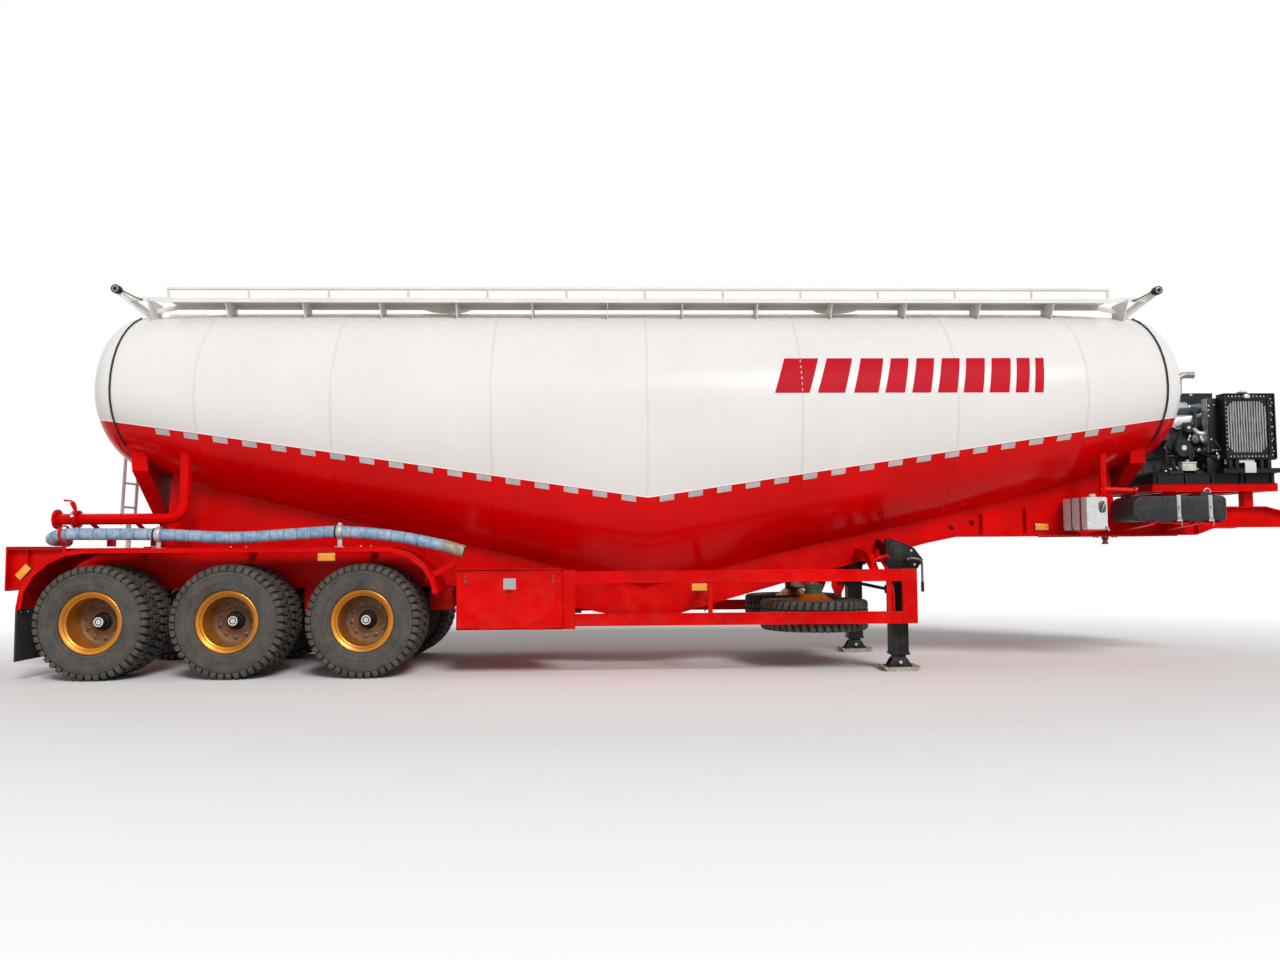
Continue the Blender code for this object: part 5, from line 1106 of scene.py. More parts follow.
# skid gussets, feet and the blank plate under the radiator
def makeSkid():
    bm = bmesh.new()
    for x in (5.50, 5.80, 6.09, 6.40, 6.46, 6.74):
        addPrism(bm, [(-0.602, 1.905), (-0.628, 1.905), (-0.612, 2.008), (-0.602, 2.008)], "X", x - 0.006,
                 x + 0.006)
    addBox(bm, (5.44, 6.79), (-0.632, -0.50), (1.902, 1.910), 0.002)
    addBox(bm, (5.44, 6.79), (-0.618, -0.50), (2.010, 2.018), 0.002)
    for x in (5.60, 6.25, 6.62):
        addRod(bm, (x, -0.58, 2.018), (x, -0.58, 2.040), 0.028, 0, 20, 0.004)
        addBolt(bm, (x, -0.58, 2.040), (0, 0, 1), 0.012, 1)
    addBox(bm, (6.313, 6.480), (-0.738, -0.728), (2.118, 2.150), 0.003, 2)
    addBox(bm, (6.375, 6.495), (-0.742, -0.728), (2.012, 2.122), 0.003, 2)
    for x, z in ((6.325, 2.134), (6.465, 2.138), (6.405, 2.158)):
        addBolt(bm, (x, -0.738, z), (0, -1, 0), 0.005, 1)
    for x in (6.22, 6.29, 6.56, 6.64):
        addBox(bm, (x - 0.02, x + 0.02), (-0.74, -0.70), (2.05, 2.17), 0.004, 0)
    addBox(bm, (6.05, 6.73), (-0.60, -0.585), (2.016, 2.185), 0.003, 0)   # closing sheet behind the posts
    addBox(bm, (6.19, 6.72), (-0.735, -0.60), (2.150, 2.166), 0.003, 0)
    for x in (6.25, 6.52, 6.68):
        addRod(bm, (x, -0.655, 2.062), (x, -0.655, 2.150), 0.032, 0, 24, 0.003)
    closePiece(bm, "skid_fittings", [black, silver, plateWhite], slot="black_paint")


# exhaust pipe with its flange, on the far side
def makeExhaust():
    bm = bmesh.new()
    route = ((6.14, 0.30, 2.60), (6.30, 0.35, 2.62), (6.34, 0.40, 2.72), (6.34, 0.40, 2.95),
             (6.34, 0.40, 3.16), (6.36, 0.40, 3.225), (6.42, 0.40, 3.247), (6.52, 0.40, 3.250))
    addTube(bm, smoothRoute(route, 6), 0.0375, 0, 24)
    addLathe(bm, [(0.034, 0.0), (0.0405, 0.0), (0.0405, 0.010), (0.034, 0.010)],
             axisFrame((6.515, 0.40, 3.25), (7, 0.40, 3.25)), 24, closed=True)
    for z in (2.78, 3.02):
        addRing(bm, (6.34, 0.40, z), (0, 0, 1), 0.040, 0.005, 1)
    addLathe(bm, [(0, -0.001), (0.060, -0.001), (0.060, 0.014), (0, 0.014)],
             axisFrame((6.34, 0.40, 2.70), (6.34, 0.40, 3)), 6)
    closePiece(bm, "exhaust_pipe", [exhaustMetal, silver], slot="cast_iron")


# charge compressor's ribs, end cover and bolts
def makeCompressor():
    bm = bmesh.new()
    for i in range(9):
        y = 0.53 + 0.05 * i
        addRing(bm, (5.99, y, 2.36), (0, 1, 0), 0.192, 0.006, 0, 40, 8)
    place = axisFrame((5.99, 0.975, 2.36), (5.99, 2, 2.36))
    addLathe(bm, [(0, 0), (0.175, 0.0), (0.175, 0.012), (0.12, 0.024), (0.060, 0.026), (0.055, 0.040),
                  (0, 0.042)], place, 40)
    for a, b in aroundCircle(8, 0.155, 22.5):
        addBolt(bm, (5.99 + a, 0.987, 2.36 + b), (0, 1, 0), 0.011, 1)
    addRod(bm, (5.99, 0.74, 2.655), (5.99, 0.74, 2.675), 0.072, 0, 30, 0.004)
    for a, b in aroundCircle(6, 0.055):
        addBolt(bm, (5.99 + a, 0.74 + b, 2.675), (0, 0, 1), 0.008, 1)
    closePiece(bm, "compressor_fittings", [iron, silver], slot="cast_iron")


finMetal = metalMaterial("finMetal", (0.33, 0.32, 0.32), 0.42)
dullAlloy = metalMaterial("dullAlloy", (0.40, 0.405, 0.415), 0.42)
darkAlloy = metalMaterial("darkAlloy", (0.13, 0.13, 0.135), 0.45)
copper = metalMaterial("copperFitting", (0.55, 0.27, 0.16), 0.35)
exhaustMetal = metalMaterial("exhaustMetal", (0.30, 0.27, 0.24), 0.45)
couplingBlue = castMaterial("couplingBlue", (0.10, 0.17, 0.23), 0.5, 0.2)
filterWhite = castMaterial("filterWhite", (0.62, 0.58, 0.52), 0.5, 0.15)
plateWhite = paintMaterial("plateWhite", (0.62, 0.61, 0.60), 0.9, 0.35, 0.1)
hoseRubber = rubberMaterial("hoseRubber", (0.014, 0.014, 0.015), (0.05, 0.047, 0.044), 0.4, 0.55)
makeRadiatorCore()
makeRadiatorFrame()
makeRadiatorCap()
makeEngineFront()
makeAlternator()
makeIntake()
makeEngineHoses()
makeSkid()
makeExhaust()
makeCompressor()
print("blower set made")


# Side tanks on the gooseneck: moulded fuel tank with straps, pale water box
def roundedOutline(corners, steps=7):
    # corners are (across, up, radius), counter-clockwise
    points = []
    for k, (a, b, radius) in enumerate(corners):
        here = Vector((a, b))
        into = (Vector(corners[k - 1][:2]) - here).normalized()
        out = (Vector(corners[(k + 1) % len(corners)][:2]) - here).normalized()
        half = math.acos(max(-1.0, min(1.0, into.dot(out)))) / 2
        reach = radius / math.tan(half)
        start, end = here + into * reach, here + out * reach
        centre = here + (into + out).normalized() * (radius / math.sin(half))
        a0 = math.atan2(start.y - centre.y, start.x - centre.x)
        a1 = math.atan2(end.y - centre.y, end.x - centre.x)
        turn = (a1 - a0 + math.pi) % (2 * math.pi) - math.pi
        points += [(centre.x + radius * math.cos(a0 + turn * i / steps),
                    centre.y + radius * math.sin(a0 + turn * i / steps))
                   for i in range(steps + 1)]
    return points


def fourCorners(xs, zs, radius):
    return [(x, z, radius) for x, z in ((xs[0], zs[0]), (xs[1], zs[0]), (xs[1], zs[1]), (xs[0], zs[1]))]


def addMoulding(bm, corners, y0, y1, edge, index=0, steps=5):
    # block with a rounded outline in the upright plane and rounded rims, from layered rings
    outline = roundedOutline(corners)
    middle = Vector((sum(p[0] for p in outline) / len(outline), sum(p[1] for p in outline) / len(outline)))
    low, high = min(y0, y1), max(y0, y1)
    layers = []
    for i in range(steps + 1):
        turn = math.pi / 2 * i / steps
        layers.append((low + edge * (1 - math.sin(turn)), edge * (1 - math.cos(turn))))
    layers = layers[::-1] + [(low + high - y, inset) for y, inset in layers]
    rings = []
    for y, inset in layers:
        ring = []
        for a, b in outline:
            away = Vector((a, b)) - middle
            ring.append(bm.verts.new((a - inset * away.x / away.length, y, b - inset * away.y / away.length)))
        rings.append(ring)
    count = len(outline)
    for a, b in zip(rings, rings[1:]):
        for i in range(count):
            j = (i + 1) % count
            bm.faces.new((a[i], a[j], b[j], b[i])).material_index = index
    bm.faces.new(rings[0][::-1]).material_index = index
    bm.faces.new(rings[-1]).material_index = index


def makeFuelTank():
    bm = bmesh.new()
    body = ((4.950, 1.490, 0.075), (5.930, 1.490, 0.045), (5.930, 1.752, 0.050), (5.02, 1.752, 0.060),
            (4.950, 1.69, 0.045))
    addMoulding(bm, body, -1.12, -0.62, 0.030)
    addMoulding(bm, fourCorners((5.255, 5.263), (1.4885, 1.7535), 0.002), -1.1225, -0.618, 0.0015)
    for xs in ((5.29, 5.385), (5.46, 5.71), (5.79, 5.885)):
        addMoulding(bm, fourCorners(xs, (1.525, 1.72), 0.03), -1.1235, -1.10, 0.003)
    addMoulding(bm, fourCorners((4.985, 5.115), (1.598, 1.636), 0.016), -1.1225, -1.10, 0.001, 3)
    addRod(bm, (5.10, -0.78, 1.745), (5.10, -0.78, 1.785), 0.045, 0, 28, 0.006)
    for x in (5.42, 5.75):
        addMoulding(bm, fourCorners((x - 0.021, x + 0.021), (1.486, 1.758), 0.003), -1.1265, -0.612, 0.004,
                    1, 2)
        addBox(bm, (x - 0.030, x + 0.030), (-1.138, -1.122), (1.490, 1.506), 0.003, 1)
        addBox(bm, (x - 0.012, x + 0.012), (-1.134, -1.122), (1.500, 1.560), 0.003, 1)
        addRod(bm, (x, -1.1265, 1.635), (x, -1.129, 1.635), 0.008, 3, 16)
        addRod(bm, (x + 0.020, -1.131, 1.44), (x + 0.020, -1.131, 1.53), 0.005, 1, 10)
        # folded red shelf under each strap
        addPrism(bm, [(x - 0.07, 1.489), (x + 0.115, 1.489), (x + 0.115, 1.474), (x + 0.08, 1.455),
                      (x - 0.07, 1.462)], "Y",
                 -1.128, -1.118, 2, 0.002)
        addBox(bm, (x - 0.07, x + 0.115), (-1.128, -0.46), (1.478, 1.489), 0.002, 2)
    for x in (5.16, 5.62):
        addPrism(bm, [(-0.4578, 1.402), (-1.10, 1.462), (-1.10, 1.4885), (-0.4578, 1.4885)], "X", x - 0.030,
                 x + 0.030, 2, 0.003)
        addBox(bm, (x - 0.045, x + 0.045), (-0.466, -0.4578), (1.395, 1.49), 0.002, 2)
    # lifting eye on a black bracket above the tank
    addPrism(bm, [(5.70, 1.752), (5.85, 1.752), (5.82, 1.790), (5.76, 1.800), (5.72, 1.775)], "Y", -1.012,
             -0.990, 0, 0.004)
    addRing(bm, (5.793, -1.001, 1.800), (0, 1, 0), 0.032, 0.0085, 1, 32, 10)
    closePiece(bm, "fuel_tank_moulded", [plastic, dullAlloy, red, hoseRubber], slot="black_plastic",
               replaced=("fuel_tank",))


def makeWaterBox():
    bm = bmesh.new()
    addMoulding(bm, ((4.500, 1.412, 0.020), (4.720, 1.412, 0.020), (4.720, 1.748, 0.022),
                     (4.500, 1.748, 0.022)),
                -1.05, -0.50, 0.014)
    for i in range(9):   # shallow ribs down the rear face
        y = -1.01 + 0.058 * i
        addBox(bm, (4.4965, 4.505), (y - 0.010, y + 0.010), (1.435, 1.725), 0.002, 0)
    for y in (-0.915, -0.715):
        addMoulding(bm, fourCorners((4.4935, 4.7265), (1.4075, 1.7525), 0.008), y - 0.013, y + 0.013, 0.002,
                    1, 2)
        addBox(bm, (4.4915, 4.496), (y - 0.005, y + 0.005), (1.41, 1.75), 0.001, 2)
    addRod(bm, (4.61, -0.95, 1.745), (4.61, -0.95, 1.782), 0.031, 0, 28, 0.006)
    addRing(bm, (4.61, -0.95, 1.764), (0, 0, 1), 0.0315, 0.003, 0, 28, 6)
    # dark grey panel behind the tap, standing for its recess: painted shade
    addMoulding(bm, fourCorners((4.625, 4.700), (1.585, 1.705), 0.030), -1.0515, -1.04, 0.001, 3, 3)
    addTube(bm, smoothRoute(((4.655, -1.045, 1.61), (4.655, -1.066, 1.62), (4.665, -1.072, 1.655),
                             (4.685, -1.066, 1.685), (4.690, -1.048, 1.69)), 5), 0.007, 4, 12)
    addRod(bm, (4.650, -1.050, 1.690), (4.650, -1.056, 1.690), 0.008, 5, 16)
    addRod(bm, (4.700, -1.045, 1.440), (4.700, -1.075, 1.432), 0.012, 4, 16, 0.002)
    addRod(bm, (4.700, -1.070, 1.432), (4.714, -1.078, 1.400), 0.008, 4, 14, 0.002)
    addBox(bm, (4.52, 4.70), (-1.04, -0.4578), (1.400, 1.412), 0.002, 2)
    addBox(bm, (4.53, 4.69), (-0.52, -0.4578), (1.412, 1.46), 0.003, 2)
    closePiece(bm, "water_box_moulded", [greyPlastic, hoseRubber, red, recessShadeGrey, dullAlloy, amber],
               slot="grey_plastic", replaced=("water_box",))


# Spare wheels in their winch carrier
spareLook = {"station": 1.76, "y": 0.60, "z": 0.55, "beam": (0.80, 0.87), "handHoles": 8}


def makeSpares():
    tread = treadMesh()
    x, z = spareLook["station"], spareLook["z"]
    carrier = bmesh.new()
    addBox(carrier, (x - 0.05, x + 0.05), (-0.66, 0.66), spareLook["beam"], 0.004, 0)
    for side, name in sides:
        y = side * spareLook["y"]
        place = Matrix.Translation((x, y, z))
        tyre = bmesh.new()
        addLathe(tyre, tyreProfile(), place, wheelLook["steps"], closed=True)
        addMesh(tyre, tread, place @ Matrix.Rotation(0.3 * side, 4, "Z"))
        closePiece(tyre, f"spare_tyre_{name}_treaded", [tyreRubber, shadedTreadGround], slot="tyre_rubber",
                   replaced=(f"spare_tyre_{name}",), smooth=32)
        rim = [(0.0, 0.214, 1), (0.106, 0.214, 1), (0.120, 0.207, 1), (0.150, 0.178, 1), (0.190, 0.152, 1),
               (0.216, 0.132, 1), (0.2435, 0.106, 1), (0.252, 0.110, 1), (0.262, 0.114, 1),
               (0.270, 0.121, 1), (0.286, 0.125, 1), (0.299, 0.1272, 1), (0.3035, 0.125, 1),
               (0.3035, 0.119, 1), (0.285, 0.113, 1), (0.2545, 0.099, 1), (0.2540, -0.099, 1),
               (0.285, -0.113, 1), (0.3035, -0.119, 1), (0.3035, -0.125, 1), (0.299, -0.1272, 1),
               (0.262, -0.114, 1), (0.2435, -0.104, 1), (0.2425, 0.040, 1), (0.205, 0.045, 1),
               (0.0, 0.045, 1)]
        addLathe(carrier, rim, place, 72)
        # dark studs, and dark discs for the hand holes as painted shade of the openings, just above the disc
        for a, b in aroundCircle(10, 0.168):
            at = place @ Vector((a, b, 0.150))
            addRod(carrier, at, at + Vector((0, 0, 0.021)), 0.0105, 3, 18, 0.001)
        for a, b in aroundCircle(spareLook["handHoles"], 0.212, 18):
            at = place @ Vector((a, b, 0.120))
            addRod(carrier, at, at + Vector((0, 0, 0.020)), 0.0110, 3, 18, 0.001)
        drum = [(0, 0.140, 2), (0.100, 0.140, 2), (0.100, 0.153, 2), (0.091, 0.157, 2), (0.091, 0.203, 2),
                (0.095, 0.206, 2), (0.095, 0.215, 2), (0.091, 0.218, 2), (0.091, 0.236, 2), (0.097, 0.240, 2),
                (0.097, 0.2475, 2), (0, 0.2475, 2)]
        addLathe(carrier, drum[::-1], Matrix.Translation((x, y, z + 0.067)), 36)
        addRod(carrier, (x, y, 0.868), (x, y, 0.892), 0.024, 3, 6)
        for step in (-1, 1):
            addBolt(carrier, (x + step * 0.03, y + 0.035 * side, 0.87), (0, 0, 1), 0.011, 3)
        hang = side * 0.45
        addPrism(carrier, [(x - 0.045, 0.865), (x + 0.045, 0.865), (x + 0.045, 0.963), (x - 0.045, 0.940)],
                 "Y", hang - 0.04, hang + 0.04, 0, 0.003)
        addBolt(carrier, (x, hang - side * -0.0405, 0.905), (0, side, 0), 0.010, 3)
    closePiece(carrier, "spare_winch", [red, gold, green, darkSteel], slot="rim_gold",
               replaced=("spare_carrier",))


# Landing legs: bolts, covers, collars and dusty feet
def makeLegs():
    for side, name in sides:
        x, y = 2.555, side * 0.93
        face = y + side * 0.155
        bm = bmesh.new()
        cover = [(x - 0.115, 1.055), (x + 0.155, 1.055), (x + 0.200, 1.120), (x + 0.125, 1.220),
                 (x - 0.025, 1.288), (x - 0.115, 1.305)]
        addPrism(bm, cover, "Y", face - side * 0.002, face + side * 0.010, 0, 0.003)
        ridge = [(x - 0.085, 1.095), (x + 0.120, 1.095), (x + 0.145, 1.130), (x + 0.095, 1.190),
                 (x - 0.035, 1.240), (x - 0.085, 1.250)]
        addPrism(bm, ridge, "Y", face + side * 0.008, face + side * 0.022, 0, 0.006)
        for bx, bz in ((x - 0.10, 1.075), (x + 0.03, 1.070), (x + 0.14, 1.072), (x + 0.182, 1.125),
                       (x + 0.108, 1.212), (x - 0.03, 1.270), (x - 0.102, 1.285)):
            addBolt(bm, (bx, face + side * 0.010, bz), (0, side, 0), 0.007, 1 if bx > x + 0.1 else 0)
        addRod(bm, (x + 0.055, face + side * 0.020, 1.13), (x + 0.055, face + side * 0.040, 1.13), 0.034, 0,
               28, 0.005)
        addRod(bm, (x + 0.055, face + side * 0.040, 1.13), (x + 0.055, face + side * 0.056, 1.13), 0.014, 1,
               20, 0.002)
        # mounting plates with bolts, weld seams and the collar where the inner tube comes out
        for step in (-1, 1):
            addBox(bm, (x + step * 0.087, x + step * 0.094), (y - 0.083, y + 0.083), (0.93, 1.275), 0.003, 0)
            for bz in (0.97, 1.05, 1.13, 1.21):
                for by in (-0.055, 0.055):
                    addBolt(bm, (x + step * 0.094, y + by, bz), (step, 0, 0), 0.010, 1)
        for low, high, grow in ((0.158, 0.186, 0.008), (0.84, 0.862, 0.004)):
            for a0, a1, b0, b1 in ((-1, 1, -1, -0.9), (-1, 1, 0.9, 1), (-1, -0.9, -1, 1), (0.9, 1, -1, 1)):
                reach = 0.085 + grow
                addBox(bm, (x + a0 * reach, x + a1 * reach), (y + b0 * reach, y + b1 * reach), (low, high),
                       0.002, 0)
        addBox(bm, (x - 0.012, x + 0.012), (face - side * 0.072, face - side * 0.064), (0.19, 0.83), 0.002, 0)
        addRod(bm, (x - 0.062, y, 0.105), (x + 0.062, y, 0.105), 0.016, 1, 20, 0.003)
        for step in (-1, 1):
            addRod(bm, (x, y + step * 0.058, 0.085), (x, y + step * 0.090, 0.085), 0.018, 1, 20, 0.003)
        if side < 0:
            # folding crank held in its clip
            addRod(bm, (x + 0.055, face - 0.056, 1.13), (x + 0.055, face - 0.085, 1.13), 0.016, 2, 20, 0.002)
            grip = smoothRoute(((x + 0.055, face - 0.080, 1.13), (x + 0.10, face - 0.088, 1.135),
                                (x + 0.17, face - 0.090, 1.120), (x + 0.198, face - 0.062, 1.085),
                                (x + 0.200, face - 0.060, 0.96), (x + 0.200, face - 0.060, 0.83)), 6)
            addTube(bm, grip, 0.0115, 2, 14)
            addRod(bm, (x + 0.200, face - 0.060, 0.80), (x + 0.200, face - 0.060, 0.90), 0.0155, 0, 18, 0.003)
        closePiece(bm, f"leg_fittings_{name}", [black, silver, darkSteel], slot="black_paint")

        bm = bmesh.new()
        sole = [(x - 0.1812, 0.036), (x - 0.1512, 0.0004), (x + 0.1512, 0.0004), (x + 0.1812, 0.036),
                (x + 0.1812, 0.0512), (x + 0.1308, 0.0315), (x - 0.1308, 0.0315), (x - 0.1812, 0.0512)]
        addPrism(bm, sole, "Y", y - 0.1515, y + 0.1515, 0, 0.0)
        for rib in (-1, 1):
            addPrism(bm, [(x - 0.131, 0.030), (x + 0.131, 0.030), (x + 0.071, 0.127), (x - 0.071, 0.127)],
                     "Y", y + rib * 0.0610 - 0.0068, y + rib * 0.0610 + 0.0068, 1, 0.002)
        for step in (-1, 1):
            addBox(bm, (x - 0.128, x + 0.128), (y + step * 0.150, y + step * 0.132), (0.031, 0.043), 0.003, 0)
        closePiece(bm, f"leg_foot_{name}_dusty", [footDust, black], slot="black_paint")


# Side guards, toolboxes, mudguards, markers and lamps
def addMarker(bm, xs, y, zs, depth, lens, base):
    side = 1 if y > 0 else -1
    addBox(bm, (xs[0] - 0.004, xs[1] + 0.004), (y, y + side * depth * 0.4), (zs[0] - 0.004, zs[1] + 0.004),
           0.003, base)
    addBox(bm, xs, (y + side * depth * 0.3, y + side * depth), zs, 0.005, lens)
    for share in (0.08, 0.92):
        x = xs[0] + (xs[1] - xs[0]) * share
        addRod(bm, (x, y + side * depth, (zs[0] + zs[1]) / 2),
               (x, y + side * (depth + 0.002), (zs[0] + zs[1]) / 2), 0.005, base, 12)


def makeSides():
    for side, name in sides:
        bm = bmesh.new()
        outer = side * 1.215
        for low, high in ((0.91, 1.03), (0.49, 0.61)):
            for z0, z1 in ((low, low + 0.016), (high - 0.016, high)):
                addBox(bm, (-0.725, 2.528), (outer - side * 0.002, outer + side * 0.003), (z0, z1), 0.0018, 0)
        for x0, x1 in ((-0.846, -0.832), (-0.745, -0.731)):
            addBox(bm, (x0, x1), (outer - side * 0.002, outer + side * 0.003), (0.466, 1.038), 0.0018, 0)
        for x0, x1 in ((2.532, 2.546), (2.664, 2.678)):
            addBox(bm, (x0, x1), (outer - side * 0.002, outer + side * 0.003), (0.492, 1.032), 0.0018, 0)
        for x in (0.61, 2.40):
            for z in (0.635, 0.885):
                addBolt(bm, (x, outer - side * 0.006, z), (0, side, 0), 0.007, 0)
        for x in (-0.78, 2.61):
            for z in (0.55, 0.97):
                addBolt(bm, (x, outer, z), (0, side, 0), 0.007, 0)
        # marker hung beside the rear post, with its cable
        addMarker(bm, (0.425, 0.580), outer - side * 0.030, (0.830, 0.905), 0.020, 2, 3)
        addTube(bm, smoothRoute(((0.53, outer - side * 0.035, 0.83), (0.56, outer - side * 0.06, 0.76),
                                 (0.60, outer - side * 0.09, 0.68), (0.56, outer - side * 0.14, 0.62)), 6),
                                 0.006, 3, 10)
        # bent brace bar from the guard up to the leg's bracket
        addTube(bm, smoothRoute(((2.24, side * 1.165, 1.03), (2.26, side * 1.165, 1.11),
                                 (2.36, side * 1.15, 1.155), (2.42, side * 1.10, 1.15),
                                 (2.46, side * 1.04, 1.10)), 6), 0.017, 0, 14)
        addTube(bm, smoothRoute(((2.45, side * 1.17, 0.60), (2.45, side * 1.165, 0.75),
                                 (2.44, side * 1.15, 0.88), (2.42, side * 1.10, 1.00),
                                 (2.38, side * 1.00, 1.12)), 6), 0.015, 0, 14)
        # hanging lug beside the spare's carrier; its hole is a black disc of painted shade
        addPrism(bm, [(1.98, 0.83), (2.02, 0.74), (2.08, 0.74), (2.12, 0.83), (2.12, 1.02), (1.98, 0.98)],
                 "Y", side * 0.465, side * 0.477, 0, 0.002)
        addRod(bm, (2.05, side * 0.477, 0.785), (2.05, side * 0.479, 0.785), 0.018, 3, 20)
        closePiece(bm, f"guard_fittings_{name}", [red, silver, amber, hoseRubber], slot="red_paint")

        # toolbox door: hasps, hinge leaves, pressed rim; the right one carries a blank plate
        bm = bmesh.new()
        door = side * 1.2253
        for x0, x1, z0, z1 in ((-1.890, -0.860, 1.022, 1.034), (-1.890, -0.860, 0.478, 0.488),
                               (-1.892, -1.882, 0.478, 1.034), (-0.868, -0.858, 0.478, 1.034)):
            addBox(bm, (x0, x1), (door - side * 0.001, door + side * 0.0035), (z0, z1), 0.0015, 0)
        for x in (-1.805, -0.948):
            addPrism(bm, [(x - 0.020, 1.020), (x + 0.020, 1.020), (x + 0.016, 0.925), (x, 0.905),
                          (x - 0.016, 0.925)], "Y",
                     door, door + side * 0.012, 0, 0.003)
            addRing(bm, (x, door + side * 0.016, 0.935), (0, side, 0), 0.014, 0.0045, 1, 20, 8)
            addRod(bm, (x, door + side * 0.004, 0.985), (x, door + side * 0.014, 0.985), 0.008, 1, 14, 0.002)
        for x in (-1.6375, -1.1125):
            for z in (0.515, 0.538):
                addBox(bm, (x - 0.045, x + 0.045), (door - side * 0.001, door + side * 0.005),
                       (z - 0.005, z + 0.005), 0.002, 0)
        if side < 0:
            addBox(bm, (-1.435, -1.312), (door, door - 0.002), (0.858, 0.965), 0.0008, 2, 1)
            addBox(bm, (-1.400, -1.345), (door, door - 0.009), (0.828, 0.846), 0.003, 3)
        closePiece(bm, f"toolbox_door_fittings_{name}", [red, darkSteel, plateGrey, black],
                   body=f"door_{name}", slot="red_paint")

        # mudguard: rubber flap with its strip, rolled rim, stays, markers
        bm = bmesh.new()
        addPrism(bm, [(-6.1430, 0.197), (-6.1250, 0.197), (-6.1250, 0.700), (-6.1430, 0.700)], "Y",
                 side * 0.617, side * 1.232, 0, 0.002)
        addBox(bm, (-6.150, -6.143), (side * 0.63, side * 1.22), (0.650, 0.690), 0.002, 1)
        for i in range(5):
            addBolt(bm, (-6.150, side * (0.68 + 0.12 * i), 0.670), (-1, 0, 0), 0.008, 2)
            addBolt(bm, (-6.125, side * (0.68 + 0.12 * i), 0.670), (1, 0, 0), 0.008, 2)
        addMarker(bm, (-3.250, -3.080), side * 1.212, (1.150, 1.228), 0.018, 3, 4)
        closePiece(bm, f"mud_flap_{name}", [flapRubber, red, silver, amber, hoseRubber], slot="red_paint")

        bm = bmesh.new()
        rear = [(-5.433 - a, 1.283 - b) for a, b in ((0.087, 0.0), (0.267, 0.028), (0.437, 0.108),
                                                     (0.587, 0.238),
                                                    (0.677, 0.393), (0.707, 0.583))]
        front = [(-2.813 + a, 1.283 - b) for a, b in ((0.263, 0.0), (0.453, 0.058), (0.603, 0.173),
                                                      (0.693, 0.303),
                                                     (0.733, 0.453))]
        line = [Vector((a, side * 1.229, b - 0.004)) for a, b in rear[::-1] + front]
        addTube(bm, line, 0.0055, 0, 8)
        line = [Vector((a, side * 1.229, b - 0.042)) for a, b in rear[::-1] + front]
        addTube(bm, line, 0.0045, 0, 8)
        tilt = Matrix.Translation((-6.080, side * 1.215, 1.062)) @ Matrix.Rotation(math.radians(-48), 4, "Y")
        addBox(bm, (-0.075, 0.075), (side * 0.004, side * 0.020), (-0.036, 0.036), 0.005, 1, 2, tilt)
        addBox(bm, (-0.080, 0.080), (side * -0.006, side * 0.008), (-0.041, 0.041), 0.003, 2, 2, tilt)
        for x in (-5.25, -4.12, -2.85):
            addBox(bm, (x - 0.035, x + 0.035), (side * 0.66, side * 1.20), (1.284, 1.289), 0.002, 0)
            for y in (0.72, 1.14):
                addBolt(bm, (x, side * y, 1.289), (0, 0, 1), 0.009, 3)
        addPrism(bm, [(-2.22, 1.00), (-2.22, 0.93), (-1.915, 1.10), (-1.915, 1.15)], "Y", side * 1.10,
                 side * 1.114, 0, 0.002)
        closePiece(bm, f"mudguard_rim_{name}", [red, amber, black, silver], slot="red_paint")


footDust = castMaterial("dustyFoot", (0.46, 0.40, 0.33), 0.80, 0.35)
# dark grey that stands for the shade in the water box's tap recess: painted shade
recessShadeGrey = castMaterial("recessPaintedShade", (0.10, 0.10, 0.105), 0.5, 0.3)
plateGrey = paintMaterial("plateGrey", (0.42, 0.42, 0.42), 0.8, 0.4, 0.15)
makeFuelTank()
makeWaterBox()
makeSpares()
makeLegs()
makeSides()
print("sides made")


# Roof: walkway tread, end lamps, manhole clamps and handles
walkwayLook = {"cleats": 190, "step": 0.0523, "rows": (0.455, 0.530, 0.605), "top": 3.880}


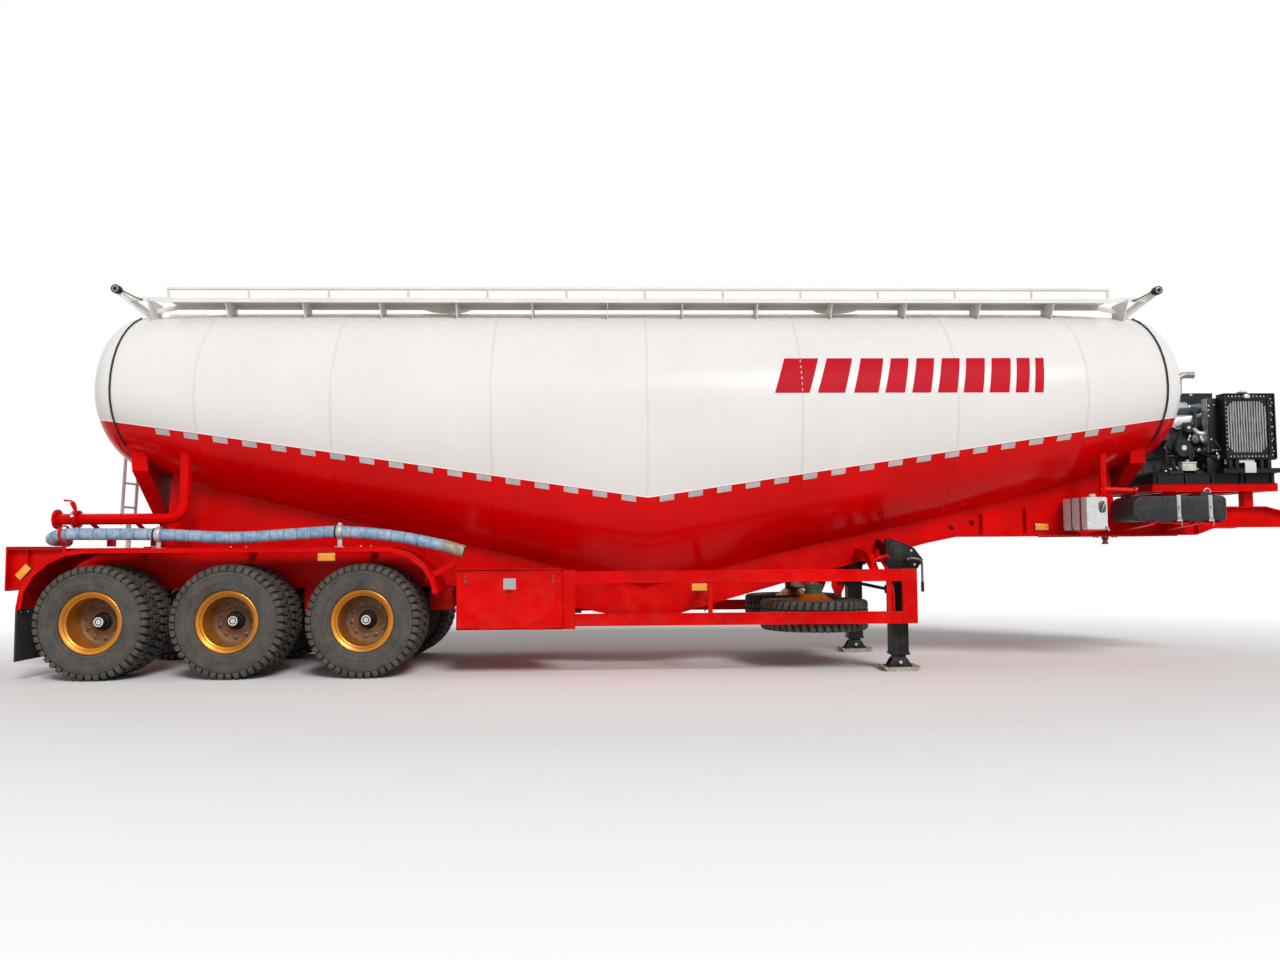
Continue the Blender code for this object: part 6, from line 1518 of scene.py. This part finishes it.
def makeRoof():
    cleat = bmesh.new()
    addBox(cleat, (-0.018, 0.018), (-0.0045, 0.0045), (0.0, 0.0032), 0.0012, 0, 1)
    half = walkwayLook["step"] * (walkwayLook["cleats"] - 1) / 2
    for side, name in sides:
        bm = bmesh.new()
        for row in walkwayLook["rows"]:
            for turn in (-1, 1):
                model = cleat.copy()
                bmesh.ops.transform(model, matrix=Matrix.Rotation(math.radians(45 * turn), 4, "Z"),
                                    verts=model.verts)
                start = Vector((-half + (0.5 if turn > 0 else 0) * walkwayLook["step"],
                                side * (row + 0.018 * turn), walkwayLook["top"] - 0.0004))
                mesh = grow(alongARow, model, walkWhite, {"Count": walkwayLook["cleats"] - 1, "Start": start,
                                                          "Step": Vector((walkwayLook["step"], 0, 0))})
                addMesh(bm, mesh)
                bpy.data.meshes.remove(mesh)
        closePiece(bm, f"walkway_tread_{name}", walkWhite, slot="white_paint")

        bm = bmesh.new()
        for end in (-1, 1):
            tip = Vector((end * 5.48, side * 0.75, 3.965))
            place = axisFrame(tip - Vector((0, side * 0.024, 0)), tip + Vector((0, side, 0)))
            addLathe(bm, [(0, 0.079, 1), (0.030, 0.079, 1), (0.034, 0.076, 0), (0.0445, 0.076, 0),
                          (0.0455, 0.070, 0), (0.0455, 0.004, 0), (0.042, 0, 0), (0, 0, 0)], place, 36)
            addBolt(bm, tip + Vector((0, side * 0.055, 0)), (0, side, 0), 0.012, 0)
            addTube(bm, smoothRoute([tip + Vector(v) for v in ((-end * 0.03, side * -0.010, 0.0),
                                                               (-end * 0.12, side * -0.012, -0.045),
                                     (-end * 0.20, side * -0.03, -0.085),
                                     (-end * 0.29, side * -0.08, -0.10))], 5), 0.006, 0, 10)
        closePiece(bm, f"end_lamps_{name}", [black, clearLens], slot="black_paint")

    for station, name in ((2.2, "front"), (-2.2, "rear")):
        bm = bmesh.new()
        for i in range(6):
            turn = math.radians(60 * i + 30)
            at = Vector((station + 0.246 * math.cos(turn), 0.246 * math.sin(turn), 3.9615))
            addRod(bm, at, at + Vector((0, 0, 0.026)), 0.0075, 1, 16, 0.001)
            addLathe(bm, [(0, 0.018, 1), (0.012, 0.018, 1), (0.014, 0.014, 1), (0.014, 0.002, 1),
                          (0, 0.002, 1)],
                     Matrix.Translation(at), 20)
            out = Vector((-math.sin(turn), math.cos(turn), 0)) * 0.022
            addRod(bm, at + Vector((0, 0, 0.012)) - out, at + Vector((0, 0, 0.012)) + out, 0.0045, 1, 12,
                   0.001)
        for radius in (0.170, 0.120):
            addRing(bm, (station, 0, 3.9775), (0, 0, 1), radius, 0.004, 0, 48, 8)
        grip = [(station - 0.075, 0.0, 3.972), (station - 0.070, 0.0, 3.990), (station - 0.050, 0.0, 4.000),
                (station, 0.0, 4.002), (station + 0.050, 0.0, 4.000), (station + 0.070, 0.0, 3.990),
                (station + 0.075, 0.0, 3.972)]
        addTube(bm, smoothRoute(grip, 5), 0.0065, 0, 14)
        closePiece(bm, f"lid_fittings_{name}", [walkWhite, zinc], body=f"lid_{name}", slot="tank_paint")


# Chassis: stiffeners, bolts and markers, then brakes, braces, lamps, kingpin and pipe ends
def makeChassisFittings():
    for side, name in sides:
        bm = bmesh.new()
        web = side * 0.457
        # columns: station, low, high
        for x, low, high in ((-6.45, 0.895, 1.275), (-6.05, 0.895, 1.275), (-2.35, 0.895, 1.275),
                             (-1.30, 0.835, 1.10), (3.62, 1.385, 1.60), (4.10, 1.385, 1.66),
                             (4.95, 1.385, 1.47), (5.98, 1.385, 1.47)):
            addBox(bm, (x - 0.005, x + 0.005), (web - side * 0.001, web + side * 0.055), (low, high), 0.0015,
                   0)
        for x, z in ((-6.62, 1.20), (-6.62, 1.08), (-6.62, 0.96), (-6.52, 1.20), (-6.52, 0.96), (3.78, 1.46),
                     (4.02, 1.46), (5.32, 1.45), (5.40, 1.45), (6.34, 1.52), (6.34, 1.60), (6.50, 1.52),
                     (6.50, 1.60), (-2.05, 1.18), (-2.05, 1.02), (-2.20, 1.18), (-2.20, 1.02)):
            addBolt(bm, (x, web, z), (0, side, 0), 0.009, 0)
        addMarker(bm, (4.205, 4.352), side * 0.459, (1.418, 1.487), 0.016, 2, 3)
        closePiece(bm, f"chassis_fittings_{name}", [red, zinc, amber, black], slot="red_paint")


# brake chambers between the rails, with their hoses and push rods
def makeBrakes():
    bm = bmesh.new()
    chamber = [(0, 0.0), (0.052, 0.0), (0.070, 0.012), (0.080, 0.040), (0.080, 0.062), (0.091, 0.066),
               (0.091, 0.082), (0.080, 0.086), (0.080, 0.118), (0.066, 0.150), (0.030, 0.160), (0, 0.160)]
    for _, station in axleStations:
        for side in (-1, 1):
            at = Vector((station + 0.56, side * 0.30, 0.800))
            addLathe(bm, chamber, axisFrame(at, at - Vector((1, 0, 0.25))), 32)
            addRod(bm, at - Vector((0.15, 0, 0.036)), at - Vector((0.46, 0, 0.110)), 0.011, 1, 14)
            addBox(bm, (at.x - 0.36, at.x - 0.342), (at.y - 0.06, at.y + 0.06), (0.625, 0.745), 0.003, 0)
            addTube(bm, smoothRoute((at + Vector((-0.02, side * 0.03, 0.05)),
                                     at + Vector((0.06, side * 0.05, 0.12)),
                                     at + Vector((0.10, side * 0.07, 0.20)),
                                     at + Vector((0.10, side * 0.12, 0.30))), 5),
                    0.008, 2, 12)
    closePiece(bm, "brake_chambers", [iron, silver, hoseRubber], slot="cast_iron")


# braces from the legs to the chassis and the shaft that joins the legs
def makeLegBraces():
    bm = bmesh.new()
    addRod(bm, (2.555, -0.846, 1.13), (2.555, 0.846, 1.13), 0.014, 0, 18)
    for side in (-1, 1):
        addRod(bm, (2.475, side * 0.885, 0.815), (2.085, side * 0.475, 0.905), 0.017, 0, 16)
        addBox(bm, (2.445, 2.475), (side * 0.93, side * 0.855), (0.775, 0.860), 0.004, 0)
        addBox(bm, (2.045, 2.120), (side * 0.458, side * 0.500), (0.865, 0.940), 0.004, 0)
        addBolt(bm, (2.083, side * 0.500, 0.902), (0, side, 0), 0.012, 1)
    closePiece(bm, "leg_braces", [black, silver], slot="black_paint")


# lamp clusters on the rear plate: stop, turn and reverse lenses in a black tray
def makeRearLamps():
    bm = bmesh.new()
    for side in (-1, 1):
        addBox(bm, (-6.660, -6.648), (side * 0.255, side * 0.515), (0.905, 1.005), 0.004, 0)
        for share, (y0, y1) in enumerate(((0.263, 0.340), (0.346, 0.424), (0.430, 0.507))):
            addBox(bm, (-6.672, -6.656), (side * y0, side * y1), (0.912, 0.998), 0.005, 1 + share)
    addBox(bm, (-6.655, -6.648), (-0.17, 0.17), (1.100, 1.200), 0.003, 4)
    closePiece(bm, "rear_lamps", [black, lensRed, amber, clearLens, plateGrey], slot="black_paint")


def makeKingpin():
    bm = bmesh.new()
    pin = [(0.0, 0.0868), (0.0358, 0.0868), (0.0362, 0.0852), (0.0362, 0.0700), (0.0260, 0.0690),
           (0.0260, 0.004), (0.0520, 0.0035), (0.0520, -0.002), (0, -0.002)]
    addLathe(bm, [(r, h * 0.968) for r, h in pin], axisFrame((5.20, 0, 1.346), (5.20, 0, 0.5)), 40)
    for a, b in aroundCircle(8, 0.115, 22.5):
        addBolt(bm, (5.20 + a, b, 1.346), (0, 0, -1), 0.012, 0)
    closePiece(bm, "kingpin_steel", [darkSteel], slot="black_paint")


def makeRearPipeFittings():
    bm = bmesh.new()
    y, z = -0.92, 1.58
    for a, b in aroundCircle(8, 0.080, 22.5):
        addBolt(bm, (-5.918, y + a, z + b), (1, 0, 0), 0.008, 0)
    for x in (-5.765, -5.715):
        addRing(bm, (x, y, z), (1, 0, 0), 0.0865, 0.004, 0, 36, 8)
    for x in (-5.30, -4.90):
        addRing(bm, (x, y, z), (1, 0, 0), 0.0555, 0.004, 0, 36, 8)
    addLathe(bm, [(0.0, 0.0125), (0.042, 0.0125), (0.042, 0.013), (0, 0.013)],
             axisFrame((-5.93, y, z), (-7, y, z)), 30)
    addRing(bm, (-4.67, y, 1.80), (0, 0, 1), 0.0555, 0.005, 0, 36, 8)
    addRod(bm, (-5.74, y - 0.075, z + 0.03), (-5.74, y - 0.100, z + 0.03), 0.018, 1, 18, 0.003)
    addTube(bm, smoothRoute(((-5.745, y - 0.005, z + 0.10), (-5.76, y - 0.012, z + 0.16),
                             (-5.80, y - 0.020, z + 0.185), (-5.86, y - 0.022, z + 0.190)), 6), 0.009, 0, 14)
    closePiece(bm, "rear_pipe_fittings", [red, silver], slot="red_paint")


def makeFrontPipeFittings():
    bm = bmesh.new()
    addRing(bm, (4.77, -0.86, 1.88), (0, 0, 1), 0.0405, 0.005, 0, 30, 8)
    addRod(bm, (4.77, -0.86, 1.790), (4.77, -0.86, 1.800), 0.043, 0, 28)
    start, run = Vector((5.089, -0.901, 1.8146)), Vector((0.32, -0.038, -0.019)).normalized()
    place = axisFrame(start, start + run)
    addLathe(bm, [(0, 0.004, 1), (0.024, 0.004, 1), (0.026, 0.010, 0), (0.043, 0.010, 0), (0.043, -0.012, 0),
                  (0.030, -0.014, 0), (0, -0.014, 0)], place, 32)
    for a, b in aroundCircle(4, 0.036, 45):
        addBolt(bm, place @ Vector((a, b, 0.010)), run, 0.005, 2)
    closePiece(bm, "front_pipe_fittings", [red, black, silver], slot="red_paint")


lensRed = paintMaterial("lensRed", (0.42, 0.004, 0.004), 0.8, 0.15, 0.05, 0.6)
clearLens = paintMaterial("clearLens", (0.30, 0.28, 0.27), 0.8, 0.2, 0.0, 0.5)
zinc = metalMaterial("galvanised", (0.50, 0.49, 0.47), 0.5, 0.2, 0.6)
makeRoof()
makeChassisFittings()
makeBrakes()
makeLegBraces()
makeRearLamps()
makeKingpin()
makeRearPipeFittings()
makeFrontPipeFittings()
print("roof and chassis fittings made")


# Hose, held along the right mudguard
hoseLook = {
    "radius": 0.0585,
    "bandPitch": 0.132,
    "route": ((-1.84, -1.13, 1.235), (-2.07, -1.13, 1.300), (-2.55, -1.13, 1.392), (-3.06, -1.13, 1.436),
              (-3.50, -1.13, 1.415), (-4.10, -1.13, 1.385), (-4.83, -1.13, 1.418), (-5.35, -1.13, 1.425),
              (-5.75, -1.12, 1.425), (-5.90, -1.04, 1.395), (-5.98, -0.88, 1.372), (-5.96, -0.66, 1.368)),
    "cuffLength": 0.20,
    "clamps": (-4.83, -3.06),
}


def hoseMaterial():
    material, tree, shader, place = startMaterial("dustyBlueHose", 0.5, 0.15)
    along = addNode(tree, "ShaderNodeSeparateXYZ",
                    {0: addNode(tree, "ShaderNodeTexCoord").outputs["UV"]}).outputs["X"]
    turn = doMath(tree, "FRACT", doMath(tree, "DIVIDE", along, hoseLook["bandPitch"]))
    band = span(tree, doMath(tree, "ABSOLUTE", doMath(tree, "SUBTRACT", turn, 0.5)), 0.0, 0.045, 1.0, 0.0)
    fine = doMath(tree, "SINE", doMath(tree, "MULTIPLY", along, 2 * math.pi / 0.022))
    mottle = span(tree, noise(tree, place, 17.0, 8.0, 0.68), 0.38, 0.68)
    base = mixColor(tree, mottle, (0.13, 0.235, 0.37), (0.34, 0.46, 0.58))
    pale = span(tree, noise(tree, place, 5.0, 6.0, 0.6), 0.50, 0.75, 0.0, 0.8)
    base = mixColor(tree, pale, base, (0.47, 0.53, 0.57))
    # the band in each spiral groove is darkened almost to black: painted shade in the groove
    base = mixColor(tree, doMath(tree, "MULTIPLY", band, 0.92), base, (0.022, 0.035, 0.055))
    cuff = span(tree, along, hoseLook["cuffLength"] - 0.02, hoseLook["cuffLength"] + 0.03, 1.0, 0.0)
    soil = span(tree, noise(tree, place, 30.0, 6.0, 0.7), 0.35, 0.65)
    base = mixColor(tree, cuff, base, mixColor(tree, soil, (0.16, 0.12, 0.075), (0.42, 0.36, 0.27)))
    rough = span(tree, mottle, 0.0, 1.0, 0.62, 0.42)
    height = doMath(tree, "ADD", doMath(tree, "MULTIPLY", fine, 0.25), doMath(tree, "MULTIPLY", band, -1.0))
    return plug(material, shader, base, rough, bump(tree, height, 0.5, 0.002))


def makeHose():
    route = smoothRoute(hoseLook["route"], 14)
    bm = bmesh.new()

    def swell(along):
        share = (along / hoseLook["bandPitch"]) % 1.0
        pinch = 0.0014 * max(0.0, 1 - abs(share - 0.5) / 0.05)
        return hoseLook["radius"] - pinch + (0.0015 if along < hoseLook["cuffLength"] else 0.0)

    length = addTube(bm, route, swell, 0, 32, uv=True, caps=False)
    # open end: a thick lip, and behind it the bore drawn in black plastic as painted shade
    start, after = route[0], route[1]
    lip = axisFrame(start, start * 2 - after)
    r = hoseLook["radius"]
    addLathe(bm, [(r + 0.0015, -0.0005, 0), (r + 0.002, 0.004, 0), (r - 0.003, 0.006, 0),
                  (r - 0.009, 0.005, 1), (r - 0.011, -0.02, 1), (r - 0.012, -0.06, 1), (0.0, -0.06, 1)], lip,
                  32)
    end, before = route[-1], route[-2]
    place = axisFrame(end, end * 2 - before)
    addLathe(bm, [(0.0, 0.006, 2), (0.052, 0.006, 2), (0.062, 0.002, 2), (0.066, -0.010, 2),
                  (0.066, -0.05, 2), (0.062, -0.056, 2), (0.058, -0.058, 2)], place, 32)
    bmesh.ops.recalc_face_normals(bm, faces=bm.faces)
    finishPiece(bm, "hose_skin", [hoseBlue, plastic, silver], slot="hose_blue", replaced=("hose",))
    print(f"hose made, {length:.2f} m")

    clamps = bmesh.new()
    for station in hoseLook["clamps"]:
        index = [point[0] for point in hoseLook["route"]].index(station)
        before, centre, after = [Vector(p) for p in hoseLook["route"][index - 1:index + 2]]
        run = (after - before).normalized()
        place = axisFrame(centre, centre + run)
        addLathe(clamps, [(0.0600, -0.026, 0), (0.0600, 0.026, 0), (0.0715, 0.026, 0), (0.0740, 0.022, 0),
                          (0.0740, -0.022, 0), (0.0715, -0.026, 0)], place, 40, closed=True)
        # rubber strap beside the metal band, and its screw block
        addLathe(clamps, [(0.0600, 0.030, 1), (0.0600, 0.048, 1), (0.0660, 0.048, 1), (0.0660, 0.030, 1)],
                 place, 40, closed=True)
        addBox(clamps, (centre.x - 0.016, centre.x + 0.016), (centre.y - 0.022, centre.y + 0.022),
               (centre.z + 0.070, centre.z + 0.088), 0.004, 2)
        # galvanised foot between the clamp and the mudguard
        addBox(clamps, (centre.x - 0.021, centre.x + 0.021), (centre.y - 0.010, centre.y + 0.010),
               (1.284, centre.z - 0.062), 0.003, 0)
        addBox(clamps, (centre.x - 0.045, centre.x + 0.045), (centre.y - 0.035, centre.y + 0.035),
               (1.283, 1.289), 0.002, 0)
        addRod(clamps, (centre.x, centre.y - 0.030, centre.z + 0.079),
               (centre.x, centre.y + 0.034, centre.z + 0.079), 0.005, 2, 12)
    bmesh.ops.recalc_face_normals(clamps, faces=clamps.faces)
    finishPiece(clamps, "hose_clamps", [zinc, plastic, silver], slot="grey_plastic")


hoseBlue = hoseMaterial()
makeHose()


# Finishes on the CAD nodes that stay
nodeFinish = {
    "axle_front": black, "axle_middle": black, "axle_rear": black,
    "catwalk_left": walkWhite, "catwalk_right": walkWhite, "ladder": walkWhite,
    "manhole_lid_front": walkWhite, "manhole_lid_rear": walkWhite,
    "compressor": iron, "engine": iron, "engine_base": black, "radiator": black,
    "conduit_front": plastic, "conduit_rear": plastic, "fuel_tank": plastic, "water_box": greyPlastic,
    "landing_leg_left": black, "landing_leg_right": black,
    "spare_carrier": gold, "spare_tyre_left": tyreRubber, "spare_tyre_right": tyreRubber,
}


def finishNodes():
    for name, node in cadNodes.items():
        if node.hide_render:
            continue
        paint = nodeFinish.get(name, red)
        if node.material_slots:
            for place in node.material_slots:
                place.material = paint
        else:
            node.data.materials.append(paint)


finishNodes()
print("frame finished")


# Floor, light and camera
stageLook = {
    "skyLight": 0.42,
    "floorHalf": 60,
    "fadeFrom": 4.2,
    "fadeTo": 8.5,
    # columns: name, place, aim, strength, angle in degrees
    "suns": (("keySun", (3.0, -9.0, 8.6), (0, 0, 1.6), 2.25, 20),
             ("lowFill", (-3.0, -9.0, 1.6), (0, 0, 1.6), 0.28, 40)),
    "cameraPlace": (-0.5527, -11.3245, 1.2846),
    "cameraTurns": (0.0317, 0.0639, 0.0064),  # yaw, pitch, roll in radians
    "focalLength": 28.615,
}


def directRay(tree):
    seen = addNode(tree, "ShaderNodeLightPath").outputs
    return doMath(tree, "MAXIMUM", seen["Is Camera Ray"],
                  doMath(tree, "MAXIMUM", seen["Is Glossy Ray"], seen["Is Transmission Ray"]))


def makeFloor():
    material = bpy.data.materials.new("paleFloor")
    material.use_nodes = True
    tree = material.node_tree
    tree.nodes.clear()
    place = addNode(tree, "ShaderNodeTexCoord").outputs["Object"]
    flat = addNode(tree, "ShaderNodeMapping", {"Vector": place, "Scale": (0.62, 1.0, 0.0)}).outputs[0]
    reach = addNode(tree, "ShaderNodeVectorMath", {0: flat}, operation="LENGTH").outputs["Value"]
    fade = span(tree, reach, stageLook["fadeFrom"], stageLook["fadeTo"])
    share = doMath(tree, "MULTIPLY", fade, directRay(tree))
    speck = mixColor(tree, noise(tree, place, 3.0, 5.0), (0.80, 0.80, 0.79), (0.84, 0.84, 0.83))
    matte = addNode(tree, "ShaderNodeBsdfDiffuse", {"Color": speck}).outputs[0]
    glow = addNode(tree, "ShaderNodeEmission", {"Color": (1, 1, 1, 1), "Strength": 1.0}).outputs[0]
    mixed = addNode(tree, "ShaderNodeMixShader", {0: share, 1: matte, 2: glow}).outputs[0]
    addNode(tree, "ShaderNodeOutputMaterial", {"Surface": mixed})
    bm = bmesh.new()
    bmesh.ops.create_grid(bm, x_segments=1, y_segments=1, size=stageLook["floorHalf"])
    mesh = bpy.data.meshes.new("floor")
    bm.to_mesh(mesh)
    bm.free()
    mesh.materials.append(material)
    floor = bpy.data.objects.new("floor", mesh)
    bpy.context.scene.collection.objects.link(floor)


def addSun(name, place, aim, strength, angle):
    lamp = bpy.data.lights.new(name, "SUN")
    lamp.energy = strength
    lamp.angle = math.radians(angle)
    holder = bpy.data.objects.new(name, lamp)
    holder.location = place
    holder.rotation_euler = (Vector(aim) - Vector(place)).to_track_quat("-Z", "Y").to_euler()
    bpy.context.scene.collection.objects.link(holder)


def makeWorld():
    world = bpy.data.worlds.new("paleSky")
    bpy.context.scene.world = world
    world.use_nodes = True
    tree = world.node_tree
    tree.nodes.clear()
    ray = directRay(tree)
    light = addNode(tree, "ShaderNodeBackground", {"Color": (1, 1, 1, 1),
                                                   "Strength": stageLook["skyLight"]}).outputs[0]
    shown = addNode(tree, "ShaderNodeBackground", {"Color": (1, 1, 1, 1), "Strength": 1.0}).outputs[0]
    mixed = addNode(tree, "ShaderNodeMixShader", {0: ray, 1: light, 2: shown}).outputs[0]
    addNode(tree, "ShaderNodeOutputWorld", {"Surface": mixed})


def makeCamera():
    yaw, pitch, roll = stageLook["cameraTurns"]
    right = Vector((math.cos(yaw), -math.sin(yaw), 0))
    ahead = Vector((math.sin(yaw) * math.cos(pitch), math.cos(yaw) * math.cos(pitch), math.sin(pitch)))
    up = Vector((-math.sin(yaw) * math.sin(pitch), -math.cos(yaw) * math.sin(pitch), math.cos(pitch)))
    across = right * math.cos(roll) - up * math.sin(roll)
    upward = right * math.sin(roll) + up * math.cos(roll)
    lens = bpy.data.cameras.new("camera")
    lens.lens = stageLook["focalLength"]
    lens.sensor_width = 36.0
    lens.clip_end = 200.0
    camera = bpy.data.objects.new("camera", lens)
    place = Matrix((across, upward, -ahead)).transposed().to_4x4()
    camera.matrix_world = Matrix.Translation(stageLook["cameraPlace"]) @ place
    bpy.context.scene.collection.objects.link(camera)
    bpy.context.scene.camera = camera


makeFloor()
makeWorld()
for row in stageLook["suns"]:
    addSun(*row)
makeCamera()
bpy.context.scene.view_settings.view_transform = "Standard"
print("stage made")
